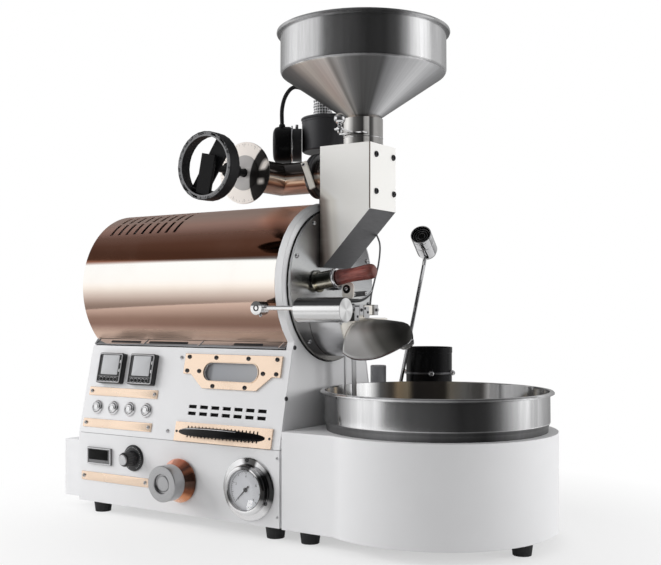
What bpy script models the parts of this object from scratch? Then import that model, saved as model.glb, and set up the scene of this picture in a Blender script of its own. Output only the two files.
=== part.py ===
"""Home coffee bean roaster: drum roaster on a cabinet, with a round cooling tray beside it.

Metres, +Z up. The roaster's own frame has X = 0 at the front face of the drum's end plate,
+X towards the cooling tray, -Y towards the operator's panel and Z = 0 on the table.
An empty moves that frame so that the origin lies under the centre of the whole roaster.
"""
import math

import bmesh
import bpy
from mathutils import Matrix, Vector

# Clearances and general sizes
GAP = 0.0003
OVERRUN = 0.002
SHEET = 0.0015
WELD = 0.00002
PARALLEL = 1e-6
BIG_SIDES = 40
ROUND_SIDES = 28
SMALL_SIDES = 12
TINY_SIDES = 8

# Cabinet
CABINET_LENGTH = 0.363
CABINET_HALF_DEPTH = 0.119
CABINET_BOTTOM = 0.016
CABINET_TOP = 0.115
PANEL_TOP_DEPTH = 0.091
PANEL_TOP_DROP = 0.086
RIGHT_PLATE = 0.012
LEFT_PLATE = 0.003
HOUSING_DEPTH = 0.051
HOUSING_HALF_WIDTH = 0.100
HOUSING_TOP = 0.100
GUARD_DEPTH = 0.027
GUARD_RADIUS = 0.035

# Drum and its casing
DRUM_HEIGHT = 0.327
CASING_RADIUS = 0.112
CASING_WALL = 0.0012
FLANGE_RADIUS = 0.113
CASING_EDGE_DROP = 0.075
SLOT_FIRST_X = -0.337
SLOT_PITCH = 0.0161
SLOT_COUNT = 9
SLOT_WIDTH = 0.0036
CASING_SLOTS = ((40.0, 0.024), (26.0, 0.018), (13.5, 0.016))
DRUM_RADIUS = 0.086
DRUM_WALL = 0.0015
DRUM_GAP = 0.035
DRUM_MOUTH = 0.003
DRUM_CLEARANCE = 0.003
SHAFT_RADIUS = 0.007
FRONT_SHAFT_RADIUS = 0.006
SHAFT_NOSE = 0.010
VANE_COUNT = 4
VANE_WIDTH = 0.016
VANE_THICKNESS = 0.002
VANE_LENGTH = 0.290
VANE_TURN_SHARE = 0.5
SPIDER_ARMS = 3
SPIDER_WIDTH = 0.008
SPIDER_DEPTH = 0.006
SPIDER_SETBACK = 0.125
FACE_RADIUS = 0.1025
FACE_THICKNESS = 0.005

# Drive
PULLEY_RADIUS = 0.026
MOTOR_PULLEY_RADIUS = 0.013
PULLEY_WIDTH = 0.008
BELT_THICKNESS = 0.003
PULLEY_SETBACK = 0.015
MOTOR_HEIGHT = 0.060
MOTOR_RADIUS = 0.034
MOTOR_LENGTH = 0.095
MOTOR_SHAFT_RADIUS = 0.004
MOTOR_FOOT = 0.004
MOTOR_FOOT_SHARE = 0.7

# Burner, gas valve and chaff drawer
BURNER_HEIGHT = 0.190
BURNER_RADIUS = 0.008
BURNER_SPREAD = 0.034
MANIFOLD_SHARE = 0.8
VALVE_SIZE = 0.026
GAS_PIPE_RADIUS = 0.0035
GAS_PIPE_X = -0.174
DRAWER_LEFT = -0.177
DRAWER_RIGHT = -0.0125
DRAWER_FACE_HEIGHT = 0.0262
DRAWER_FACE = 0.002
DRAWER_LENGTH = 0.175
DRAWER_LOW = 0.003
DRAWER_HIGH = 0.0225
TRAY_LEFT = -0.165
TRAY_RIGHT = -0.025
DRAWER_SLOT_COUNT = 20
DRAWER_SLOT_WIDTH = 0.0022
DRAWER_SLOT_HEIGHT = 0.0155
DRAWER_SLOT_V = 0.0136
DRAWER_SLOT_PITCH = 0.0062
HANDLE_LEFT = -0.172
HANDLE_RIGHT = -0.021
HANDLE_REACH = 0.018
HANDLE_THICKNESS = 0.003
HANDLE_HEIGHT = 0.011
HANDLE_V = 0.0130
HANDLE_INNER_SHARE = 0.93

# Slanted front panel: places along the panel are X, and v up its slope
CONTROLLER_WIDTH = 0.0495
CONTROLLER_HEIGHT = 0.0455
CONTROLLER_X = (-0.3165, -0.2545)
CONTROLLER_V = 0.0950
CONTROLLER_BEZEL = 0.008
CONTROLLER_LIP = 0.0025
CONTROLLER_BACK = 0.030
BUTTON_FIRST_X = -0.3335
BUTTON_PITCH = 0.0322
BUTTON_COUNT = 4
BUTTON_V = 0.0380
BUTTON_RADIUS = 0.0072
BUTTON_HEIGHT = 0.0042
BUTTON_ROUND = 0.0006
BUTTON_COLLAR_RADIUS = 0.0086
BUTTON_COLLAR_LEVEL = 0.0018
BUTTON_STEM = 0.0040
BUTTON_BACK = 0.014
WINDOW_X = -0.0945
WINDOW_HALF_WIDTH = 0.0830
WINDOW_TOP_V = 0.1207
WINDOW_EAR_V = 0.0925
WINDOW_SHOULDER = 0.0690
WINDOW_FOOT = 0.0460
WINDOW_BOTTOM_V = 0.0735
WINDOW_PLATE = 0.0020
SIGHT_HALF_LENGTH = 0.0465
SIGHT_RADIUS = 0.0125
SIGHT_V = 0.0967
SIGHT_GLASS = 0.003
SIGHT_LAP = 0.004
VENT_FIRST_X = -0.1532
VENT_PITCH = 0.01975
VENT_COLUMNS = 7
VENT_WIDTH = 0.0140
VENT_HEIGHT = 0.0048
VENT_ROWS_V = (0.0387, 0.0480)

# Lower front panel
TIMER_X = -0.3195
TIMER_Z = 0.0833
TIMER_WIDTH = 0.0480
TIMER_HEIGHT = 0.0240
TIMER_BEZEL = 0.003
TIMER_BODY = 0.040
TIMER_LIP = 0.002
DIAL_X = -0.2530
DIAL_Z = 0.0855
DIAL_SKIRT_RADIUS = 0.0187
DIAL_SKIRT = 0.0035
DIAL_GRIP_RADIUS = 0.0100
DIAL_LENGTH = 0.0240
KNOB_X = -0.1660
KNOB_Z = 0.0624
DISH_RADIUS = 0.0300
DISH_THROAT = 0.0210
DISH_START = 0.0020
DISH_EDGE = 0.0020
DISH_LENGTH = 0.0160
KNOB_RADIUS = 0.0245
KNOB_LENGTH = 0.0200
KNOB_RECESS_RADIUS = 0.0130
KNOB_RECESS = 0.0040
CONTROL_STEM_RADIUS = 0.0040
CONTROL_STEM = 0.0100
GAUGE_X = -0.0485
GAUGE_Z = 0.0618
GAUGE_FLANGE_RADIUS = 0.0410
GAUGE_FLANGE = 0.0025
GAUGE_BEZEL_RADIUS = 0.0325
GAUGE_DEPTH = 0.0120
GAUGE_GLASS_RADIUS = 0.0262
GAUGE_FLOOR = 0.0060
GAUGE_BODY = 0.0200
GAUGE_BODY_RADIUS = 0.0255
NEEDLE_LENGTH = 0.0200
NEEDLE_TAIL = 0.0070
NEEDLE_WIDTH = 0.0016
NEEDLE_THICKNESS = 0.0008
NEEDLE_HUB = 0.0030
NEEDLE_ANGLE = 225.0

# Feed: chute box, socket, gate and hopper
BOX_LEFT = 0.0056
BOX_RIGHT = 0.083
BOX_HALF_WIDTH = 0.034
BOX_TOP = 0.5128
BOX_KNEE = 0.426
BOX_TIP = 0.351
BOX_TIP_DEPTH = 0.010
FEED_HALF_WIDTH = 0.026
FEED_LOW = 0.356
FEED_HIGH = 0.392
HOPPER_X = 0.0525
SOCKET_RADIUS = 0.0265
SOCKET_BORE = 0.0175
SOCKET_TOP = 0.549
GATE_HEIGHT = 0.527
GATE_THICKNESS = 0.0020
GATE_HALF_WIDTH = 0.0185
GATE_BLADE_FRONT = -0.0305
GATE_FRONT = -0.0655
GATE_STRAP_HALF_WIDTH = 0.006
GATE_STRAP_SHARE = 0.9
GATE_KNOB_Y = -0.0585
GATE_KNOB_RADIUS = 0.0075
GATE_STEM_RADIUS = 0.0030
GATE_STEM = 0.0065
HOPPER_NECK_RADIUS = 0.0225
HOPPER_NECK_BOTTOM = 0.534
HOPPER_SHOULDER = 0.610
HOPPER_RADIUS = 0.111
HOPPER_TOP = 0.666
HOPPER_RIM_RADIUS = 0.116
HOPPER_RIM = 0.004
HOPPER_WALL = 0.0012

# Trier: a sampling scoop that slides in a sloping port
TRIER_Y = -0.043
TRIER_Z = 0.332
TRIER_TILT = 8.0
PORT_HOLE_RADIUS = 0.0095
PORT_RADIUS = 0.0118
PORT_LENGTH = 0.0275
PORT_FLANGE_RADIUS = 0.0150
PORT_FLANGE = 0.0025
COLLAR_RADIUS = 0.0132
COLLAR_LENGTH = 0.0050
SCOOP_RADIUS = 0.0080
SCOOP_WALL = 0.0012
SCOOP_LENGTH = 0.110
SCOOP_MOUTH = 0.070
TRIER_HANDLE_RADIUS = 0.0100
TRIER_HANDLE_LENGTH = 0.057
TRIER_HANDLE_WAIST_SHARE = 0.93
HANDLE_ROUND_STEPS = 4

# Discharge: half-round outlet, hinged door, hood and counterweight lever
OUTLET_TOP = 0.2832
OUTLET_RISE = 0.0083
OUTLET_RADIUS = 0.060
OUTLET_MOUTH = 0.0526
OUTLET_PORT_RADIUS = 0.048
OUTLET_WALL = 0.0015
DOOR_AXIS_X = 0.060
DOOR_AXIS_Z = 0.294
DOOR_THICKNESS = 0.002
DOOR_MARGIN = 0.0005
DOOR_SHAFT_RADIUS = 0.004
DOOR_EAR_HALF_WIDTH = 0.010
DOOR_EAR = 0.006
DOOR_GAP = 0.0006
DOOR_NOTCH = 0.0035
BRACKET_Y = -0.009
BRACKET_INNER = 0.014
BRACKET_OUTER = 0.024
BRACKET_HALF = 0.007
BRACKET_FOOT = 0.034
BRACKET_PLATE = 0.004
SHAFT_END = 0.006
LEVER_Y = -0.125
WEIGHT_RADIUS = 0.0155
WEIGHT_LEFT = 0.036
WEIGHT_RIGHT = 0.104
LEVER_ROD_RADIUS = 0.003
LEVER_ROD_RISE = 0.0025
LEVER_KNOB_X = -0.026
LEVER_KNOB_RADIUS = 0.009
LEVER_KNOB_LENGTH = 0.017
HOOD_LENGTH = 0.071
HOOD_HALF_WIDTH = 0.057
HOOD_RIDGE = 0.283
HOOD_DEPTH = 0.053
HOOD_FAR_LIFT = 0.020
HOOD_WALL = 0.0012
HOOD_CLEARANCE = 0.0008
HOOD_ARCH_STEPS = 12
# Stations from door to nose: share of the length, of the width, and of the depth down to
# the ridge and to the near rim
HOOD_SHARES = (
    (0.0, 1.0, 0.0, 0.85), (0.12, 0.96, 0.01, 0.95), (0.26, 0.88, 0.02, 1.0), (0.41, 0.76, 0.03, 1.0),
    (0.56, 0.62, 0.05, 0.96), (0.70, 0.48, 0.07, 0.87), (0.83, 0.34, 0.10, 0.76),
    (0.92, 0.22, 0.16, 0.67), (0.975, 0.12, 0.26, 0.60), (1.0, 0.05, 0.38, 0.52),
)

# Damper pipe with its hand wheel
PIPE_RADIUS = 0.0225
PIPE_WALL = 0.0015
PIPE_X = -0.082
PIPE_HEIGHT = 0.478
PIPE_FLANGE_RADIUS = 0.031
PIPE_FLANGE_LEFT = -0.023
PIPE_FLANGE_RIGHT = -0.012
DISC_Y = -0.085
DISC_RADIUS = 0.043
DISC_THICKNESS = 0.003
SPINDLE_RADIUS = 0.005
HUB_RADIUS = 0.0100
HUB_BACK = -0.104
HUB_FRONT = -0.122
WHEEL_FRONT = -0.169
WHEEL_BACK = -0.151
WHEEL_RADIUS = 0.044
WHEEL_RIM = 0.0045
WHEEL_WEB = 0.003
WHEEL_WEB_INSET = 0.001
WHEEL_WEB_HALF_WIDTH = 0.013
WHEEL_WEB_ANGLE = 55.0
WHEEL_HUB_RADIUS = 0.009
WHEEL_HUB = 0.003
BLADE_RADIUS = 0.0200
BLADE_THICKNESS = 0.002
DAMPER_BLADE_GAP = 0.006
DAMPER_HOLES = 3
DAMPER_HOLE_REACH = 0.013
DAMPER_HOLE_RADIUS = 0.0045
GRIP_LENGTH = 0.052
GRIP_WIDTH = 0.022
GRIP_THICKNESS = 0.005
GRIP_ANGLE = 78.0
GRIP_START = -0.0365
GRIP_LIFT = 0.001
GRIP_PIN_RADIUS = 0.0018

# Exhaust fan on its stack
FAN_X = -0.045
FAN_Y = 0.070
FAN_RADIUS = 0.042
FAN_BOTTOM = 0.522
FAN_TOP = 0.572
FAN_WALL = 0.002
STACK_RADIUS = 0.017
FAN_MOTOR_ANGLE = 215.0
FAN_MOTOR_HEIGHT = 0.533
FAN_MOTOR_RADIUS = 0.0265
FAN_MOTOR_LENGTH = 0.027
FAN_PLATE = 0.0020
FAN_PLATE_RADIUS = 0.0280
FAN_MOTOR_NECK = 0.013
FAN_NECK_RADIUS = 0.0240
FAN_LIP_RADIUS = 0.0435
FAN_LIP = 0.003
FAN_MOTOR_ROUND = 0.005
STUB_RADIUS = 0.014
STUB_BORE = 0.006
STUB_OFFSET = 0.014
STUB_TOP = 0.600
CABLE_RADIUS = 0.003
CABLE_RISE = 0.058
CABLE_SHARES = ((0.0, 0.45), (0.10, 0.80), (0.30, 1.0), (0.62, 0.92))
CABLE_STEPS = 4

# Cooling side
BASE_LEFT = 0.006
BASE_FRONT = 0.1225
BASE_X = 0.153
BASE_Y = 0.017
BASE_RADIUS = 0.156
BASE_REAR = 0.222
BASE_REAR_RIGHT = 0.104
BASE_TOP = 0.140
BASE_WALL = 0.002
BOSS_RADIUS = 0.008
BOSS_PLACES = ((-0.080, 0.045), (0.080, 0.045), (0.0, 0.095))
BASE_TAIL_LEFT = -0.024
TRAY_RADIUS = 0.1455
TRAY_RIM_RADIUS = 0.151
TRAY_TOP = 0.191
TRAY_RIM = 0.004
TAPER_TOP = 0.1500
TRAY_NECK_RADIUS = 0.1420
TRAY_BOTTOM = 0.126
TRAY_WALL = 0.0012
TRAY_LEDGE = 0.008
SCREEN_THICKNESS = 0.0012
SCREEN_SLOTS = 16
SCREEN_SLOT_LENGTH = 0.075
SCREEN_SLOT_WIDTH = 0.0022
SCREEN_SLOT_START = 0.050
SCREEN_BORE = 0.0055
STIR_ARMS = 3
STIR_HUB_RADIUS = 0.012
STIR_HUB_HEIGHT = 0.018
STIR_REACH = 0.132
STIR_ARM_WIDTH = 0.005
STIR_ARM_HEIGHT = 0.004
STIR_BLADE = 0.002
STIR_BLADE_LENGTH = 0.100
STIR_LIFT = 0.002
STIR_TURN_SHARE = 0.2
STIR_ROOT_SHARE = 0.7
STIR_BLADE_RISE = 0.0008
STIR_SHAFT_RADIUS = 0.004
STIR_MOTOR_RADIUS = 0.034
STIR_MOTOR_GAP = 0.004
DUCT_X = 0.055
DUCT_Y = 0.185
DUCT_RADIUS = 0.0345
DUCT_WALL = 0.002
DUCT_TOP = 0.239
DUCT_BAND = 0.0015
DUCT_BAND_HEIGHT = 0.016
DUCT_BAND_LEVEL = 0.1930
CAN_X = -0.004
CAN_Y = 0.136
CAN_RADIUS = 0.0115
CAN_TOP = 0.212
FOOT_RADIUS = 0.0135
FOOT_TOE_RADIUS = 0.0115
FOOT_INSET = 0.019
FOOT_ROW = CABINET_HALF_DEPTH - FOOT_INSET
FEET = (
    ("cabinet_front_left_foot", -0.333, -FOOT_ROW),
    ("cabinet_front_right_foot", -0.018, -0.102),
    ("cabinet_rear_left_foot", -0.333, FOOT_ROW),
    ("cooling_front_foot", 0.037, -0.103),
    ("cooling_right_foot", 0.285, -0.015),
    ("cooling_rear_foot", 0.045, 0.198),
)

# Work lamp
LAMP_X = 0.0175
LAMP_Y = 0.150
LAMP_FACE = Vector((0.082, 0.108, 0.401))
LAMP_DIRECTION = Vector((0.19, -0.84, 0.50)).normalized()
LAMP_HEAD_RADIUS = 0.0150
LAMP_HEAD_LENGTH = 0.048
LAMP_HEAD_WALL = 0.0012
LAMP_CUP = 0.006
LAMP_JOINT = 0.012
LAMP_BEND = 0.0105
LAMP_BALL_RADIUS = 0.0032
LAMP_ROD_RADIUS = 0.0027
LAMP_FOOT_RADIUS = 0.006
LAMP_FOOT = 0.010
LAMP_SWITCH_RADIUS = 0.0045
LAMP_SWITCH = 0.006
LAMP_SWITCH_TRAVEL = 0.001
LAMP_SWITCH_PROUD = 0.0045

# Temperature lead from the chute to the outlet
LEAD_ROUTE = (
    Vector((0.0520, 0.0355, 0.398)), Vector((0.0570, 0.0355, 0.386)), Vector((0.0575, 0.0358, 0.374)),
    Vector((0.0550, 0.0355, 0.355)), Vector((0.0500, 0.0345, 0.335)), Vector((0.0455, 0.0330, 0.315)),
    Vector((0.0430, 0.0320, 0.2921)),
)
LEAD_RADIUS = 0.0012
LEAD_STEPS = 3

# Reach of the whole roaster, which sets its origin
X_LOW = -CABINET_LENGTH - HOUSING_DEPTH
X_HIGH = BASE_X + BASE_RADIUS
ORIGIN = Vector((-(X_LOW + X_HIGH) / 2, -(WHEEL_FRONT + BASE_REAR) / 2, 0))

# The panel's slope and the casing's edge follow from the sizes above
PANEL_TOP = DRUM_HEIGHT - PANEL_TOP_DROP
CASING_EDGE = DRUM_HEIGHT - CASING_EDGE_DROP
SLOPE = Vector((0, CABINET_HALF_DEPTH - PANEL_TOP_DEPTH, PANEL_TOP - CABINET_TOP))
PANEL_LENGTH = SLOPE.length
UP_PANEL = SLOPE.normalized()
OFF_PANEL = Vector((0, -UP_PANEL.z, UP_PANEL.y))
PANEL_FOOT = Vector((0, -CABINET_HALF_DEPTH, CABINET_TOP + GAP + SHEET * UP_PANEL.y))
TRIER_AXIS = Vector((math.cos(math.radians(TRIER_TILT)), 0, math.sin(math.radians(TRIER_TILT))))
FACE_FRONT = GAP + FACE_THICKNESS
LEFT_END = -CABINET_LENGTH
PULLEY_CENTRE_X = LEFT_END - PULLEY_SETBACK
X_AXIS = Vector((1, 0, 0))
Y_AXIS = Vector((0, 1, 0))
Z_AXIS = Vector((0, 0, 1))

MATERIALS = {
    "white": ((0.86, 0.86, 0.87), 0.45, 0.0),
    "rose_gold": ((0.80, 0.52, 0.40), 0.15, 1.0),
    "steel": ((0.62, 0.61, 0.60), 0.30, 1.0),
    "chrome": ((0.85, 0.85, 0.86), 0.06, 1.0),
    "dark_steel": ((0.25, 0.24, 0.24), 0.40, 1.0),
    "black": ((0.02, 0.02, 0.022), 0.45, 0.0),
    "rubber": ((0.015, 0.015, 0.015), 0.8, 0.0),
    "glass": ((0.45, 0.47, 0.50), 0.05, 0.0),
    "wood": ((0.30, 0.07, 0.04), 0.35, 0.0),
    "red": ((0.6, 0.03, 0.03), 0.4, 0.0),
}


def clear_scene():
    for item in list(bpy.data.objects):
        bpy.data.objects.remove(item, do_unlink=True)


def new_group(name):
    group = bpy.data.collections.new(name)
    bpy.context.scene.collection.children.link(group)
    return group


clear_scene()
PARTS = new_group("coffee_roaster")
CUTTERS = new_group("cutters")
ROOT = bpy.data.objects.new("roaster_frame", None)
ROOT.location = ORIGIN
PARTS.objects.link(ROOT)


def material(kind, name):
    color, roughness, metallic = MATERIALS[kind]
    made = bpy.data.materials.new(name)
    made.use_nodes = True
    shader = made.node_tree.nodes["Principled BSDF"]
    shader.inputs["Base Color"].default_value = (*color, 1)
    shader.inputs["Roughness"].default_value = roughness
    shader.inputs["Metallic"].default_value = metallic
    return made


def place(name, data, kind, matrix):
    """Link a mesh or curve as a piece; with no kind it is a cutter or a tool for a join."""
    item = bpy.data.objects.new(name, data)
    item.parent = ROOT
    item.matrix_local = matrix
    if kind is None:
        CUTTERS.objects.link(item)
        item.hide_render = True
        item.display_type = "WIRE"
        return item
    data.materials.append(material(kind, name))
    PARTS.objects.link(item)
    return item


def smooth(mesh):
    mesh.shade_smooth()
    mesh.set_sharp_from_angle(angle=math.radians(35))


def aim(start, direction):
    """A matrix at start whose local Z runs along direction."""
    turn = Vector(direction).to_track_quat("Z", "Y").to_matrix().to_4x4()
    return Matrix.Translation(start) @ turn


def plane(origin, across, up):
    """A matrix whose local X and Y run along across and up."""
    across = Vector(across)
    up = Vector(up)
    out = across.cross(up)
    turn = Matrix((across, up, out)).transposed().to_4x4()
    return Matrix.Translation(origin) @ turn


def box(name, low, high, kind=None, matrix=None):
    low = Vector(low)
    high = Vector(high)
    bm = bmesh.new()
    bmesh.ops.create_cube(bm, size=1)
    bmesh.ops.scale(bm, vec=high - low, verts=bm.verts)
    mesh = bpy.data.meshes.new(name)
    bm.to_mesh(mesh)
    bm.free()
    centre = Matrix.Translation((low + high) / 2)
    return place(name, mesh, kind, (matrix or Matrix()) @ centre)


def boxes(name, corners, matrix=None):
    """One cutter holding several separate boxes."""
    bm = bmesh.new()
    for low, high in corners:
        low = Vector(low)
        high = Vector(high)
        made = bmesh.ops.create_cube(bm, size=1)["verts"]
        bmesh.ops.scale(bm, vec=high - low, verts=made)
        bmesh.ops.translate(bm, vec=(low + high) / 2, verts=made)
    mesh = bpy.data.meshes.new(name)
    bm.to_mesh(mesh)
    bm.free()
    return place(name, mesh, None, matrix or Matrix())


def rod(name, start, end, radius, kind=None, sides=SMALL_SIDES, end_radius=None):
    start = Vector(start)
    along = Vector(end) - start
    bm = bmesh.new()
    tip = radius if end_radius is None else end_radius
    bmesh.ops.create_cone(
        bm, cap_ends=True, segments=sides, radius1=radius, radius2=tip, depth=along.length
    )
    bmesh.ops.translate(bm, vec=(0, 0, along.length / 2), verts=bm.verts)
    mesh = bpy.data.meshes.new(name)
    bm.to_mesh(mesh)
    bm.free()
    smooth(mesh)
    return place(name, mesh, kind, aim(start, along))


def ball(name, centre, radius, kind=None, sides=SMALL_SIDES):
    bm = bmesh.new()
    bmesh.ops.create_uvsphere(bm, u_segments=sides, v_segments=sides // 2, radius=radius)
    mesh = bpy.data.meshes.new(name)
    bm.to_mesh(mesh)
    bm.free()
    smooth(mesh)
    return place(name, mesh, kind, Matrix.Translation(centre))


def turned(name, profile, start, direction, kind=None, sides=ROUND_SIDES, ring=False):
    """Turn (radius, height) points about a line; the outer side runs top to bottom."""
    points = [(radius, 0, height) for radius, height in profile]
    edges = [(i, i + 1) for i in range(len(points) - 1)]
    if ring:
        edges.append((len(points) - 1, 0))
    mesh = bpy.data.meshes.new(name)
    mesh.from_pydata(points, edges, [])
    item = place(name, mesh, kind, aim(start, direction))
    screw = item.modifiers.new("turn", "SCREW")
    screw.steps = sides
    screw.render_steps = sides
    screw.use_merge_vertices = True
    screw.merge_threshold = WELD
    screw.use_smooth_shade = True
    return item


def flat(name, outlines, thickness, matrix, kind=None):
    """A flat plate from closed outlines; the first is its edge and the rest are holes."""
    curve = bpy.data.curves.new(name, "CURVE")
    curve.dimensions = "2D"
    curve.fill_mode = "BOTH"
    curve.extrude = thickness / 2
    for outline in outlines:
        spline = curve.splines.new("POLY")
        spline.points.add(len(outline) - 1)
        for point, (x, y) in zip(spline.points, outline):
            point.co = (x, y, 0, 1)
        spline.use_cyclic_u = True
    return place(name, curve, kind, matrix)


def as_mesh(item):
    """Replace a curve by its welded mesh, ready to be cut or joined."""
    bpy.context.view_layer.update()
    name = item.name
    matrix = item.matrix_local.copy()
    group = item.users_collection[0]
    graph = bpy.context.evaluated_depsgraph_get()
    mesh = bpy.data.meshes.new_from_object(item.evaluated_get(graph))
    bm = bmesh.new()
    bm.from_mesh(mesh)
    bmesh.ops.remove_doubles(bm, verts=bm.verts, dist=WELD)
    bmesh.ops.recalc_face_normals(bm, faces=bm.faces)
    bm.to_mesh(mesh)
    bm.free()
    hidden = item.hide_render
    bpy.data.objects.remove(item, do_unlink=True)
    made = bpy.data.objects.new(name, mesh)
    made.parent = ROOT
    made.matrix_local = matrix
    made.hide_render = hidden
    if hidden:
        made.display_type = "WIRE"
    group.objects.link(made)
    return made


def tube(name, points, radius, kind=None, bevel=2):
    curve = bpy.data.curves.new(name, "CURVE")
    curve.dimensions = "3D"
    curve.bevel_depth = radius
    curve.bevel_resolution = bevel
    curve.use_fill_caps = True
    spline = curve.splines.new("POLY")
    spline.points.add(len(points) - 1)
    for point, co in zip(spline.points, points):
        point.co = (*co, 1)
    return place(name, curve, kind, Matrix())


def flowing(points, steps):
    """Points along a smooth curve through the given points."""
    ends = [2 * points[0] - points[1]] + points + [2 * points[-1] - points[-2]]
    route = []
    for before, start, end, after in zip(ends, ends[1:], ends[2:], ends[3:]):
        for step in range(steps):
            t = step / steps
            bend = (2 * start + (end - before) * t
                    + (2 * before - 5 * start + 4 * end - after) * t * t
                    + (3 * start - before - 3 * end + after) * t ** 3)
            route.append(bend / 2)
    return route + [points[-1]]


def cut(item, *tools):
    for tool in tools:
        step = item.modifiers.new("cut", "BOOLEAN")
        step.operation = "DIFFERENCE"
        step.object = tool
    return item


def join(item, *tools):
    for tool in tools:
        step = item.modifiers.new("join", "BOOLEAN")
        step.operation = "UNION"
        step.object = tool
    return item


def pivot(name, point):
    """An empty on a joint's axis, which carries the pieces that move there."""
    item = bpy.data.objects.new(name, None)
    item.parent = ROOT
    item.location = point
    PARTS.objects.link(item)
    return item


def carry(empty, *items):
    """Hang pieces on a joint's empty, leaving them where they are."""
    bpy.context.view_layer.update()
    for item in items:
        matrix = item.matrix_local.copy()
        item.parent = empty
        item.matrix_local = Matrix.Translation(-empty.location) @ matrix


def arc(radius, start, end, steps, centre=(0, 0)):
    """Points on an arc from one angle to another, in degrees."""
    turn = [math.radians(start + (end - start) * i / steps) for i in range(steps + 1)]
    return [(centre[0] + radius * math.cos(a), centre[1] + radius * math.sin(a)) for a in turn]


def circle(radius, sides, centre=(0, 0)):
    return arc(radius, 0, 360, sides, centre)[:-1]


def rectangle(low_x, low_y, high_x, high_y):
    return [(low_x, low_y), (high_x, low_y), (high_x, high_y), (low_x, high_y)]


def centred(x, y, width, height):
    return rectangle(x - width / 2, y - height / 2, x + width / 2, y + height / 2)


def stadium(x, y, half_length, radius, steps):
    reach = half_length - radius
    right = arc(radius, -90, 90, steps, (x + reach, y))
    left = arc(radius, 90, 270, steps, (x - reach, y))
    return right + left


def on_panel(x, v, off=0):
    """A point at X, v up the slanted panel and off its outer face."""
    return PANEL_FOOT + X_AXIS * x + UP_PANEL * v + OFF_PANEL * off


def panel_plane(off):
    return plane(on_panel(0, 0, off), X_AXIS, UP_PANEL)


def end_outline(radius, inset):
    """The cabinet's end as seen along X: sloping sides under a round top."""
    start = math.degrees(math.asin((CASING_EDGE - DRUM_HEIGHT) / radius))
    top = arc(radius, start, 180 - start, ROUND_SIDES, (0, DRUM_HEIGHT))
    foot = CABINET_HALF_DEPTH - inset
    shoulder = PANEL_TOP_DEPTH - inset
    right = [(foot, CABINET_TOP + GAP), (shoulder, PANEL_TOP)]
    left = [(-shoulder, PANEL_TOP), (-foot, CABINET_TOP + GAP)]
    return right + top + left


def side_plane(x):
    """Outlines in (Y, Z), thickness along X, centred on x."""
    return plane((x, 0, 0), Y_AXIS, Z_AXIS)


def front_plane(y):
    """Outlines in (X, Z), thickness along Y, centred on y."""
    return plane((0, y, 0), X_AXIS, Z_AXIS)


def inset(outline, depth):
    """Move each side of a closed outline inwards; the outline runs anticlockwise."""
    sides = []
    for (ax, ay), (bx, by) in zip(outline, outline[1:] + outline[:1]):
        length = math.hypot(bx - ax, by - ay)
        nx, ny = (ay - by) / length, (bx - ax) / length
        sides.append((nx, ny, nx * ax + ny * ay + depth))
    points = []
    for (a, b, c), (d, e, f) in zip([sides[-1]] + sides[:-1], sides):
        scale = a * e - b * d
        if abs(scale) < PARALLEL:
            points.append((c * a, c * b))
            continue
        points.append(((c * e - b * f) / scale, (a * f - c * d) / scale))
    return points


def cabinet():
    """The lower tub, with its rear sheet leaning up to the casing."""
    front = -CABINET_HALF_DEPTH
    tub = box("base_cabinet", (LEFT_END, front, CABINET_BOTTOM), (0, CABINET_HALF_DEPTH, CABINET_TOP),
              "white")
    inside = box(
        "cabinet_inside",
        (LEFT_END + SHEET, front + SHEET, CABINET_BOTTOM + SHEET),
        (-SHEET, CABINET_HALF_DEPTH - SHEET, CABINET_TOP + OVERRUN),
    )
    timer = box(
        "timer_hole",
        (TIMER_X - TIMER_WIDTH / 2 + TIMER_LIP, front - OVERRUN, TIMER_Z - TIMER_HEIGHT / 2 + TIMER_LIP),
        (TIMER_X + TIMER_WIDTH / 2 - TIMER_LIP, front + OVERRUN, TIMER_Z + TIMER_HEIGHT / 2 - TIMER_LIP),
    )
    reach = (OVERRUN + SHEET) * Y_AXIS
    rounds = []
    for name, x, z, radius in (
        ("dial_hole", DIAL_X, DIAL_Z, CONTROL_STEM_RADIUS),
        ("knob_hole", KNOB_X, KNOB_Z, CONTROL_STEM_RADIUS),
        ("gauge_hole", GAUGE_X, GAUGE_Z, GAUGE_BODY_RADIUS),
    ):
        at = Vector((x, front, z))
        rounds.append(rod(name, at - reach, at + reach, radius + GAP, sides=ROUND_SIDES))
    motor = Vector((LEFT_END, 0, MOTOR_HEIGHT))
    rounds.append(rod("motor_hole", motor - X_AXIS * OVERRUN, motor + X_AXIS * (SHEET + OVERRUN),
                      MOTOR_SHAFT_RADIUS + GAP))
    slope = plane((0, CABINET_HALF_DEPTH, CABINET_TOP), -X_AXIS, (0, -UP_PANEL.y, UP_PANEL.z))
    back = box("rear_sheet", (0, -OVERRUN, -SHEET), (CABINET_LENGTH, PANEL_LENGTH, 0), matrix=slope)
    cut(tub, inside, timer, *rounds)
    join(tub, back)


def end_plates():
    flat("left_end_plate", [
        end_outline(CASING_RADIUS - CASING_WALL - GAP, SHEET + 2 * GAP),
        circle(SHAFT_RADIUS + GAP, SMALL_SIDES, (0, DRUM_HEIGHT)),
    ], LEFT_PLATE, side_plane(LEFT_END + LEFT_PLATE / 2), "white")
    flat("right_end_plate", [
        end_outline(FLANGE_RADIUS, SHEET + 2 * GAP),
        circle(DRUM_RADIUS + DRUM_CLEARANCE, ROUND_SIDES, (0, DRUM_HEIGHT)),
    ], RIGHT_PLATE, side_plane(-RIGHT_PLATE / 2), "white")


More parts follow.
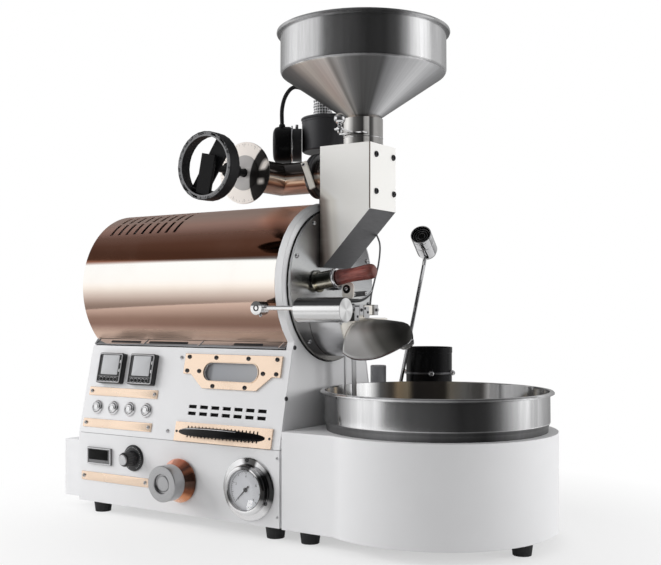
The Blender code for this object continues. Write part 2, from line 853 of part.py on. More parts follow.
def front_panel():
    outline = rectangle(LEFT_END, 0, 0, PANEL_LENGTH)
    holes = [centred(x, CONTROLLER_V, CONTROLLER_WIDTH - 2 * CONTROLLER_LIP,
                     CONTROLLER_HEIGHT - 2 * CONTROLLER_LIP) for x in CONTROLLER_X]
    for i in range(BUTTON_COUNT):
        x = BUTTON_FIRST_X + i * BUTTON_PITCH
        holes.append(circle(BUTTON_RADIUS + GAP, SMALL_SIDES, (x, BUTTON_V)))
    holes.append(stadium(WINDOW_X, SIGHT_V, SIGHT_HALF_LENGTH, SIGHT_RADIUS, TINY_SIDES))
    for v in VENT_ROWS_V:
        for i in range(VENT_COLUMNS):
            holes.append(centred(VENT_FIRST_X + i * VENT_PITCH, v, VENT_WIDTH, VENT_HEIGHT))
    holes.append(rectangle(TRAY_LEFT - GAP, DRAWER_LOW - GAP, TRAY_RIGHT + GAP, DRAWER_HIGH + GAP))
    flat("front_panel", [outline] + holes, SHEET, panel_plane(-SHEET / 2), "white")


def casing():
    """The rolled cover, its long edges bent out to the panels, with three rows of slots."""
    start = math.degrees(math.asin((CASING_EDGE - DRUM_HEIGHT) / CASING_RADIUS))
    middle = (0, DRUM_HEIGHT)
    outer = arc(CASING_RADIUS, start, 180 - start, ROUND_SIDES, middle)
    inner = arc(CASING_RADIUS - CASING_WALL, start, 180 - start, ROUND_SIDES, middle)
    foot = PANEL_TOP + 2 * GAP + SHEET
    edge = PANEL_TOP_DEPTH - SHEET
    outline = ([(edge, foot)] + outer + [(-edge, foot), (CASING_WALL - edge, foot)]
               + inner[::-1] + [(edge - CASING_WALL, foot)])
    right = -RIGHT_PLATE - GAP
    matrix = side_plane((LEFT_END + right) / 2)
    cover = as_mesh(flat("drum_casing", [outline], right - LEFT_END, matrix, "rose_gold"))
    reach = 2 * CASING_WALL
    for row, (angle, length) in enumerate(CASING_SLOTS):
        turn = Matrix.Translation((0, 0, DRUM_HEIGHT)) @ Matrix.Rotation(math.radians(angle), 4, "X")
        slots = []
        for i in range(SLOT_COUNT):
            x = SLOT_FIRST_X + i * SLOT_PITCH
            sag = CASING_RADIUS - math.sqrt(CASING_RADIUS ** 2 - length ** 2 / 4)
            low = (x - SLOT_WIDTH / 2, -length / 2, CASING_RADIUS - sag - reach)
            slots.append((low, (x + SLOT_WIDTH / 2, length / 2, CASING_RADIUS + reach)))
        cut(cover, boxes(f"casing_slots_{row}", slots, turn))


def face_plate():
    """The steel disc that closes the drum's front, with its feed, trier, shaft and outlet ports."""
    feed = rectangle(-FEED_HALF_WIDTH, FEED_LOW, FEED_HALF_WIDTH, FEED_HIGH)
    outlet = arc(OUTLET_PORT_RADIUS, 180, 360, SMALL_SIDES, (0, OUTLET_TOP - OUTLET_WALL))
    flat("face_plate", [
        circle(FACE_RADIUS, BIG_SIDES, (0, DRUM_HEIGHT)),
        feed,
        outlet,
        circle(PORT_HOLE_RADIUS, SMALL_SIDES, (TRIER_Y, TRIER_Z)),
        circle(FRONT_SHAFT_RADIUS + GAP, SMALL_SIDES, (0, DRUM_HEIGHT)),
    ], FACE_THICKNESS, side_plane(GAP + FACE_THICKNESS / 2), "steel")


def drum():
    """The drum, open at its front, with lifting vanes, a spider and its shaft and pulley."""
    mouth = -DRUM_MOUTH
    rear = LEFT_END + DRUM_GAP
    nose = FACE_FRONT + SHAFT_NOSE
    pulley_front = PULLEY_CENTRE_X + PULLEY_WIDTH / 2
    pulley_back = PULLEY_CENTRE_X - PULLEY_WIDTH / 2
    profile = [
        (0, nose), (FRONT_SHAFT_RADIUS, nose), (FRONT_SHAFT_RADIUS, rear + DRUM_WALL),
        (DRUM_RADIUS - DRUM_WALL, rear + DRUM_WALL), (DRUM_RADIUS - DRUM_WALL, mouth),
        (DRUM_RADIUS, mouth), (DRUM_RADIUS, rear), (SHAFT_RADIUS, rear),
        (SHAFT_RADIUS, pulley_front), (PULLEY_RADIUS, pulley_front),
        (PULLEY_RADIUS, pulley_back), (0, pulley_back),
    ]
    start = Vector((0, 0, DRUM_HEIGHT))
    shell = turned("roasting_drum", profile, start, X_AXIS, "dark_steel")
    inner = DRUM_RADIUS - DRUM_WALL / 2
    for i in range(VANE_COUNT):
        angle = math.tau * (i + VANE_TURN_SHARE) / VANE_COUNT
        turn = Matrix.Translation(start) @ Matrix.Rotation(angle, 4, "X")
        join(shell, box(
            f"vane_{i}",
            (rear + DRUM_WALL / 2, -VANE_THICKNESS / 2, inner - VANE_WIDTH),
            (rear + DRUM_WALL / 2 + VANE_LENGTH, VANE_THICKNESS / 2, inner),
            matrix=turn,
        ))
    for i in range(SPIDER_ARMS):
        turn = Matrix.Translation(start) @ Matrix.Rotation(math.tau * i / SPIDER_ARMS, 4, "X")
        join(shell, box(
            f"spider_arm_{i}",
            (-SPIDER_SETBACK - SPIDER_DEPTH, -SPIDER_WIDTH / 2, 0),
            (-SPIDER_SETBACK, SPIDER_WIDTH / 2, inner),
            matrix=turn,
        ))
    carry(pivot("drum_axis", start), shell)


def belt_outline(top, low, spread):
    """The outline of a belt over two round pulleys, one above the other, in (Y, Z)."""
    span = DRUM_HEIGHT - MOTOR_HEIGHT
    tilt = math.degrees(math.asin((top - low) / span))
    upper = arc(top + spread, -tilt, 180 + tilt, SMALL_SIDES, (0, DRUM_HEIGHT))
    lower = arc(low + spread, 180 + tilt, 360 - tilt, TINY_SIDES, (0, MOTOR_HEIGHT))
    return upper + lower


def drive():
    """Motor, belt and the cover that hides them at the cabinet's left end."""
    belt = side_plane(PULLEY_CENTRE_X)
    flat("drive_belt", [
        belt_outline(PULLEY_RADIUS, MOTOR_PULLEY_RADIUS, GAP + BELT_THICKNESS),
        belt_outline(PULLEY_RADIUS, MOTOR_PULLEY_RADIUS, GAP),
    ], PULLEY_WIDTH, belt, "rubber")
    motor_end = LEFT_END + SHEET + GAP
    at = Vector((motor_end, 0, MOTOR_HEIGHT))
    bore = MOTOR_SHAFT_RADIUS + GAP
    motor = turned("drum_motor", [
        (0, MOTOR_LENGTH), (MOTOR_RADIUS, MOTOR_LENGTH), (MOTOR_RADIUS, 0), (bore, 0),
        (bore, MOTOR_LENGTH / 2), (0, MOTOR_LENGTH / 2),
    ], at, X_AXIS, "black")
    floor = CABINET_BOTTOM + SHEET + GAP
    join(motor, box(
        "motor_foot",
        (motor_end, -MOTOR_RADIUS * MOTOR_FOOT_SHARE, floor),
        (motor_end + MOTOR_LENGTH, MOTOR_RADIUS * MOTOR_FOOT_SHARE,
        MOTOR_HEIGHT - MOTOR_RADIUS + MOTOR_FOOT),
    ))
    front = PULLEY_CENTRE_X + PULLEY_WIDTH / 2
    back = PULLEY_CENTRE_X - PULLEY_WIDTH / 2
    inner_end = motor_end + MOTOR_LENGTH / 2 - GAP
    axis = Vector((0, 0, MOTOR_HEIGHT))
    pulley = turned("motor_pulley", [
        (0, inner_end), (MOTOR_SHAFT_RADIUS, inner_end), (MOTOR_SHAFT_RADIUS, front),
        (MOTOR_PULLEY_RADIUS, front), (MOTOR_PULLEY_RADIUS, back), (0, back),
    ], axis, X_AXIS, "steel", SMALL_SIDES)
    carry(pivot("motor_axis", axis), pulley)
    right = LEFT_END - GAP
    cover = box("drive_cover", (X_LOW, -HOUSING_HALF_WIDTH, CABINET_BOTTOM),
                (right, HOUSING_HALF_WIDTH, HOUSING_TOP), "white")
    guard_left = right - GUARD_DEPTH
    guard = arc(GUARD_RADIUS, 0, 180, SMALL_SIDES, (0, DRUM_HEIGHT))
    foot = HOUSING_TOP - OVERRUN
    outer = guard + [(-GUARD_RADIUS, foot), (GUARD_RADIUS, foot)]
    rise = as_mesh(flat("guard", [outer], GUARD_DEPTH, side_plane((guard_left + right) / 2)))
    low = CABINET_BOTTOM + SHEET
    hollow = box("housing_inside", (X_LOW + SHEET, SHEET - HOUSING_HALF_WIDTH, low),
                 (right + OVERRUN, HOUSING_HALF_WIDTH - SHEET, HOUSING_TOP - SHEET))
    room = GUARD_RADIUS - SHEET
    slot = arc(room, 0, 180, SMALL_SIDES, (0, DRUM_HEIGHT)) + [(-room, low), (room, low)]
    depth = GUARD_DEPTH - SHEET + OVERRUN
    channel = as_mesh(flat("guard_inside", [slot], depth, side_plane(guard_left + SHEET + depth / 2)))
    join(cover, rise)
    cut(cover, hollow, channel)


def burner():
    left = LEFT_END + LEFT_PLATE + GAP
    right = -RIGHT_PLATE - GAP
    bars = []
    for i, y in enumerate((0, -BURNER_SPREAD, BURNER_SPREAD)):
        name = "burner" if i == 0 else f"burner_bar_{i}"
        kind = "dark_steel" if i == 0 else None
        bars.append(rod(name, (left, y, BURNER_HEIGHT), (right, y, BURNER_HEIGHT), BURNER_RADIUS, kind))
    manifold = rod("burner_manifold", (GAS_PIPE_X, -BURNER_SPREAD, BURNER_HEIGHT),
                   (GAS_PIPE_X, BURNER_SPREAD, BURNER_HEIGHT), BURNER_RADIUS * MANIFOLD_SHARE)
    join(bars[0], bars[1], bars[2], manifold)


def gas_valve():
    """The valve behind its knob, with pipes to the burner and to the rear."""
    front = -CABINET_HALF_DEPTH + SHEET + GAP + CONTROL_STEM
    half = VALVE_SIZE / 2
    block = box("gas_valve", (KNOB_X - half, front, KNOB_Z - half), (KNOB_X + half, front + VALVE_SIZE,
            KNOB_Z + half),
                "steel")
    middle = front + half
    end = -BURNER_SPREAD - BURNER_RADIUS - GAP
    rise = as_mesh(tube("gas_rise", [
        Vector((GAS_PIPE_X, middle, KNOB_Z)), Vector((GAS_PIPE_X, middle, BURNER_HEIGHT - VALVE_SIZE)),
        Vector((GAS_PIPE_X, middle + half / 2, BURNER_HEIGHT - half / 2)),
        Vector((GAS_PIPE_X, middle + VALVE_SIZE, BURNER_HEIGHT)), Vector((GAS_PIPE_X, end, BURNER_HEIGHT)),
    ], GAS_PIPE_RADIUS))
    supply = rod("gas_supply", (KNOB_X, middle, KNOB_Z), (KNOB_X, CABINET_HALF_DEPTH - SHEET - GAP, KNOB_Z),
                 GAS_PIPE_RADIUS)
    join(block, rise, supply)


def drawer():
    """The chaff drawer: a tray whose slotted face lies on the slanted panel, with a bow pull."""
    face = flat("chaff_drawer", [rectangle(DRAWER_LEFT, 0, DRAWER_RIGHT, DRAWER_FACE_HEIGHT)],
                DRAWER_FACE, panel_plane(GAP + DRAWER_FACE / 2), "rose_gold")
    face = as_mesh(face)
    middle = (TRAY_LEFT + TRAY_RIGHT) / 2
    front_low = on_panel(0, DRAWER_LOW, GAP + DRAWER_FACE / 2)
    front_high = on_panel(0, DRAWER_HIGH, GAP + DRAWER_FACE / 2)
    rear = front_low.y + DRAWER_LENGTH
    tray_top = on_panel(0, DRAWER_HIGH, -SHEET).z
    side = [(front_low.y, front_low.z), (rear, front_low.z), (rear, tray_top), (front_high.y, tray_top)]
    tray = as_mesh(flat("drawer_tray", [side], TRAY_RIGHT - TRAY_LEFT, side_plane(middle)))
    floor = SHEET
    low = on_panel(0, DRAWER_LOW, GAP)
    room = [(low.y, low.z + floor), (rear - SHEET, low.z + floor), (rear - SHEET, tray_top + OVERRUN),
            (front_high.y + DRAWER_FACE, tray_top + OVERRUN)]
    hollow = as_mesh(flat("drawer_hollow", [room], TRAY_RIGHT - TRAY_LEFT - 2 * SHEET, side_plane(middle)))
    cut(tray, hollow)
    slots = []
    first = (DRAWER_LEFT + DRAWER_RIGHT) / 2 - DRAWER_SLOT_PITCH * (DRAWER_SLOT_COUNT - 1) / 2
    centre = DRAWER_FACE_HEIGHT / 2
    for i in range(DRAWER_SLOT_COUNT):
        x = first + i * DRAWER_SLOT_PITCH
        slots.append((
            (x - DRAWER_SLOT_WIDTH / 2, DRAWER_SLOT_V - DRAWER_SLOT_HEIGHT / 2, -OVERRUN),
            (x + DRAWER_SLOT_WIDTH / 2, DRAWER_SLOT_V + DRAWER_SLOT_HEIGHT / 2, OVERRUN + DRAWER_FACE),
        ))
    join(face, tray)
    cut(face, boxes("drawer_slots", slots, panel_plane(GAP)))
    span = (HANDLE_RIGHT - HANDLE_LEFT) / 2
    radius = (span ** 2 + HANDLE_REACH ** 2) / (2 * HANDLE_REACH)
    half = math.degrees(math.asin(span / radius))
    centre_x = (HANDLE_LEFT + HANDLE_RIGHT) / 2
    foot = GAP + DRAWER_FACE - SHEET / 2
    centre_off = foot + HANDLE_REACH - radius
    outer = arc(radius, 90 - half, 90 + half, SMALL_SIDES, (centre_x, centre_off))
    inner_half = half * HANDLE_INNER_SHARE
    inner = arc(radius - HANDLE_THICKNESS, 90 - inner_half, 90 + inner_half, SMALL_SIDES,
                (centre_x, centre_off))
    across = plane(on_panel(0, HANDLE_V), X_AXIS, OFF_PANEL)
    bow = as_mesh(flat("bow", [outer + inner[::-1]], HANDLE_HEIGHT, across))
    join(face, bow)
    carry(pivot("drawer_slide", on_panel(middle, centre)), face)


def window():
    shoulder = [
        (WINDOW_FOOT, WINDOW_BOTTOM_V), (WINDOW_SHOULDER, WINDOW_EAR_V),
        (WINDOW_HALF_WIDTH, WINDOW_EAR_V), (WINDOW_HALF_WIDTH, WINDOW_TOP_V),
    ]
    outline = [(WINDOW_X + x, v) for x, v in shoulder] + [(WINDOW_X - x, v) for x, v in shoulder[::-1]]
    hole = stadium(WINDOW_X, SIGHT_V, SIGHT_HALF_LENGTH, SIGHT_RADIUS, TINY_SIDES)
    flat("window_plate", [outline, hole], WINDOW_PLATE, panel_plane(GAP + WINDOW_PLATE / 2), "rose_gold")
    pane = stadium(WINDOW_X, SIGHT_V, SIGHT_HALF_LENGTH + SIGHT_LAP, SIGHT_RADIUS + SIGHT_LAP, TINY_SIDES)
    flat("sight_glass", [pane], SIGHT_GLASS, panel_plane(-SHEET - GAP - SIGHT_GLASS / 2), "glass")


def instruments():
    """Two controllers and a timer, each a bezel with its body behind the sheet."""
    matrix = panel_plane(0)
    half_width = CONTROLLER_WIDTH / 2
    half_height = CONTROLLER_HEIGHT / 2
    lip = CONTROLLER_LIP + GAP
    for name, x in zip(("left_controller", "right_controller"), CONTROLLER_X):
        bezel = box(name, (x - half_width, CONTROLLER_V - half_height, GAP),
                    (x + half_width, CONTROLLER_V + half_height, CONTROLLER_BEZEL), "black", matrix)
        join(bezel, box(
            name + "_body",
            (x - half_width + lip, CONTROLLER_V - half_height + lip, -CONTROLLER_BACK),
            (x + half_width - lip, CONTROLLER_V + half_height - lip, CONTROLLER_BEZEL / 2),
            matrix=matrix,
        ))
    front = -CABINET_HALF_DEPTH
    lip = TIMER_LIP + GAP
    half_width = TIMER_WIDTH / 2
    half_height = TIMER_HEIGHT / 2
    bezel = box("timer", (TIMER_X - half_width, front - TIMER_BEZEL, TIMER_Z - half_height),
                (TIMER_X + half_width, front - GAP, TIMER_Z + half_height), "black")
    join(bezel, box(
        "timer_body",
        (TIMER_X - half_width + lip, front - TIMER_BEZEL / 2, TIMER_Z - half_height + lip),
        (TIMER_X + half_width - lip, front + TIMER_BODY, TIMER_Z + half_height - lip),
    ))


def buttons():
    cap = [
        (0, BUTTON_HEIGHT), (BUTTON_RADIUS - BUTTON_ROUND, BUTTON_HEIGHT),
        (BUTTON_RADIUS, BUTTON_HEIGHT - BUTTON_ROUND), (BUTTON_RADIUS, -BUTTON_COLLAR_LEVEL),
        (BUTTON_COLLAR_RADIUS, -BUTTON_COLLAR_LEVEL),
        (BUTTON_COLLAR_RADIUS, -BUTTON_COLLAR_LEVEL - SHEET), (BUTTON_STEM, -BUTTON_COLLAR_LEVEL - SHEET),
        (BUTTON_STEM, -BUTTON_BACK), (0, -BUTTON_BACK),
    ]
    for i in range(BUTTON_COUNT):
        at = on_panel(BUTTON_FIRST_X + i * BUTTON_PITCH, BUTTON_V)
        item = turned(f"button_{i + 1}", cap, at, OFF_PANEL, "chrome", SMALL_SIDES)
        carry(pivot(f"button_{i + 1}_slide", at), item)


def controls():
    """The speed dial, the gas knob on its copper dish, and the pressure gauge."""
    front = -CABINET_HALF_DEPTH - GAP
    stem = CONTROL_STEM + SHEET
    at = Vector((DIAL_X, front, DIAL_Z))
    dial = turned("speed_dial", [
        (0, DIAL_LENGTH), (DIAL_GRIP_RADIUS, DIAL_LENGTH), (DIAL_GRIP_RADIUS, DIAL_SKIRT),
        (DIAL_SKIRT_RADIUS, DIAL_SKIRT / 2), (DIAL_SKIRT_RADIUS, 0),
        (CONTROL_STEM_RADIUS, 0), (CONTROL_STEM_RADIUS, -stem), (0, -stem),
    ], at, -Y_AXIS, "black", ROUND_SIDES)
    carry(pivot("dial_axis", at), dial)
    at = Vector((KNOB_X, front, KNOB_Z))
    back = DISH_START + DISH_LENGTH
    top = back + KNOB_LENGTH
    knob = turned("gas_knob", [
        (0, top - KNOB_RECESS), (KNOB_RECESS_RADIUS, top - KNOB_RECESS), (KNOB_RECESS_RADIUS, top),
        (KNOB_RADIUS - BUTTON_ROUND, top), (KNOB_RADIUS, top - BUTTON_ROUND), (KNOB_RADIUS, back),
        (DISH_THROAT, back), (DISH_THROAT, back - DISH_EDGE),
        (DISH_RADIUS, DISH_START + DISH_EDGE), (DISH_RADIUS, DISH_START),
        (CONTROL_STEM_RADIUS, DISH_START), (CONTROL_STEM_RADIUS, -stem + GAP), (0, -stem + GAP),
    ], at, -Y_AXIS, "steel", ROUND_SIDES)
    carry(pivot("knob_axis", at), knob)
    at = Vector((GAUGE_X, front, GAUGE_Z))
    rim = GAUGE_BEZEL_RADIUS
    turned("gauge_case", [
        (0, GAUGE_FLOOR), (GAUGE_GLASS_RADIUS, GAUGE_FLOOR), (GAUGE_GLASS_RADIUS, GAUGE_DEPTH),
        (rim - GAUGE_FLANGE, GAUGE_DEPTH), (rim, GAUGE_DEPTH - GAUGE_FLANGE), (rim, GAUGE_FLANGE),
        (GAUGE_FLANGE_RADIUS, GAUGE_FLANGE), (GAUGE_FLANGE_RADIUS, 0), (GAUGE_BODY_RADIUS, 0),
        (GAUGE_BODY_RADIUS, -GAUGE_BODY), (0, -GAUGE_BODY),
    ], at, -Y_AXIS, "chrome", ROUND_SIDES)
    turn = Matrix.Rotation(math.radians(NEEDLE_ANGLE), 4, "Z")
    flat_to_panel = plane(at, X_AXIS, Z_AXIS) @ turn
    level = GAUGE_FLOOR + GAP
    needle = box("gauge_needle", (-NEEDLE_TAIL, -NEEDLE_WIDTH / 2, level + NEEDLE_THICKNESS / 2),
                 (NEEDLE_LENGTH, NEEDLE_WIDTH / 2, level + 3 * NEEDLE_THICKNESS / 2), "black",
                 flat_to_panel)
    hub = rod("needle_hub", at - Y_AXIS * level, at - Y_AXIS * (level + 2 * NEEDLE_THICKNESS), NEEDLE_HUB,
              sides=TINY_SIDES)
    join(needle, hub)
    carry(pivot("needle_axis", at), needle)


def chute_and_hopper():
    box_outline = [
        (BOX_LEFT, BOX_TIP), (BOX_TIP_DEPTH, BOX_TIP), (BOX_RIGHT, BOX_KNEE),
        (BOX_RIGHT, BOX_TOP), (BOX_LEFT, BOX_TOP),
    ]
    chute = as_mesh(flat("chute_box", [box_outline], 2 * BOX_HALF_WIDTH, front_plane(0), "steel"))
    hollow = as_mesh(flat("chute_hollow", [inset(box_outline, SHEET)], 2 * (BOX_HALF_WIDTH - SHEET),
                          front_plane(0)))
    feed = box("feed_port", (BOX_LEFT - OVERRUN, -FEED_HALF_WIDTH, FEED_LOW),
               (BOX_LEFT + OVERRUN, FEED_HALF_WIDTH, FEED_HIGH))
    top = Vector((HOPPER_X, 0, BOX_TOP))
    drop = rod("drop_port", top - OVERRUN * Z_AXIS, top + OVERRUN * Z_AXIS, SOCKET_BORE + SHEET,
            sides=ROUND_SIDES)
    wall = Vector((BOX_LEFT, 0, PIPE_HEIGHT))
    draw = rod("draw_port", wall - OVERRUN * X_AXIS, wall + OVERRUN * X_AXIS, PIPE_RADIUS - PIPE_WALL,
               sides=ROUND_SIDES)
    cut(chute, hollow, feed, drop, draw)
    base = Vector((HOPPER_X, 0, 0))
    seat = HOPPER_NECK_BOTTOM - GAP
    neck_bore = HOPPER_NECK_RADIUS + GAP
    root = BOX_TOP - SHEET / 2
    socket = turned("hopper_socket", [
        (SOCKET_RADIUS, SOCKET_TOP), (SOCKET_RADIUS, root), (SOCKET_BORE, root),
        (SOCKET_BORE, seat), (neck_bore, seat), (neck_bore, SOCKET_TOP),
    ], base, Z_AXIS, ring=True)
    join(chute, socket)
    level = Matrix.Translation((HOPPER_X, 0, GATE_HEIGHT))
    wide = GATE_HALF_WIDTH + GAP
    front = -SOCKET_RADIUS - OVERRUN
    slot = arc(wide, 0, 180, SMALL_SIDES) + [(-wide, front), (wide, front)]
    cut(chute, as_mesh(flat("gate_slot", [slot], GATE_THICKNESS + 2 * GAP, level)))
    blade = arc(GATE_HALF_WIDTH, 0, 180, SMALL_SIDES) + [
        (-GATE_HALF_WIDTH, GATE_BLADE_FRONT), (GATE_HALF_WIDTH, GATE_BLADE_FRONT),
    ]
    gate = as_mesh(flat("hopper_gate", [blade], GATE_THICKNESS, level, "chrome"))
    half = GATE_THICKNESS * GATE_STRAP_SHARE / 2
    strap = box("gate_strap", (-GATE_STRAP_HALF_WIDTH, GATE_FRONT, -half),
                (GATE_STRAP_HALF_WIDTH, GATE_BLADE_FRONT + OVERRUN, half), matrix=level)
    pull = Vector((HOPPER_X, GATE_KNOB_Y, GATE_HEIGHT))
    top = pull + Z_AXIS * (GATE_STEM + GATE_KNOB_RADIUS)
    stem = rod("gate_stem", pull, top, GATE_STEM_RADIUS, sides=TINY_SIDES)
    knob = ball("gate_knob", top, GATE_KNOB_RADIUS, sides=TINY_SIDES)
    join(gate, strap, stem, knob)
    carry(pivot("gate_slide", pull), gate)
    wall = HOPPER_WALL
    turned("hopper", [
        (HOPPER_RIM_RADIUS, HOPPER_TOP), (HOPPER_RIM_RADIUS, HOPPER_TOP - HOPPER_RIM),
        (HOPPER_RADIUS, HOPPER_TOP - HOPPER_RIM), (HOPPER_RADIUS, HOPPER_SHOULDER),
        (HOPPER_NECK_RADIUS, SOCKET_TOP + GAP), (HOPPER_NECK_RADIUS, HOPPER_NECK_BOTTOM),
        (HOPPER_NECK_RADIUS - wall, HOPPER_NECK_BOTTOM), (HOPPER_NECK_RADIUS - wall, SOCKET_TOP + wall),
        (HOPPER_RADIUS - wall, HOPPER_SHOULDER + wall / 2), (HOPPER_RADIUS - wall, HOPPER_TOP),
    ], base, Z_AXIS, "steel", BIG_SIDES, ring=True)


def trier():
    """The sampling scoop, the port it slides in, its turning collar and its wooden grip."""
    flange_x = FACE_FRONT + GAP + PORT_FLANGE_RADIUS * math.sin(math.radians(TRIER_TILT))
    start = Vector((flange_x, TRIER_Y, TRIER_Z))
    bore = SCOOP_RADIUS + GAP
    turned("trier_port", [
        (PORT_RADIUS, PORT_LENGTH), (PORT_RADIUS, PORT_FLANGE), (PORT_FLANGE_RADIUS, PORT_FLANGE),
        (PORT_FLANGE_RADIUS, 0), (bore, 0), (bore, PORT_LENGTH),
    ], start, TRIER_AXIS, "chrome", ring=True)
    collar_start = PORT_LENGTH + GAP
    collar_end = collar_start + COLLAR_LENGTH
    collar = turned("trier_collar", [
        (COLLAR_RADIUS, collar_end), (COLLAR_RADIUS, collar_start),
        (bore, collar_start), (bore, collar_end),
    ], start, TRIER_AXIS, "chrome", ring=True)
    grip_start = collar_end + GAP
    tip = start - TRIER_AXIS * SCOOP_LENGTH
    scoop = rod("trier_scoop", tip, start + TRIER_AXIS * (grip_start - GAP), SCOOP_RADIUS, "steel")
    hollow = rod("scoop_hollow", tip + TRIER_AXIS * SCOOP_WALL, tip + TRIER_AXIS * SCOOP_MOUTH,
                 SCOOP_RADIUS - SCOOP_WALL)
    upper = plane(tip, TRIER_AXIS, Y_AXIS)
    cut(scoop, hollow, box("scoop_mouth", (SCOOP_WALL, -SCOOP_RADIUS - OVERRUN, 0),
                           (SCOOP_MOUTH, SCOOP_RADIUS + OVERRUN, SCOOP_RADIUS + OVERRUN), matrix=upper))
    length = TRIER_HANDLE_LENGTH
    radius = TRIER_HANDLE_RADIUS
    waist = radius * TRIER_HANDLE_WAIST_SHARE
    profile = [(0, length)] + [
        (radius * math.sin(a), length - radius + radius * math.cos(a))
        for a in [math.pi / 2 * i / HANDLE_ROUND_STEPS for i in range(1, HANDLE_ROUND_STEPS + 1)]
    ] + [(waist, length / 2), (waist, length / 4), (radius, 0), (0, 0)]
    handle_start = start + TRIER_AXIS * grip_start
    handle = turned("trier_handle", profile, handle_start, TRIER_AXIS, "wood", SMALL_SIDES)
    turn = pivot("trier_axis", start)
    carry(turn, collar, scoop, handle)


def arc_below(radius, drop, centre):
    """The part of a circle below a level chord that lies the drop under its centre."""
    rest = math.degrees(math.asin(drop / radius))
    return arc(radius, 180 + rest, 360 - rest, ROUND_SIDES, centre)


def discharge():
    """The half-round outlet with its hinge brackets, the door, its hood and the lever."""
    top = OUTLET_TOP
    inner = OUTLET_RADIUS - OUTLET_WALL
    start = FACE_FRONT + GAP
    centre = (0, top + OUTLET_RISE)
    shape = arc_below(OUTLET_RADIUS, OUTLET_RISE, centre)
    room = arc_below(inner, OUTLET_RISE + OUTLET_WALL, centre)
    outlet = as_mesh(flat("outlet", [shape, room], OUTLET_MOUTH - start,
                          side_plane((start + OUTLET_MOUTH) / 2), "steel"))
    axis = Vector((DOOR_AXIS_X, 0, DOOR_AXIS_Z))
    half = BRACKET_HALF
    plate_back = OUTLET_MOUTH + DOOR_GAP
    bracket = [
        (OUTLET_MOUTH - BRACKET_FOOT, top - OUTLET_WALL / 2), (plate_back, top - OUTLET_WALL / 2),
        (plate_back, axis.z - half), (axis.x + half, axis.z - half), (axis.x + half, axis.z + half),
        (axis.x - 2 * half, axis.z + half), (OUTLET_MOUTH - BRACKET_FOOT, top + BRACKET_PLATE),
    ]
    width = BRACKET_OUTER - BRACKET_INNER
    middle = (BRACKET_INNER + BRACKET_OUTER) / 2
    hinge = axis + Y_AXIS * BRACKET_Y
    bores = rod("bracket_bore", hinge - Y_AXIS * (BRACKET_OUTER + OVERRUN),
                hinge + Y_AXIS * (BRACKET_OUTER + OVERRUN), DOOR_SHAFT_RADIUS + GAP)
    for name, side in (("left_bracket", -1), ("right_bracket", 1)):
        join(outlet, as_mesh(flat(name, [bracket], width, front_plane(BRACKET_Y + side * middle))))
    cut(outlet, bores)
    reach = OUTLET_RADIUS + DOOR_MARGIN
    near, far = hinge.y - DOOR_EAR_HALF_WIDTH, hinge.y + DOOR_EAR_HALF_WIDTH
    leaf_top = top - GAP
    leaf = arc_below(reach, OUTLET_RISE + GAP, centre) + [
        (far, leaf_top), (far, axis.z), (near, axis.z), (near, leaf_top),
    ]
    door = as_mesh(flat("discharge_door", [leaf], DOOR_THICKNESS,
            side_plane(plate_back + DOOR_THICKNESS / 2),
                        "steel"))
    notch = BRACKET_HALF + DOOR_NOTCH
    notches = boxes("door_notches", [
        ((plate_back - OVERRUN, BRACKET_Y + side * middle - width / 2 - DOOR_GAP, axis.z - notch),
         (plate_back + DOOR_THICKNESS + OVERRUN, BRACKET_Y + side * middle + width / 2 + DOOR_GAP,
         axis.z + notch))
        for side in (-1, 1)
    ])
    front = plate_back + DOOR_THICKNESS
    ear = box("door_ear", (front - DOOR_THICKNESS / 2, hinge.y - DOOR_EAR_HALF_WIDTH, axis.z - DOOR_EAR),
              (axis.x + DOOR_EAR, hinge.y + DOOR_EAR_HALF_WIDTH, axis.z + DOOR_EAR))
    bore = rod("ear_bore", hinge - Y_AXIS * (DOOR_EAR_HALF_WIDTH + OVERRUN),
               hinge + Y_AXIS * (DOOR_EAR_HALF_WIDTH + OVERRUN), DOOR_SHAFT_RADIUS + GAP)
    cut(door, notches)
    join(door, ear)
    cut(door, bore)
    line = Vector((0, LEVER_Y, DOOR_AXIS_Z))
    lever = rod("discharge_lever", line + X_AXIS * WEIGHT_LEFT, line + X_AXIS * WEIGHT_RIGHT, WEIGHT_RADIUS,
                "steel", ROUND_SIDES)
    at = line + X_AXIS * LEVER_KNOB_X + Z_AXIS * LEVER_ROD_RISE
    arm = rod("lever_rod", at, at + X_AXIS * (WEIGHT_LEFT + OVERRUN - LEVER_KNOB_X), LEVER_ROD_RADIUS)
    half_knob = Y_AXIS * LEVER_KNOB_LENGTH / 2
    knob = rod("lever_knob", at - half_knob, at + half_knob, LEVER_KNOB_RADIUS)
    shaft = rod("door_shaft", (axis.x, LEVER_Y, axis.z), (axis.x, hinge.y + BRACKET_OUTER + SHAFT_END,
            axis.z),
                DOOR_SHAFT_RADIUS)
    join(lever, shaft, arm, knob)
    cover = hood(front + HOOD_CLEARANCE)
    carry(pivot("door_axis", axis), door, lever, cover)


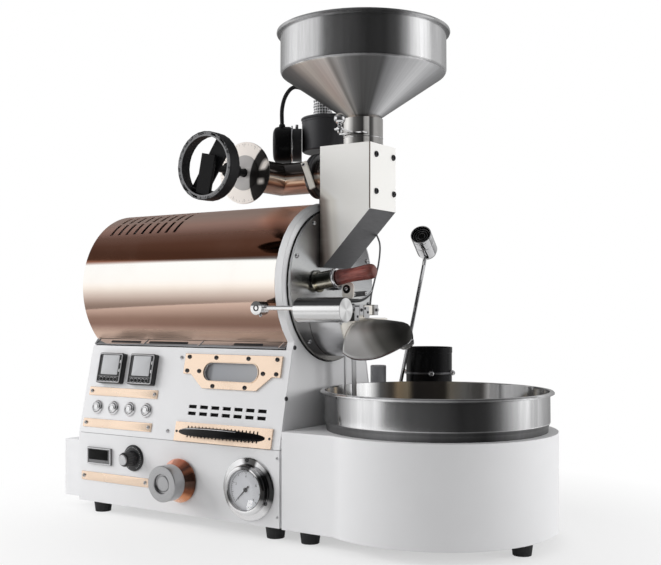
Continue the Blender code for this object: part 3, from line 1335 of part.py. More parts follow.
def hood(start):
    """A tapering arched hood; across runs over its arch and along from door to nose."""
    rows = []
    for along, width, high, low in HOOD_SHARES:
        half = HOOD_HALF_WIDTH * width
        ridge = HOOD_RIDGE - HOOD_DEPTH * high
        row = []
        for j in range(HOOD_ARCH_STEPS + 1):
            turn = math.pi * j / HOOD_ARCH_STEPS
            lift = HOOD_FAR_LIFT * (1 - along) * j / HOOD_ARCH_STEPS
            rim = HOOD_RIDGE - HOOD_DEPTH * low + lift
            row.append((start + HOOD_LENGTH * along, -half * math.cos(turn),
                        rim + (ridge - rim) * math.sin(turn)))
        rows.append(row)
    bm = bmesh.new()
    grid = [[bm.verts.new(point) for point in row] for row in rows]
    for low, high in zip(grid, grid[1:]):
        for a, b, c, d in zip(low, low[1:], high[1:], high):
            bm.faces.new((a, b, c, d))
    tip = grid[-1]
    for j in range(1, HOOD_ARCH_STEPS // 2 + 1):
        other = HOOD_ARCH_STEPS - j
        if other - j <= 1:
            if other > j:
                bm.faces.new((tip[j - 1], tip[j], tip[other], tip[other + 1]))
            else:
                bm.faces.new((tip[j - 1], tip[j], tip[j + 1]))
            break
        bm.faces.new((tip[j - 1], tip[j], tip[other], tip[other + 1]))
    bmesh.ops.recalc_face_normals(bm, faces=bm.faces)
    mesh = bpy.data.meshes.new("bean_hood")
    bm.to_mesh(mesh)
    bm.free()
    smooth(mesh)
    cover = place("bean_hood", mesh, "steel", Matrix())
    shell = cover.modifiers.new("wall", "SOLIDIFY")
    shell.thickness = HOOD_WALL
    shell.offset = -1
    return cover


def mitred_pipe(name, points, outer, inner, kind=None):
    """A pipe along straight runs with mitred corners; each ring lies in its corner's plane."""
    rings = []
    for i, point in enumerate(points):
        before = (point - points[i - 1]).normalized() if i else (points[1] - point).normalized()
        after = (points[i + 1] - point).normalized() if i + 1 < len(points) else before
        normal = (before + after).normalized()
        side = Z_AXIS.cross(before)
        ring = []
        for k in range(ROUND_SIDES):
            turn = math.tau * k / ROUND_SIDES
            ray = side * math.cos(turn) + Z_AXIS * math.sin(turn)
            ring.append([point + radius * (ray - before * (ray.dot(normal) / before.dot(normal)))
                         for radius in (outer, inner)])
        rings.append(ring)
    bm = bmesh.new()
    verts = [[[bm.verts.new(co) for co in pair] for pair in ring] for ring in rings]
    for k in range(ROUND_SIDES):
        n = (k + 1) % ROUND_SIDES
        for low, high in zip(verts, verts[1:]):
            bm.faces.new((low[k][0], low[n][0], high[n][0], high[k][0]))
            bm.faces.new((low[n][1], low[k][1], high[k][1], high[n][1]))
        for ring in (verts[0], verts[-1]):
            bm.faces.new((ring[k][0], ring[n][0], ring[n][1], ring[k][1]))
    bmesh.ops.recalc_face_normals(bm, faces=bm.faces)
    mesh = bpy.data.meshes.new(name)
    bm.to_mesh(mesh)
    bm.free()
    smooth(mesh)
    return place(name, mesh, kind, Matrix())


def damper():
    """The mirror pipe into the chute, its dial disc, and the hand wheel on its spindle."""
    corner = Vector((PIPE_X, 0, PIPE_HEIGHT))
    mouth = Vector((BOX_LEFT - GAP, 0, PIPE_HEIGHT))
    end = corner + Y_AXIS * DISC_Y
    pipe = mitred_pipe("exhaust_pipe", [end, corner, mouth], PIPE_RADIUS, PIPE_RADIUS - PIPE_WALL, "chrome")
    line = Vector((0, 0, PIPE_HEIGHT))
    inner = PIPE_RADIUS - PIPE_WALL / 2
    flange = turned("pipe_flange", [
        (PIPE_FLANGE_RADIUS, PIPE_FLANGE_RIGHT), (PIPE_FLANGE_RADIUS, PIPE_FLANGE_LEFT),
        (inner, PIPE_FLANGE_LEFT), (inner, PIPE_FLANGE_RIGHT),
    ], line, X_AXIS, ring=True)
    wheel_line = Vector((PIPE_X, 0, PIPE_HEIGHT))
    disc_front = -DISC_Y + DISC_THICKNESS / 2
    disc_back = -DISC_Y - DISC_THICKNESS / 2
    hole = SPINDLE_RADIUS + GAP
    disc = turned("dial_disc", [
        (DISC_RADIUS, disc_front), (DISC_RADIUS, disc_back), (hole, disc_back), (hole, disc_front),
    ], wheel_line, -Y_AXIS, ring=True)
    join(pipe, disc, flange)
    for i in range(DAMPER_HOLES):
        turn = math.tau * i / DAMPER_HOLES
        at = end + Vector((math.cos(turn), 0, math.sin(turn))) * DAMPER_HOLE_REACH
        hole_start, hole_end = at - Y_AXIS * OVERRUN, at + Y_AXIS * OVERRUN
        cut(pipe, rod(f"damper_hole_{i}", hole_start, hole_end, DAMPER_HOLE_RADIUS))
    web_back = WHEEL_WEB_INSET - WHEEL_BACK
    web_front = web_back + WHEEL_WEB
    hub_front = web_front + WHEEL_HUB
    blade_front = disc_back - DAMPER_BLADE_GAP
    blade_back = blade_front - BLADE_THICKNESS
    spindle = turned("spindle", [
        (0, hub_front), (WHEEL_HUB_RADIUS, hub_front), (WHEEL_HUB_RADIUS, -WHEEL_BACK),
        (SPINDLE_RADIUS, -WHEEL_BACK), (SPINDLE_RADIUS, -HUB_FRONT), (HUB_RADIUS, -HUB_FRONT),
        (HUB_RADIUS, -HUB_BACK), (SPINDLE_RADIUS, -HUB_BACK), (SPINDLE_RADIUS, blade_front),
        (BLADE_RADIUS, blade_front), (BLADE_RADIUS, blade_back),
        (SPINDLE_RADIUS, blade_back), (SPINDLE_RADIUS, blade_back - BLADE_THICKNESS),
        (0, blade_back - BLADE_THICKNESS),
    ], wheel_line, -Y_AXIS, sides=SMALL_SIDES)
    rim = turned("damper_wheel", [
        (WHEEL_RADIUS, -WHEEL_FRONT), (WHEEL_RADIUS, -WHEEL_BACK),
        (WHEEL_RADIUS - WHEEL_RIM, -WHEEL_BACK), (WHEEL_RADIUS - WHEEL_RIM, -WHEEL_FRONT),
    ], wheel_line, -Y_AXIS, "black", ring=True)
    flat_to_wheel = plane(wheel_line, X_AXIS, Z_AXIS)
    web_turn = Matrix.Rotation(math.radians(WHEEL_WEB_ANGLE), 4, "Z")
    reach = WHEEL_RADIUS - WHEEL_RIM / 2
    chord = math.sqrt(reach ** 2 - WHEEL_WEB_HALF_WIDTH ** 2)
    web = box("wheel_web", (-chord, -WHEEL_WEB_HALF_WIDTH, web_back),
              (chord, WHEEL_WEB_HALF_WIDTH, web_front), matrix=flat_to_wheel @ web_turn)
    join(rim, web, spindle)
    grip_turn = Matrix.Rotation(math.radians(GRIP_ANGLE), 4, "Z")
    back = hub_front + GRIP_LIFT
    matrix = flat_to_wheel @ grip_turn
    grip = box("wheel_handle", (GRIP_START, -GRIP_WIDTH / 2, back),
               (GRIP_START + GRIP_LENGTH, GRIP_WIDTH / 2, back + GRIP_THICKNESS), "black", matrix)
    pin_x = GRIP_START + GRIP_THICKNESS
    room = WHEEL_RADIUS - WHEEL_RIM - GAP
    half_pin = math.sqrt(room ** 2 - (abs(pin_x) + GRIP_THICKNESS / 2) ** 2)
    level = back + GRIP_THICKNESS / 2
    pin_start = matrix @ Vector((pin_x, -half_pin, level))
    pin_end = matrix @ Vector((pin_x, half_pin, level))
    pin = rod("grip_pin", pin_start, pin_end, GRIP_PIN_RADIUS, sides=TINY_SIDES)
    join(grip, pin)
    carry(pivot("damper_axis", wheel_line + Y_AXIS * WHEEL_BACK), rim)
    carry(pivot("grip_axis", matrix @ Vector((pin_x, 0, level))), grip)


def fan():
    """The exhaust fan's round housing on its stack, its motor at the side and its cable."""
    base = Vector((FAN_X, FAN_Y, 0))
    near = FAN_Y - STACK_RADIUS
    stack_foot = DRUM_HEIGHT + math.sqrt(CASING_RADIUS ** 2 - near ** 2) + GAP
    wall = FAN_WALL
    housing = turned("fan_housing", [
        (STACK_RADIUS - wall, FAN_TOP), (FAN_LIP_RADIUS, FAN_TOP), (FAN_LIP_RADIUS, FAN_TOP - FAN_LIP),
        (FAN_RADIUS, FAN_TOP - FAN_LIP), (FAN_RADIUS, FAN_BOTTOM), (STACK_RADIUS, FAN_BOTTOM),
        (STACK_RADIUS, stack_foot), (STACK_RADIUS - wall, stack_foot),
        (STACK_RADIUS - wall, FAN_BOTTOM + wall), (FAN_RADIUS - wall, FAN_BOTTOM + wall),
        (FAN_RADIUS - wall, FAN_TOP - wall), (STACK_RADIUS - wall, FAN_TOP - wall),
    ], base, Z_AXIS, "black", ring=True)
    stub_at = base + Vector((-STUB_OFFSET, 0, 0))
    stub = turned("braided_stub", [
        (STUB_RADIUS, STUB_TOP), (STUB_RADIUS, FAN_TOP - wall / 2), (STUB_BORE, FAN_TOP - wall / 2),
        (STUB_BORE, STUB_TOP),
    ], stub_at, Z_AXIS, sides=SMALL_SIDES, ring=True)
    join(housing, stub)
    turn = math.radians(FAN_MOTOR_ANGLE)
    out = Vector((math.cos(turn), math.sin(turn), 0))
    start = base + Z_AXIS * FAN_MOTOR_HEIGHT + out * (FAN_RADIUS + GAP)
    neck = FAN_MOTOR_NECK
    plate = neck + FAN_PLATE
    end = plate + FAN_MOTOR_LENGTH
    turned("fan_motor", [
        (0, end), (FAN_MOTOR_RADIUS - FAN_MOTOR_ROUND, end), (FAN_MOTOR_RADIUS, end - FAN_MOTOR_ROUND),
        (FAN_MOTOR_RADIUS, plate), (FAN_PLATE_RADIUS, plate), (FAN_PLATE_RADIUS, neck),
        (FAN_NECK_RADIUS, neck), (FAN_NECK_RADIUS, 0), (0, 0),
    ], start, out, "black")
    motor_mid = start + out * (plate + FAN_MOTOR_LENGTH / 2)
    cable_foot = motor_mid + Z_AXIS * (FAN_MOTOR_RADIUS + GAP)
    cable_end = stub_at + Vector((0, 0, STUB_TOP + GAP))
    span = cable_end - cable_foot
    route = [cable_foot]
    for along, up in CABLE_SHARES:
        route.append(cable_foot + Vector((span.x * along, span.y * along, CABLE_RISE * up)))
    route.append(cable_end)
    tube("fan_cable", flowing(route, CABLE_STEPS), CABLE_RADIUS, "rubber")


def base_outline():
    """The cooling base from above: straight walls by the cabinet and a round front."""
    drop = BASE_FRONT + BASE_Y
    first = math.degrees(math.atan2(-drop, -math.sqrt(BASE_RADIUS ** 2 - drop ** 2)))
    reach = BASE_REAR_RIGHT - BASE_X
    last = math.degrees(math.acos(reach / BASE_RADIUS))
    round_wall = arc(BASE_RADIUS, first, last, BIG_SIDES, (BASE_X, BASE_Y))
    return round_wall + [
        (BASE_REAR_RIGHT, BASE_REAR), (BASE_TAIL_LEFT, BASE_REAR), (BASE_TAIL_LEFT, BASE_FRONT),
        (BASE_LEFT, BASE_FRONT), (BASE_LEFT, -BASE_FRONT),
    ]


def cooling():
    """The cooling base with its tray, screen, stirrer, motor, duct and rear post."""
    middle = (CABINET_BOTTOM + BASE_TOP) / 2
    body = as_mesh(flat("cooling_base", [base_outline()], BASE_TOP - CABINET_BOTTOM,
                        Matrix.Translation((0, 0, middle)), "white"))
    hollow = as_mesh(flat("base_hollow", [inset(base_outline(), BASE_WALL)],
                          BASE_TOP - CABINET_BOTTOM - 2 * BASE_WALL, Matrix.Translation((0, 0, middle))))
    centre = Vector((BASE_X, BASE_Y, 0))
    hole = rod("tray_hole", centre + Z_AXIS * (BASE_TOP - BASE_WALL - OVERRUN),
               centre + Z_AXIS * (BASE_TOP + OVERRUN), TRAY_NECK_RADIUS + GAP, sides=BIG_SIDES)
    duct_at = Vector((DUCT_X, DUCT_Y, 0))
    air = rod("air_hole", duct_at + Z_AXIS * (BASE_TOP - BASE_WALL - OVERRUN),
              duct_at + Z_AXIS * (BASE_TOP + OVERRUN), DUCT_RADIUS - DUCT_WALL, sides=ROUND_SIDES)
    cut(body, hollow, hole, air)
    can = rod("rear_post", (CAN_X, CAN_Y, BASE_TOP - BASE_WALL / 2), (CAN_X, CAN_Y, CAN_TOP), CAN_RADIUS)
    join(body, can)
    for i, (y, z) in enumerate(BOSS_PLACES):
        join(body, rod(f"spacer_boss_{i}", (GAP, y, z), (BASE_LEFT + BASE_WALL / 2, y, z), BOSS_RADIUS))
    wall = TRAY_WALL
    neck = TRAY_NECK_RADIUS
    ledge = TRAY_BOTTOM + wall
    turned("cooling_tray", [
        (TRAY_RIM_RADIUS, TRAY_TOP), (TRAY_RIM_RADIUS, TRAY_TOP - TRAY_RIM),
        (TRAY_RADIUS, TRAY_TOP - TRAY_RIM), (TRAY_RADIUS, TAPER_TOP), (neck + wall, BASE_TOP + GAP),
        (neck, BASE_TOP + GAP), (neck, TRAY_BOTTOM), (neck - wall - TRAY_LEDGE, TRAY_BOTTOM),
        (neck - wall - TRAY_LEDGE, ledge), (neck - wall, ledge), (neck - wall, BASE_TOP + wall),
        (TRAY_RADIUS - wall, TAPER_TOP + wall / 2), (TRAY_RADIUS - wall, TRAY_TOP),
    ], centre, Z_AXIS, "steel", BIG_SIDES, ring=True)
    low = ledge + GAP
    high = low + SCREEN_THICKNESS
    screen = turned("tray_screen", [
        (neck - wall - GAP, high), (neck - wall - GAP, low), (SCREEN_BORE, low), (SCREEN_BORE, high),
    ], centre, Z_AXIS, "steel", BIG_SIDES, ring=True)
    slots = []
    for i in range(SCREEN_SLOTS):
        turn = math.tau * i / SCREEN_SLOTS
        cut_box = box(
            f"screen_slot_{i}",
            (SCREEN_SLOT_START, -SCREEN_SLOT_WIDTH / 2, low - OVERRUN),
            (SCREEN_SLOT_START + SCREEN_SLOT_LENGTH, SCREEN_SLOT_WIDTH / 2, high + OVERRUN),
            matrix=Matrix.Translation(centre) @ Matrix.Rotation(turn, 4, "Z"),
        )
        slots.append(cut_box)
    cut(screen, *slots)
    floor = CABINET_BOTTOM + BASE_WALL + GAP
    motor_top = TRAY_BOTTOM - STIR_MOTOR_GAP
    turned("stir_motor", [
        (0, motor_top), (STIR_MOTOR_RADIUS, motor_top), (STIR_MOTOR_RADIUS, floor), (0, floor),
    ], centre, Z_AXIS, "black")
    hub_low = high + STIR_LIFT
    hub_high = hub_low + STIR_HUB_HEIGHT
    hub = turned("stirrer", [
        (0, hub_high), (STIR_HUB_RADIUS, hub_high), (STIR_HUB_RADIUS, hub_low),
        (STIR_SHAFT_RADIUS, hub_low), (STIR_SHAFT_RADIUS, motor_top + GAP), (0, motor_top + GAP),
    ], centre, Z_AXIS, "steel", SMALL_SIDES)
    arm_low = hub_low + STIR_HUB_HEIGHT / 3
    for i in range(STIR_ARMS):
        angle = math.tau * (i + STIR_TURN_SHARE) / STIR_ARMS
        turn = Matrix.Translation(centre) @ Matrix.Rotation(angle, 4, "Z")
        arm = box(f"stir_arm_{i}", (STIR_HUB_RADIUS * STIR_ROOT_SHARE, -STIR_ARM_WIDTH / 2, arm_low),
                  (STIR_REACH, STIR_ARM_WIDTH / 2, arm_low + STIR_ARM_HEIGHT), matrix=turn)
        start = STIR_REACH - STIR_BLADE_LENGTH * (i + 1) / STIR_ARMS
        blade = box(f"stir_blade_{i}", (start, -STIR_BLADE / 2, hub_low + STIR_BLADE_RISE),
                    (STIR_REACH - STIR_ARM_WIDTH / 2, STIR_BLADE / 2, arm_low + STIR_ARM_HEIGHT / 2),
                    matrix=turn)
        join(hub, arm, blade)
    carry(pivot("stir_axis", centre + Z_AXIS * hub_low), hub)
    band_high = DUCT_BAND_LEVEL + DUCT_BAND_HEIGHT
    turned("cooling_duct", [
        (DUCT_RADIUS, DUCT_TOP), (DUCT_RADIUS, band_high), (DUCT_RADIUS + DUCT_BAND, band_high),
        (DUCT_RADIUS + DUCT_BAND, DUCT_BAND_LEVEL), (DUCT_RADIUS, DUCT_BAND_LEVEL),
        (DUCT_RADIUS, BASE_TOP + GAP), (DUCT_RADIUS - DUCT_WALL, BASE_TOP + GAP),
        (DUCT_RADIUS - DUCT_WALL, DUCT_TOP),
    ], duct_at, Z_AXIS, "black", ring=True)


def feet():
    for name, x, y in FEET:
        turned(name, [
            (0, CABINET_BOTTOM - GAP), (FOOT_RADIUS, CABINET_BOTTOM - GAP), (FOOT_TOE_RADIUS, 0), (0, 0),
        ], (x, y, 0), Z_AXIS, "rubber", SMALL_SIDES)


def lamp():
    """The work lamp: a leaning rod on a turning foot, its tilting head and the tail's switch."""
    tail = LAMP_FACE - LAMP_DIRECTION * LAMP_HEAD_LENGTH
    joint = tail + LAMP_DIRECTION * LAMP_JOINT
    down = (LAMP_DIRECTION * LAMP_DIRECTION.z - Z_AXIS).normalized()
    seat = joint + down * (LAMP_HEAD_RADIUS + GAP + LAMP_BALL_RADIUS)
    foot = Vector((LAMP_X, LAMP_Y, BASE_TOP + GAP))
    bend = seat + down * LAMP_BEND
    rise = foot + Z_AXIS * LAMP_FOOT
    stand = rod("lamp_rod", foot, rise, LAMP_FOOT_RADIUS, "chrome")
    stem = as_mesh(tube("lamp_stem", [rise - Z_AXIS * OVERRUN, bend, seat], LAMP_ROD_RADIUS))
    join(stand, stem, ball("lamp_ball", seat, LAMP_BALL_RADIUS, sides=TINY_SIDES))
    cup = LAMP_HEAD_LENGTH - LAMP_CUP
    lip = LAMP_HEAD_RADIUS - LAMP_HEAD_WALL
    head = turned("lamp_head", [
        (0, cup), (lip, cup), (lip, LAMP_HEAD_LENGTH), (LAMP_HEAD_RADIUS, LAMP_HEAD_LENGTH),
        (LAMP_HEAD_RADIUS, 0), (LAMP_SWITCH_RADIUS + GAP, 0), (LAMP_SWITCH_RADIUS + GAP, LAMP_SWITCH),
        (0, LAMP_SWITCH),
    ], tail, LAMP_DIRECTION, "chrome", SMALL_SIDES)
    switch = turned("lamp_switch", [
        (0, LAMP_SWITCH - LAMP_SWITCH_TRAVEL - GAP),
        (LAMP_SWITCH_RADIUS, LAMP_SWITCH - LAMP_SWITCH_TRAVEL - GAP),
        (LAMP_SWITCH_RADIUS, -LAMP_SWITCH_PROUD), (0, -LAMP_SWITCH_PROUD),
    ], tail, LAMP_DIRECTION, "red", TINY_SIDES)
    carry(pivot("lamp_swivel_axis", foot), stand)
    carry(pivot("lamp_tilt_axis", seat), head)
    carry(pivot("lamp_switch_slide", tail), switch)


def lead():
    tube("temperature_lead", flowing(list(LEAD_ROUTE), LEAD_STEPS), LEAD_RADIUS, "rubber", 1)


def build():
    cabinet()
    end_plates()
    front_panel()
    casing()
    face_plate()
    drum()
    drive()
    burner()
    gas_valve()
    drawer()
    window()
    instruments()
    buttons()
    controls()
    chute_and_hopper()
    trier()
    discharge()
    damper()
    fan()
    cooling()
    feet()
    lamp()
    lead()


build()
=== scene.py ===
"""Finishes and fine pieces of a home coffee bean roaster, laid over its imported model.

Shapes are in millimetres, +Z up, in the roaster's own frame: X = 0 is the front face of the
drum's end plate, -Y is the operator's side and Z = 0 is the table. Laying a piece adds ORIGIN,
which brings that frame into the model's, and gives metres. Only the stage is in metres.
"""

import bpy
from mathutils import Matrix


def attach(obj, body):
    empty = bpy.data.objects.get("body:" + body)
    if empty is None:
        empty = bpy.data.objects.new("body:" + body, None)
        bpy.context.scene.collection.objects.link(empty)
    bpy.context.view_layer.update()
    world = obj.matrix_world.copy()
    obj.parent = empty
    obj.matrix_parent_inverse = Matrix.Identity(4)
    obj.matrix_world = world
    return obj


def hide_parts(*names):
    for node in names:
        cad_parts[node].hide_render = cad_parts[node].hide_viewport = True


bl_info = {
    "name": "Coffee roaster finishes",
    "version": (1, 0, 0),
    "blender": (4, 5, 0),
    "location": "3D View > Sidebar > Roaster",
    "description": "Builds the finishes and fine pieces of a home coffee roaster over its model",
    "category": "Object",
}

import math

import bmesh
import bpy
import numpy as np
from bpy.props import FloatProperty, FloatVectorProperty, PointerProperty
from mathutils import Matrix

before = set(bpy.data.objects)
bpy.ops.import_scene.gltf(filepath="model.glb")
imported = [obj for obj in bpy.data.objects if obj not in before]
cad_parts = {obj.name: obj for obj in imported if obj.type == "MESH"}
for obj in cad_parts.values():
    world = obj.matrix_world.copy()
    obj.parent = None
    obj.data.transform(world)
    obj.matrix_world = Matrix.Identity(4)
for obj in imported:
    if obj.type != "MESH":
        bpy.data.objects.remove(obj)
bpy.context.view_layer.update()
ORIGIN = np.array((52.5, -26.5, 0.0))
X, Y, Z = np.eye(3)

# The slanted operator's panel: the directions up it and off it, and its foot
PANEL_UP = np.array((0.0, 28, 126)) / math.hypot(28, 126)
PANEL_OFF = np.array((0.0, -PANEL_UP[2], PANEL_UP[1]))
PANEL_FOOT = np.array((0.0, -119, 115.3 + 1.5 * PANEL_UP[1]))
# Where the upright front lies, the axes of drum, lever and damper, and how far the face plate
# and the fronts of the panel's plates stand out
FRONT = -119
DRUM_AXIS = np.array((0.0, 0.0, 327))
LEVER_AXIS = (0.0, -125, 294)
DAMPER_AXIS = (-82, 0, 478)
GAS_KNOB = (-166, 62.4)
GAUGE = (-48.5, 61.8)
FACE = 5.3
PLATE = 2.3
SKIN = 0.3
TURN = 2 * math.pi


# Shapes
def unit(v):
    """A vector, or rows of them, divided by their lengths."""
    v = np.asarray(v, float)
    return v / np.maximum(np.linalg.norm(v, axis=-1, keepdims=True), 1e-12)


def plane(origin, across=X, up=Y):
    """A plane's origin with its directions across, up and out, as rows."""
    across, up = unit(across), unit(up)
    return np.asarray(origin, float), np.array((across, up, np.cross(across, up)))


def panel(x, v, off=0.0):
    """The slanted panel's plane, with its origin at x, v up the panel and off its face."""
    return plane(PANEL_FOOT + X * x + PANEL_UP * v + PANEL_OFF * off, X, PANEL_UP)


def front(x, z, off=0.0):
    """The plane of the cabinet's upright front, at x, z and off its face."""
    return plane((x, FRONT - off, z), X, Z)


def facing(point, direction):
    """A plane at a point whose out direction is the given one."""
    out = unit(direction)
    side = X if abs(out[0]) < 0.7 else Y
    up = unit(np.cross(out, side))
    return plane(point, np.cross(up, out), up)


def put(where, points):
    """Local points (across, up, out) carried into a plane."""
    origin, basis = where
    return origin + np.asarray(points, float) @ basis


def round_about(radius, angles):
    """Points of a circle at the angles, as (radius cos, radius sin)."""
    return np.stack((radius * np.cos(angles), radius * np.sin(angles)), -1)


def circle(sides):
    """Angles spread evenly round a full turn."""
    return np.linspace(0, TURN, sides, endpoint=False)


def rounded(profile, radius, steps=4):
    """A broken line whose inner corners become arcs: each is a quadratic curve between the
    points at the radius, or at 0.45 of the shorter side, before and after the corner."""
    p = np.asarray(profile, float)
    back, ahead = p[:-2] - p[1:-1], p[2:] - p[1:-1]
    short = np.minimum(np.linalg.norm(back, axis=1), np.linalg.norm(ahead, axis=1)) * 0.45
    reach = np.minimum(radius, short)[:, None]
    start, end = p[1:-1] + unit(back) * reach, p[1:-1] + unit(ahead) * reach
    t = np.linspace(0, 1, steps + 1)[None, :, None]
    bend = start[:, None] * (1 - t) ** 2 + 2 * p[1:-1, None] * t * (1 - t) + end[:, None] * t ** 2
    return np.vstack((p[:1], bend.reshape(-1, 2), p[-1:]))


def turned(profile, where, sides=64, flutes=0, depth=0.0):
    """A profile of (radius, height) turned about a plane's out direction: the point at angle u
    and station v is radius(v) (cos u, sin u), height(v). With flutes the radius loses
    depth times the square of sin(flutes u / 2) where the profile is at its widest."""
    p = np.asarray(profile, float)
    u = circle(sides)[:, None]
    r, h = p[None, :, 0], p[None, :, 1]
    if flutes:
        r = r - depth * np.sin(flutes * u / 2) ** 2 * (r > r.max() * 0.8)
    return put(where, np.stack((r * np.cos(u), r * np.sin(u), h + 0 * u), -1)), True, False


def lathe(profile, radius, steps, where, sides=64, flutes=0, depth=0.0):
    """A turned profile with its corners rounded."""
    return turned(rounded(profile, radius, steps), where, sides, flutes, depth)


def ring(profile, where, sides=64):
    """A closed profile turned about a plane's out direction."""
    return turned(profile, where, sides)[0], True, True


def hoop(profile, radius, steps, where, sides=64):
    """A ring whose section's corners are rounded, apart from its first."""
    return ring(rounded((*profile, profile[0]), radius, steps)[:-1], where, sides)


def bead(radius, thickness, where, sides=64, around=12):
    """A torus: a small circle of the thickness carried round the radius."""
    return ring(round_about(thickness, circle(around)) + (radius, 0), where, sides)


def curve(points, steps):
    """A smooth line through points: a Catmull-Rom cubic on each stretch."""
    p = np.asarray(points, float)
    p = np.vstack((2 * p[0] - p[1], p, 2 * p[-1] - p[-2]))
    t = np.linspace(0, 1, steps, endpoint=False)[None, :, None]
    a, b, c, d = (p[i:len(p) - 3 + i, None] for i in range(4))
    bend = (2 * a - 5 * b + 4 * c - d) * t ** 2 + (3 * b - a - 3 * c + d) * t ** 3
    line = (2 * b + (c - a) * t + bend) / 2
    return np.vstack((line.reshape(-1, 3), p[-2:-1]))


def swept(path, radius, sides=16):
    """A round tube: at each point of the path a circle lies across the path's direction. The
    circle's first direction is the last one less its part along the path."""
    path = np.asarray(path, float)
    along = unit(np.gradient(path, axis=0))
    side = np.zeros_like(path)
    last = np.cross(along[0], Z if abs(along[0][2]) < 0.9 else X)
    for i, d in enumerate(along):
        last = unit(last - d * (last @ d))
        side[i] = last
    up = np.cross(along, side)
    u = circle(sides)[:, None, None]
    r = np.broadcast_to(np.asarray(radius, float), len(path))[None, :, None]
    return capped(path + r * (side * np.cos(u) + up * np.sin(u)), path[0], path[-1])


def capped(grid, first, last):
    """A tube's grid whose ends close to a point each."""
    return np.concatenate((grid[:, :1] * 0 + first, grid, grid[:, :1] * 0 + last), 1), True, False


def soft_circle(radius, sides=48):
    """A circle's points and outward normals."""
    normal = round_about(1.0, circle(sides))
    return normal * radius, normal


def soft_rectangle(width, height, radius, steps=6):
    """A rectangle with round corners: corner arcs in turn. Gives points and outward normals."""
    quarter = np.radians(np.linspace(0, 90, steps + 1))
    normal = round_about(1.0, np.concatenate([quarter + k * math.pi / 2 for k in range(4)]))
    sign = np.repeat(np.array(((1, 1), (-1, 1), (-1, -1), (1, -1))), steps + 1, axis=0)
    return sign * (np.array((width, height)) / 2 - radius) + normal * radius, normal


def slab(outline, height, edge, where, low=0.0, steps=3):
    """A plate over an outline: it rises straight from low, rounds inward over a quarter circle
    of the edge's radius, and closes flat to its middle."""
    points, normal = outline
    a = np.linspace(0, math.pi / 2, steps + 1)
    inward = np.concatenate(((0.0,), edge * (1 - np.cos(a))))
    level = np.concatenate(((low,), low + height - edge + edge * np.sin(a)))
    rim = points[:, None] - normal[:, None] * inward[None, :, None]
    grid = np.dstack((rim, np.broadcast_to(level, rim.shape[:2])))
    middle = points.mean(0)
    whole, closed, _ = capped(grid, (*middle, low), (*middle, low + height))
    return put(where, whole), closed, False


def frame_ring(outline, width, height, edge, where):
    """A flat frame: the outline carries a closed section of the width, rounded at both edges."""
    points, normal = outline
    a = np.linspace(0, math.pi / 2, 4)
    outer = np.stack((edge * (1 - np.cos(a)), height - edge + edge * np.sin(a)), 1)
    section = np.vstack(((0, 0), outer, (width, 0) + outer[::-1] * (-1, 1), (width, 0)))
    rim = points[:, None] - normal[:, None] * section[None, :, :1]
    return put(where, np.dstack((rim, np.broadcast_to(section[:, 1], rim.shape[:2])))), True, True


def bar(start, end, width, height, up=Z, edge=0.4):
    """A straight bar of a soft rectangular section from start to end."""
    start, end = np.asarray(start, float), np.asarray(end, float)
    out = unit(end - start)
    side = unit(np.cross(up, out))
    section = soft_rectangle(width, height, edge, 3)[0] @ np.array((side, np.cross(out, side)))
    return np.stack((section * 0 + start, section + start, section + end, section * 0 + end), 1), True, False


def screws(places, radius=2.4, height=1.6, sides=18):
    """Button-head screws with a six-sided socket. Rings run from the foot over the dome, down
    the socket, whose radius is that of a hexagon at each angle, to its middle."""
    u = circle(sides)
    dome = np.linspace(0.15, 1.0, 5)
    radii = [np.full(sides, radius * s) for s in (1, 1, *np.cos(dome * math.pi / 3.2))]
    hexagon = radius * 0.46 / np.cos((u % (math.pi / 3)) - math.pi / 6)
    radii += [hexagon, hexagon, hexagon * 0]
    domed = height * (0.25 + 0.75 * np.sin(dome * math.pi / 2))
    levels = [-0.2, height * 0.25, *domed, height, height * 0.3, height * 0.3]
    r = np.array(radii).T
    local = np.dstack((r * np.cos(u)[:, None], r * np.sin(u)[:, None], np.broadcast_to(levels, r.shape)))
    return [(put(where, local), True, False) for where in places]


def lay_mesh(name, points, faces, finish, body="roaster", replaces=(), angle=35,
             coords=None, clean=True):
    """Makes a mesh of points in millimetres. A clean one loses loose and double points, has its
    faces pointed out, and shades smooth under the angle. The piece is set on its body."""
    mesh = bpy.data.meshes.new(name)
    mesh.from_pydata((points + ORIGIN) / 1000, [], faces)
    if coords is not None:
        layer = mesh.uv_layers.new(name="UVMap")
        layer.data.foreach_set("uv", coords.astype(np.float32).ravel())
    if clean:
        bm = bmesh.new()
        bm.from_mesh(mesh)
        bmesh.ops.delete(bm, geom=[v for v in bm.verts if not v.link_faces], context="VERTS")
        bmesh.ops.remove_doubles(bm, verts=bm.verts, dist=1e-6)
        bmesh.ops.dissolve_degenerate(bm, edges=bm.edges, dist=1e-7)
        bmesh.ops.recalc_face_normals(bm, faces=bm.faces)
        bm.to_mesh(mesh)
        bm.free()
        mesh.shade_smooth()
        mesh.set_sharp_from_angle(angle=math.radians(angle))
    mesh.materials.append(FINISH[finish])
    piece = bpy.data.objects.new(name, mesh)
    bpy.context.scene.collection.objects.link(piece)
    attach(piece, body)
    if replaces:
        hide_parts(*replaces)
    return piece


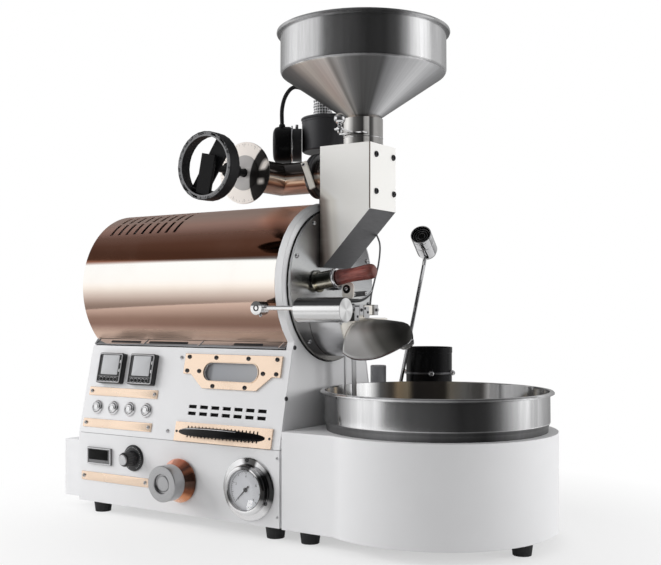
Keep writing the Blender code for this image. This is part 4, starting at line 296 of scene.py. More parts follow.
def lay(name, grids, finish, body="roaster", replaces=(), angle=35, uv=False):
    """Joins grids of points into one piece. Its map, where asked, is the run of each grid round
    and along, in metres."""
    points, faces, coords, start = [], [], [], 0
    for grid, close_u, close_v in grids if isinstance(grids, list) else [grids]:
        m, n = grid.shape[:2]
        i = np.arange(m if close_u else m - 1)[:, None]
        j = np.arange(n if close_v else n - 1)[None, :]
        a, b = i * n + j, ((i + 1) % m) * n + j
        c, d = ((i + 1) % m) * n + (j + 1) % n, i * n + (j + 1) % n
        faces.append(np.stack((a, b, c, d), -1).reshape(-1, 4) + start)
        points.append(grid.reshape(-1, 3))
        if uv:
            around = np.linalg.norm(np.diff(grid[:, n // 2], axis=0), axis=1).sum()
            line = np.vstack((grid[0], grid[0, :1])) if close_v else grid[0]
            run = np.concatenate(((0,), np.cumsum(np.linalg.norm(np.diff(line, axis=0), axis=1))))
            s = np.stack((i, i + 1, i + 1, i), -1) / m * around + 0 * j[..., None]
            t = np.stack((run[j], run[j], run[j + 1], run[j + 1]), -1) + 0 * i[..., None]
            coords.append(np.stack((s, t), -1).reshape(-1, 2) / 1000)
        start += m * n
    return lay_mesh(name, np.vstack(points), np.vstack(faces), finish, body, replaces, angle,
                    np.vstack(coords) if uv else None)


def sheet_with_holes(u_lines, v_lines, in_hole, skin, levels):
    """A sheet over a grid of lines, from its outer face, skin(u, v, first level), to its inner
    one. Cells whose middles are in a hole are left out, and each free edge gets a wall."""
    u_lines, v_lines = np.unique(u_lines), np.unique(v_lines)
    middles = np.meshgrid((u_lines[1:] + u_lines[:-1]) / 2, (v_lines[1:] + v_lines[:-1]) / 2, indexing="ij")
    u, v = np.meshgrid(u_lines, v_lines, indexing="ij")
    m, n = u.shape
    i, j = np.meshgrid(np.arange(m - 1), np.arange(n - 1), indexing="ij")
    quad = np.stack((i * n + j, (i + 1) * n + j, (i + 1) * n + j + 1, i * n + j + 1), -1)
    quad = quad[~in_hole(*middles)]
    edges = np.concatenate([quad[:, (k, (k + 1) % 4)] for k in range(4)])
    _, first, times = np.unique(np.sort(edges, 1), axis=0, return_index=True, return_counts=True)
    rim = edges[first[times == 1]]
    walls = np.stack((rim[:, 1], rim[:, 0], rim[:, 0] + m * n, rim[:, 1] + m * n), 1)
    points = np.vstack([skin(u, v, level).reshape(-1, 3) for level in levels])
    return points, np.vstack((quad, quad[:, ::-1] + m * n, walls))


# Nodes shared by the finishes
class Net:
    """A short way to place and link nodes in one tree."""

    def __init__(self, tree):
        self.tree = tree

    def add(self, kind, values=(), **settings):
        """Places a node, sets its fields, and sets or links its inputs by name or number."""
        node = self.tree.nodes.new(kind)
        for key, value in settings.items():
            setattr(node, key, value)
        for key, value in dict(values).items():
            self.feed(node.inputs[key], value)
        return node

    def feed(self, socket, value):
        """Links a socket or sets its value; a colour may be given by three numbers."""
        if isinstance(value, bpy.types.NodeSocket):
            self.tree.links.new(value, socket)
        else:
            colour = socket.type == "RGBA" and len(value) == 3
            socket.default_value = (*value, 1) if colour else value

    def math(self, operation, *values):
        """The outcome of a math operation on the values."""
        return self.add("ShaderNodeMath", dict(enumerate(values)), operation=operation).outputs[0]

    def scaled(self, value, factor, shift=0.0):
        """A value times a factor, plus a shift."""
        return self.math("MULTIPLY_ADD", value, factor, shift)

    def sum(self, a, b):
        """The sum of two values."""
        return self.math("ADD", a, b)

    def split(self, vector):
        """The three parts of a vector."""
        return self.add("ShaderNodeSeparateXYZ", {0: vector}).outputs

    def share_round(self, rise, run):
        """The angle of a direction, as a share of a full turn that is half at angle 0."""
        return self.sum(self.math("DIVIDE", self.math("ARCTAN2", rise, run), TURN), 0.5)

    def reach(self, vector):
        """The distance of a place from the local Z axis."""
        flat = [self.math("POWER", part, 2.0) for part in self.split(vector)[:2]]
        return self.math("SQRT", self.sum(*flat))

    def vector(self, operation, a, b, output=0):
        """One output of a vector operation on a and b."""
        return self.add("ShaderNodeVectorMath", {0: a, 1: b}, operation=operation).outputs[output]

    def noise(self, place, scale=1.0, detail=2.0, **values):
        """A noise of a scale and detail; further inputs are given by name."""
        values = {key.capitalize(): value for key, value in values.items()}
        given = {"Vector": place, "Scale": scale, "Detail": detail, **values}
        return self.add("ShaderNodeTexNoise", given).outputs[0]

    def bump(self, height, strength, distance=0.0002):
        """The normal that a height gives, over a distance in metres."""
        values = {"Strength": strength, "Distance": distance, "Height": height}
        return self.add("ShaderNodeBump", values).outputs[0]

    def ramp(self, value, stops, interpolation="EASE"):
        """A colour ramp over stops of place: colour or grey."""
        node = self.add("ShaderNodeValToRGB", {0: value})
        node.color_ramp.interpolation = interpolation
        points = node.color_ramp.elements
        while len(points) < len(stops):
            points.new(0.5)
        for point, (place, colour) in zip(points, stops.items()):
            point.position = place
            grey = isinstance(colour, (int, float))
            point.color = (colour, colour, colour, 1) if grey else (*colour, 1)
        return node.outputs[0]

    def blend(self, share, a, b, blend_type="MIX"):
        """A mix of two colours by a share."""
        node = self.add("ShaderNodeMix", data_type="RGBA", blend_type=blend_type)
        for key, value in (("Factor", share), ("A", a), ("B", b)):
            self.feed(node.inputs[key], value)
        return node.outputs["Result"]

    def place(self, centre=(0, 0, 0), turn=(0, 0, 0)):
        """Object coordinates about a centre in the roaster's frame, then turned."""
        at = (np.asarray(centre, float) + ORIGIN) / 1000
        here = self.add("ShaderNodeTexCoord").outputs["Object"]
        moved = self.vector("ADD", here, tuple(-at))
        if any(turn):
            return self.add("ShaderNodeMapping", {"Vector": moved, "Rotation": turn}).outputs[0]
        return moved

    def use(self, name, place, **values):
        """Places a shared effect and gives its outputs."""
        node = self.add("ShaderNodeGroup", node_tree=EFFECTS[name])
        for key, value in {"Vector": place, **values}.items():
            self.feed(node.inputs[key], value)
        return node.outputs


def grain_nodes(net, given):
    """Noise on a stretched copy of the place, as a tone and as fine relief."""
    noise = net.noise(net.vector("MULTIPLY", given["Vector"], given["Stretch"]), 1.0, 5.0, roughness=0.6)
    return {"Tone": noise, "Normal": net.bump(noise, given["Strength"], 0.0003)}


def ring_nodes(net, given):
    """Fine rings about the local Z axis: noise along the distance from that axis."""
    reach = net.math("MULTIPLY", net.reach(given["Vector"]), given["Scale"])
    noise = net.add("ShaderNodeTexNoise", noise_dimensions="1D")
    for key, value in (("W", reach), ("Scale", 1.0), ("Detail", 3.0)):
        net.feed(noise.inputs[key], value)
    return {"Tone": noise.outputs[0], "Normal": net.bump(noise.outputs[0], given["Strength"])}


def streak_nodes(net, given):
    """Streaks that run down from the local Z axis: noise along the angle round it."""
    x, y, z = net.split(given["Vector"])
    angle = net.math("ARCTAN2", y, x)
    place = net.add("ShaderNodeCombineXYZ", {0: net.math("MULTIPLY", angle, given["Scale"]),
                                             2: net.math("MULTIPLY", z, 6.0)})
    noise = net.noise(place.outputs[0], 1.0, 4.0, roughness=0.65)
    return {"Tone": noise, "Angle": net.share_round(y, x), "Normal": net.bump(noise, given["Strength"])}


def peel_nodes(net, given):
    """Powder coat: low soft dimples, and a slow cloud of wiped and settled dust."""
    dimples = net.noise(given["Vector"], given["Scale"])
    cloud = net.noise(given["Vector"], 9.0, 4.0)
    return {"Cloud": net.ramp(cloud, {0.3: 0.0, 0.75: 1.0}), "Normal": net.bump(dimples, given["Strength"])}


def wipe_nodes(net, given):
    """Handling marks: patches of fine smears, stronger where a slow cloud is high."""
    place = net.vector("MULTIPLY", given["Vector"], (1.0, 1.0, 3.0))
    cloud = net.noise(given["Vector"], 14.0, 3.0)
    smear = net.noise(place, given["Scale"], 6.0, distortion=1.2)
    return {"Mask": net.math("MULTIPLY", net.ramp(cloud, {0.42: 0.0, 0.7: 1.0}), smear)}


def braid_nodes(net, given):
    """A woven sleeve: two crossed waves of the surface's own map, one over the other."""
    u, v = (net.math("MULTIPLY", part, given["Scale"]) for part in net.split(given["Vector"])[:2])
    one = net.math("SINE", net.sum(u, v))
    two = net.math("SINE", net.math("SUBTRACT", u, v))
    weave = net.scaled(net.math("MULTIPLY", one, two), 0.5, 0.5)
    return {"Tone": weave, "Normal": net.bump(weave, given["Strength"], 0.0006)}


def wood_nodes(net, given):
    """Turned hardwood: long fibres with darker pores, and a slow change of colour."""
    fibre = net.noise(net.vector("MULTIPLY", given["Vector"], (60.0, 420.0, 420.0)), 1.0, 6.0, distortion=0.6)
    slow = net.noise(given["Vector"], 55.0)
    tone = net.sum(net.math("MULTIPLY", fibre, 0.6), net.math("MULTIPLY", slow, 0.4))
    return {"Tone": net.ramp(tone, {0.36: 0.0, 0.64: 1.0}), "Normal": net.bump(fibre, 0.25, 0.0003)}


EFFECTS = {}
FINISH = {}
# The kinds of the sockets that aren't plain numbers
SOCKETS = {"Vector": "Vector", "Stretch": "Vector", "Normal": "Vector", "Cloud": "Color"}
# Each effect: its name, the function that lays its nodes, its inputs after the place, its outputs
EFFECT_TABLE = (
    ("grain", grain_nodes, ("Stretch", "Strength"), ("Tone", "Normal")),
    ("rings", ring_nodes, ("Scale", "Strength"), ("Tone", "Normal")),
    ("streaks", streak_nodes, ("Scale", "Strength"), ("Tone", "Angle", "Normal")),
    ("peel", peel_nodes, ("Scale", "Strength"), ("Cloud", "Normal")),
    ("wipe", wipe_nodes, ("Scale",), ("Mask",)),
    ("braid", braid_nodes, ("Scale", "Strength"), ("Tone", "Normal")),
    ("wood", wood_nodes, (), ("Tone", "Normal")),
)


def new_socket(tree, key, way):
    """Adds a named input or output to a group; most are plain numbers."""
    tree.interface.new_socket(key, in_out=way, socket_type="NodeSocket" + SOCKETS.get(key, "Float"))


def make_effects():
    """Builds every shared effect once, as a shader node group."""
    for name, build, inputs, outputs in EFFECT_TABLE:
        tree = bpy.data.node_groups.new(name, "ShaderNodeTree")
        for key in ("Vector", *inputs):
            new_socket(tree, key, "INPUT")
        for key in outputs:
            new_socket(tree, key, "OUTPUT")
        source, sink = tree.nodes.new("NodeGroupInput"), tree.nodes.new("NodeGroupOutput")
        made = build(Net(tree), {socket.name: socket for socket in source.outputs})
        for key, socket in made.items():
            tree.links.new(socket, sink.inputs[key])
        EFFECTS[name] = tree


# Finishes
class Look(Net):
    """A material in the making: its nodes, and the shader that they feed."""

    def __init__(self, name, **values):
        self.material = bpy.data.materials.new(name)
        self.material.use_nodes = True
        super().__init__(self.material.node_tree)
        self.shader = self.tree.nodes["Principled BSDF"]
        for key, value in values.items():
            self.shader.inputs[key.replace("_", " ")].default_value = value

    def finish(self, colour, roughness=None, normal=None):
        """Feeds the shader what is given, and gives the material."""
        for key, value in (("Base Color", colour), ("Roughness", roughness), ("Normal", normal)):
            if value is not None:
                self.feed(self.shader.inputs[key], value)
        return self.material

    def faint(self, value, share, a, b):
        """A mix of two colours by a share of a value."""
        return self.blend(self.math("MULTIPLY", value, share), a, b)

    def worn(self, wipe, low, high):
        """A roughness that rises with the handling marks."""
        return self.ramp(wipe["Mask"], {0.0: low, 0.8: high})


def shade(colour, factor):
    """A colour times a factor."""
    return tuple(c * factor for c in colour)


def wanted(name, factor=1.0):
    """A colour of the panel's list times a factor, as three numbers."""
    return shade(getattr(bpy.context.scene.roaster_colours, name), factor)


def greys(stops):
    """Stops of grey tones, a hundredth bluer than even."""
    return {at: (tone, tone, tone * 1.01) for at, tone in stops.items()}


def white_powder(name, shaded_top=False):
    """White powder coat with a fine orange peel; on the end plate's rim, painted shade darkens it towards its
    top.
    """
    look = Look(name, Specular_IOR_Level=0.4)
    peel = look.use("peel", look.place(), Scale=620.0, Strength=0.05)
    tone = look.blend(peel["Cloud"], wanted("white"), wanted("white", 0.965))
    if shaded_top:
        # Painted shade: the rim turns dark grey towards its top
        rise = look.scaled(look.split(look.place(DRUM_AXIS))[2], 4.0, 0.5)
        tone = look.blend(look.ramp(rise, {0.74: 0.0, 0.94: 0.62}), tone, (0.10, 0.11, 0.115))
    return look.finish(tone, look.ramp(peel["Cloud"], {0.0: 0.44, 1.0: 0.52}), peel["Normal"])


def rose_mirror(name, metallic):
    """The start of polished rose gold: its shader, place, handling marks and lengthwise grain."""
    look = Look(name, Metallic=metallic)
    place = look.place(DRUM_AXIS)
    wipe = look.use("wipe", place, Scale=120.0)
    return look, place, wipe, look.use("grain", place, Stretch=(14.0, 900.0, 900.0), Strength=0.015)


def rose_cover():
    """The drum's cover: polished rose gold with painted reflections in bands round its axis, deep brown over
    the shoulder.
    """
    look, place, wipe, grain = rose_mirror("rose_gold_mirror", 1.0)
    _, y, z = look.split(place)
    share = look.share_round(z, look.math("MULTIPLY", y, -1.0))
    # Painted reflection: pale and dark brown bands by the angle round the drum axis
    deep = look.ramp(share, {
        0.36: (0.80, 0.60, 0.49), 0.398: (0.62, 0.44, 0.35), 0.420: (0.25, 0.145, 0.11),
        0.435: (0.27, 0.165, 0.125), 0.465: (0.60, 0.43, 0.35), 0.48: (0.82, 0.66, 0.57),
        0.495: (0.90, 0.80, 0.71), 0.512: (0.905, 0.875, 0.83), 0.5495: (0.905, 0.90, 0.87),
        0.5515: (0.26, 0.10, 0.055), 0.59: (0.27, 0.11, 0.065), 0.612: (0.40, 0.20, 0.14),
        0.628: (0.72, 0.42, 0.33), 0.642: (0.93, 0.58, 0.46), 0.67: (0.98, 0.72, 0.60),
        0.74: (0.72, 0.46, 0.37), 1.0: (0.66, 0.44, 0.35)}, "LINEAR")
    tone = look.faint(wipe["Mask"], 0.12, deep, wanted("rose", 0.8))
    foot = look.ramp(share, {0.395: 0.30, 0.43: 0.0, 0.59: 0.0, 0.625: 0.30}, "LINEAR")
    return look.finish(tone, look.sum(foot, look.worn(wipe, 0.075, 0.12)), grain["Normal"])


def rose_pipe():
    """The mirror pipe: painted reflections by height, dark above, rose gold with pale painted highlights
    below.
    """
    look, _, wipe, grain = rose_mirror("rose_gold_pipe", 0.65)
    level = look.scaled(look.split(look.place((-40, 0, 478)))[2], 20.0, 0.5)
    # Painted reflection: tones by height, pale highlights low, dark high up
    tone = look.ramp(level, {
        0.04: (1.0, 0.94, 0.88), 0.12: (1.0, 0.90, 0.82), 0.18: (0.95, 0.74, 0.63), 0.235: (0.22, 0.12, 0.09),
        0.28: (0.40, 0.23, 0.15), 0.355: (0.80, 0.54, 0.38), 0.395: (1.0, 0.93, 0.84),
        0.46: (1.0, 0.95, 0.88), 0.50: (0.34, 0.19, 0.13), 0.55: (0.05, 0.035, 0.03),
        0.70: (0.05, 0.045, 0.042), 1.0: (0.10, 0.09, 0.085)}, "LINEAR")
    return look.finish(tone, look.worn(wipe, 0.06, 0.12), grain["Normal"])


def steel(name, colour, roughness, stretch, strength, wear, light=1.04, scale=130.0):
    """Steel with a grain stretched along a direction and wiped patches."""
    look = Look(name, Metallic=1.0)
    place = look.place()
    grain = look.use("grain", place, Stretch=stretch, Strength=strength)
    wipe = look.use("wipe", place, Scale=scale)
    tone = look.blend(grain["Tone"], shade(colour, light), shade(colour, 0.9))
    return look.finish(tone, look.worn(wipe, roughness, wear), grain["Normal"])


def spun_steel(name, centre, roughness, tones, limit, low_tones, low_roughness, scale):
    """Rolled steel round an upright axis: streaks by the angle, over painted reflection tones round the axis;
    below a limit of height, in metres, it has painted tones of its own."""
    look = Look(name, Metallic=0.8)
    place = look.place(centre)
    streak = look.use("streaks", place, Scale=scale, Strength=0.02)
    wipe = look.use("wipe", place, Scale=110.0)
    low = look.math("LESS_THAN", look.split(place)[2], limit)
    base = look.blend(low, *(look.ramp(streak["Angle"], stops, "LINEAR") for stops in (tones, low_tones)))
    tone = look.blend(1.0, base, look.ramp(streak["Tone"], {0.3: 0.86, 0.7: 1.0}), "MULTIPLY")
    rough = look.sum(look.worn(wipe, roughness, roughness * 1.5),
                     look.math("MULTIPLY", low, low_roughness - roughness))
    return look.finish(tone, rough, streak["Normal"])


def round_tones(name, centre, tones, metallic, roughness):
    """Polished metal about a level axis, with painted reflection tones that change round it as if mirrored.
    """
    look = Look(name, Metallic=metallic)
    place = look.place(centre)
    wipe = look.use("wipe", place, Scale=160.0)
    x, _, z = look.split(place)
    # Painted reflection: tones by the angle round the axis
    tone = look.faint(wipe["Mask"], 0.2, look.ramp(look.share_round(z, x), tones), (0.5, 0.4, 0.34))
    return look.finish(tone, look.worn(wipe, roughness, roughness * 1.5))


def turned_metal(name, metallic, centre, turn, scale, strength):
    """The start of metal turned on a lathe: its shader and the fine rings about its axis."""
    look = Look(name, Metallic=metallic)
    return look, look.use("rings", look.place(centre, turn), Scale=scale, Strength=strength)


def knob_steel():
    """The gas knob's turned steel."""
    look, rings = turned_metal("knob_turned_steel", 1.0, (GAS_KNOB[0], 0, GAS_KNOB[1]), (math.pi / 2, 0, 0),
                               4200.0, 0.22)
    colour = wanted("steel", 0.78)
    tone = look.blend(rings["Tone"], shade(colour, 1.05), shade(colour, 0.82))
    return look.finish(tone, look.ramp(rings["Tone"], {0.3: 0.24, 0.7: 0.336}), rings["Normal"])


def chute_steel():
    """The feed box: satin steel with a painted shadow at its left edge and low down, its slanting floor a
    painted dark reflection, and painted reflection bands round its socket.
    """
    look = Look("chute_satin_steel")
    place = look.place((45, 0, 430))
    grain = look.use("grain", place, Stretch=(60.0, 60.0, 1800.0), Strength=0.04)
    wipe = look.use("wipe", place, Scale=60.0)
    out = look.split(look.add("ShaderNodeTexCoord").outputs["Normal"])[2]
    # Painted dark reflection on the faces that look down, the slanting floor
    under = look.ramp(look.scaled(out, 0.5, 0.5), {0.28: 1.0, 0.36: 0.0})
    x, y, z = look.split(place)
    # Painted shadow: dark at the box's left edge and low down, lighter up and to the right
    from_edge = look.scaled(x, 25.0, 0.985)
    above = look.math("MULTIPLY", look.math("MAXIMUM", look.sum(z, -0.010), 0.0), 30.0)
    lit = look.sum(look.sum(from_edge, above), look.scaled(z, 2.0, 0.14))
    shadow = look.ramp(lit, {0.05: (0.035, 0.025, 0.02), 0.30: (0.32, 0.27, 0.24), 0.62: (0.86, 0.83, 0.77),
                             0.95: (0.97, 0.96, 0.93)})
    satin = look.faint(wipe["Mask"], 0.25, shadow, (0.88, 0.85, 0.79))
    # Painted reflection bands across the socket
    across = look.sum(look.scaled(x, 16.7, 0.5), look.math("MULTIPLY", y, 10.9))
    reflection_bands = {0.0: 0.30, 0.06: 0.75, 0.20: 0.85, 0.28: 0.55, 0.36: 0.22, 0.60: 0.07, 0.65: 0.85, 0.75: 0.95,
             0.78: 0.08, 0.85: 0.12, 0.90: 0.38, 1.0: 0.30}
    neck = look.ramp(across, {at: (tone, tone * 0.98, tone * 0.95) for at, tone in reflection_bands.items()}, "LINEAR")
    socket = look.math("GREATER_THAN", z, 0.0833)
    box_metal = look.ramp(under, {0.0: 0.05, 1.0: 1.0})
    metallic = look.math("MAXIMUM", box_metal, look.math("MULTIPLY", socket, 0.4))
    look.feed(look.shader.inputs["Metallic"], metallic)
    tone = look.blend(socket, look.blend(under, satin, wanted("dark_steel")), neck)
    return look.finish(tone, look.ramp(grain["Tone"], {0.3: 0.30, 0.7: 0.42}), grain["Normal"])


def grained(name, metallic, centre, stretch, strength):
    """The start of a steel with a grain: its shader, the grain and the parts of the place."""
    look = Look(name, Metallic=metallic)
    place = look.place(centre)
    return look, look.use("grain", place, Stretch=stretch, Strength=strength), look.split(place)


def face_steel():
    """The drum's face plate: satin steel with painted light and shade, light across its middle, dark at its
    foot and at its top, where the feed box keeps the light off it.
    """
    look, grain, (_, y, z) = grained("face_plate_steel", 1.0, DRUM_AXIS, (600.0, 60.0, 900.0), 0.0)
    # Painted light and shade by height, a little tilted across the plate
    reach = look.sum(look.scaled(z, 4.0, 0.5), look.math("MULTIPLY", y, 1.2))
    tone = look.ramp(reach, {0.04: (0.24, 0.23, 0.215), 0.20: (0.34, 0.335, 0.33), 0.34: 0.66,
                             0.50: (0.72, 0.73, 0.73), 0.60: (0.56, 0.57, 0.58), 0.74: (0.22, 0.22, 0.225),
                             0.90: (0.08, 0.08, 0.085)})
    tone = look.faint(grain["Tone"], 0.12, tone, (0.42, 0.42, 0.43))
    return look.finish(tone, look.ramp(grain["Tone"], {0.3: 0.20, 0.7: 0.26}))


def weight_steel():
    """The turned counterweight: a painted dark reflection along its top, a painted highlight band under it.
    """
    look, rings = turned_metal("weight_turned_steel", 1.0, LEVER_AXIS, (0, math.pi / 2, 0), 3000.0, 0.04)
    # Painted reflection: tones by height round the weight
    rise = look.scaled(look.split(look.place(LEVER_AXIS))[2], 31.0, 0.5)
    tone = look.ramp(rise, {0.0: 0.95, 0.10: 0.72, 0.30: 0.66, 0.40: 0.86, 0.52: 1.0, 0.64: 0.92, 0.69: 0.10,
                            0.96: 0.04, 0.995: 0.4}, "LINEAR")
    tone = look.faint(rings["Tone"], 0.15, tone, (0.7, 0.7, 0.7))
    return look.finish(tone, look.ramp(rings["Tone"], {0.3: 0.18, 0.7: 0.26}), rings["Normal"])


def end_steel():
    """A turned end face: pale sectors of painted highlight that fan out from its middle."""
    look, rings = turned_metal("weight_end_steel", 0.7, LEVER_AXIS, (0, math.pi / 2, 0), 3000.0, 0.03)
    _, y, z = look.split(look.place(LEVER_AXIS))
    # Painted highlight: pale sectors by the angle round the middle
    tone = look.ramp(look.share_round(z, y), {0.0: 0.98, 0.10: 0.90, 0.20: 0.62, 0.30: 0.88, 0.42: 0.74,
                                              0.52: 1.0, 0.64: 0.70, 0.76: 0.86, 0.88: 0.62, 1.0: 0.98})
    tone = look.faint(rings["Tone"], 0.1, tone, (0.7, 0.7, 0.7))
    return look.finish(tone, look.ramp(rings["Tone"], {0.3: 0.30, 0.7: 0.42}))


def port_steel():
    """The trier's polished port: dark, with a painted pale golden reflection in a streak low on its side."""
    look, grain, (x, _, z) = grained("trier_port_steel", 1.0, (7.7, -43, 332), (400.0, 400.0, 400.0), 0.0)
    rise = look.math("SUBTRACT", z, look.math("MULTIPLY", x, 0.14))
    # Painted reflection: a pale golden streak low on the port, dark above
    tone = look.ramp(look.scaled(rise, 38.0, 0.5), {
        0.06: (0.10, 0.09, 0.06), 0.16: (0.72, 0.66, 0.50), 0.28: (0.95, 0.90, 0.76),
        0.36: (0.20, 0.19, 0.15), 0.55: (0.07, 0.075, 0.06), 0.78: (0.14, 0.145, 0.13),
        0.90: (0.55, 0.54, 0.50), 1.0: (0.16, 0.16, 0.15)})
    tone = look.faint(grain["Tone"], 0.1, tone, (0.3, 0.3, 0.28))
    return look.finish(tone, look.ramp(grain["Tone"], {0.3: 0.14, 0.7: 0.20}))


def hood_steel():
    """The bean hood: brushed steel with painted light at its mouth's lower edge and painted shade at its
    ridge and nose.
    """
    look, grain, (x, _, z) = grained("hood_brushed_steel", 0.6, (56, 0, 230), (50.0, 1600.0, 1600.0), 0.05)
    level = look.sum(look.math("MULTIPLY", x, 9.0), look.math("MULTIPLY", z, 6.0))
    # Painted light and shade along and up the hood
    tone = look.ramp(level, {0.05: (0.80, 0.79, 0.78), 0.30: (0.96, 0.94, 0.92), 0.40: (0.56, 0.54, 0.51),
                             0.52: (0.17, 0.165, 0.15), 0.74: (0.022, 0.021, 0.018)})
    tone = look.faint(grain["Tone"], 0.06, tone, (0.3, 0.3, 0.3))
    return look.finish(tone, look.ramp(grain["Tone"], {0.3: 0.34, 0.7: 0.46}), grain["Normal"])


def scale_plate(name, pale):
    """The damper's polished scale: pale, with a painted reflection of the dark pipe in its right side, broken
    by painted highlight patches; the painted reflection is what lies within a circle about a point beyond the
    rim."""
    look, rings = turned_metal(name, 0.3, DAMPER_AXIS, (math.pi / 2, 0, 0), 1800.0, 0.05)
    place = look.place(DAMPER_AXIS)
    flat = look.vector("MULTIPLY", place, (1.0, 0.0, 1.0))
    reach = look.math("MULTIPLY", look.vector("DISTANCE", flat, (0.0638, 0.0, -0.0121), "Value"), 10.0)
    # Painted reflection of the dark pipe, with a ring of painted highlight in two patches
    dark = look.ramp(reach, {0.535: 1.0, 0.550: 0.0}, "LINEAR")
    highlight_ring = look.ramp(reach, {0.29: 0.0, 0.34: 1.0, 0.38: 1.0, 0.43: 0.0}, "LINEAR")
    highlight_patches = look.ramp(look.scaled(look.split(place)[2], 20.0, 0.5), {
        0.12: 0.0, 0.24: 0.8, 0.36: 0.0, 0.50: 0.0, 0.60: 1.0, 0.72: 0.9, 0.88: 0.0})
    mask = look.math("MULTIPLY", dark, look.math("SUBTRACT", 1.0, look.math("MULTIPLY", highlight_ring, highlight_patches)))
    lacquer = look.faint(rings["Tone"], 0.4, pale, shade(pale, 0.9))
    tone = look.blend(mask, lacquer, (0.012, 0.010, 0.009))
    return look.finish(tone, look.ramp(rings["Tone"], {0.3: 0.34, 0.7: 0.44}), rings["Normal"])


def paint(name, colour, roughness, scale, strength, variation=0.88, **values):
    """Paint, plastic or rubber: a close grain with a slow cloud of wear."""
    look = Look(name, **values)
    peel = look.use("peel", look.place(), Scale=scale, Strength=strength)
    tone = look.blend(peel["Cloud"], colour, shade(colour, variation))
    return look.finish(tone, look.ramp(peel["Cloud"], {0.0: roughness, 1.0: roughness * 1.2}), peel["Normal"])


def wood():
    """Red-brown hardwood, darker towards its ends and into its pores."""
    look = Look("red_brown_wood", Coat_Weight=0.4, Coat_Roughness=0.2, Roughness=0.42)
    place = look.place((68.4, -43, 340.9), (0, math.radians(8), 0))
    fibre = look.use("wood", place)
    from_middle = look.math("MULTIPLY", look.math("ABSOLUTE", look.split(place)[0]), 30.0)
    light = look.blend(fibre["Tone"], (0.16, 0.030, 0.026), (0.40, 0.105, 0.080))
    tone = look.faint(look.ramp(from_middle, {0.35: 0.0, 0.85: 1.0}), 0.75, light, wanted("wood", 0.22))
    return look.finish(tone, normal=fibre["Normal"])


def sleeve(name, light, dark, scale, metallic):
    """A woven sleeve on the piece's own map."""
    look = Look(name, Metallic=metallic, Roughness=0.4)
    weave = look.use("braid", look.add("ShaderNodeTexCoord").outputs["UV"], Scale=scale, Strength=0.8)
    return look.finish(look.blend(look.ramp(weave["Tone"], {0.35: 0.0, 0.6: 1.0}), dark, light),
                       normal=weave["Normal"])


def clear_glass():
    """Clear instrument glass."""
    look = Look("instrument_glass", Transmission_Weight=1.0, IOR=1.45, Metallic=0.0)
    wipe = look.use("wipe", look.place(), Scale=200.0)
    return look.finish(look.blend(wipe["Mask"], (1.0, 1.0, 1.0), (0.97, 0.98, 1.0)),
                       look.ramp(wipe["Mask"], {0.0: 0.0, 1.0: 0.012}))


def sight_pane():
    """The drum's sight glass, smoked grey, with its darker left end."""
    look = Look("smoked_sight_glass", Coat_Weight=0.6, Coat_Roughness=0.03)
    place = look.place((-94.5, -100, 210))
    peel = look.use("peel", place, Scale=120.0)
    tone = look.ramp(look.scaled(look.split(place)[0], 9.5, 0.5), {
        0.0: (0.10, 0.105, 0.12), 0.14: (0.12, 0.125, 0.14), 0.2: (0.27, 0.28, 0.30),
        1.0: (0.33, 0.335, 0.35)})
    return look.finish(tone, look.ramp(peel["Cloud"], {0.0: 0.18, 1.0: 0.3}))


def dial_paper():
    """A printed white dial, very slightly mottled, with a grey ring near its edge."""
    look = Look("dial_paper", Roughness=0.5)
    place = look.place((GAUGE[0], -126, GAUGE[1]), (math.pi / 2, 0, 0))
    tone = look.ramp(look.math("MULTIPLY", look.reach(place), 38.0), {
        0.0: (0.72, 0.73, 0.76), 0.7: (0.76, 0.77, 0.80), 0.93: (0.66, 0.67, 0.70), 1.0: (0.40, 0.40, 0.42)})
    peel = look.use("peel", place, Scale=900.0, Strength=0.03)
    return look.finish(look.faint(peel["Cloud"], 0.15, tone, (0.6, 0.6, 0.62)), normal=peel["Normal"])


# Painted reflection tones round the hopper's bowl and cone, the cooling tray, the gauge's bezel and
# the copper dish; those of the tray's foot are every third of the tray's, at 0.30 of their level, as painted
# shade
HOPPER_REFLECTIONS = greys({0.08: 0.30, 0.14: 0.52, 0.19: 0.70, 0.235: 0.56, 0.27: 0.48, 0.30: 0.34, 0.345: 0.14,
                      0.375: 0.13, 0.40: 0.22, 0.425: 0.62, 0.45: 0.90, 0.49: 0.62, 0.54: 0.40, 0.60: 0.24,
                      0.80: 0.56, 1.0: 0.50})
CONE_REFLECTIONS = {0.10: 0.12, 0.165: 0.30, 0.185: (0.62, 0.60, 0.57), 0.21: (1.0, 0.96, 0.90),
              0.235: (0.84, 0.78, 0.74), 0.262: (0.90, 0.87, 0.84), 0.272: (0.34, 0.33, 0.32),
              0.285: (0.66, 0.65, 0.64), 0.298: 0.36, 0.33: 0.18, 0.375: 0.20, 0.390: (0.46, 0.46, 0.47),
              0.42: (0.62, 0.62, 0.63), 0.47: (0.80, 0.80, 0.81), 0.53: (0.52, 0.52, 0.53), 0.62: 0.20,
              1.0: 0.3}
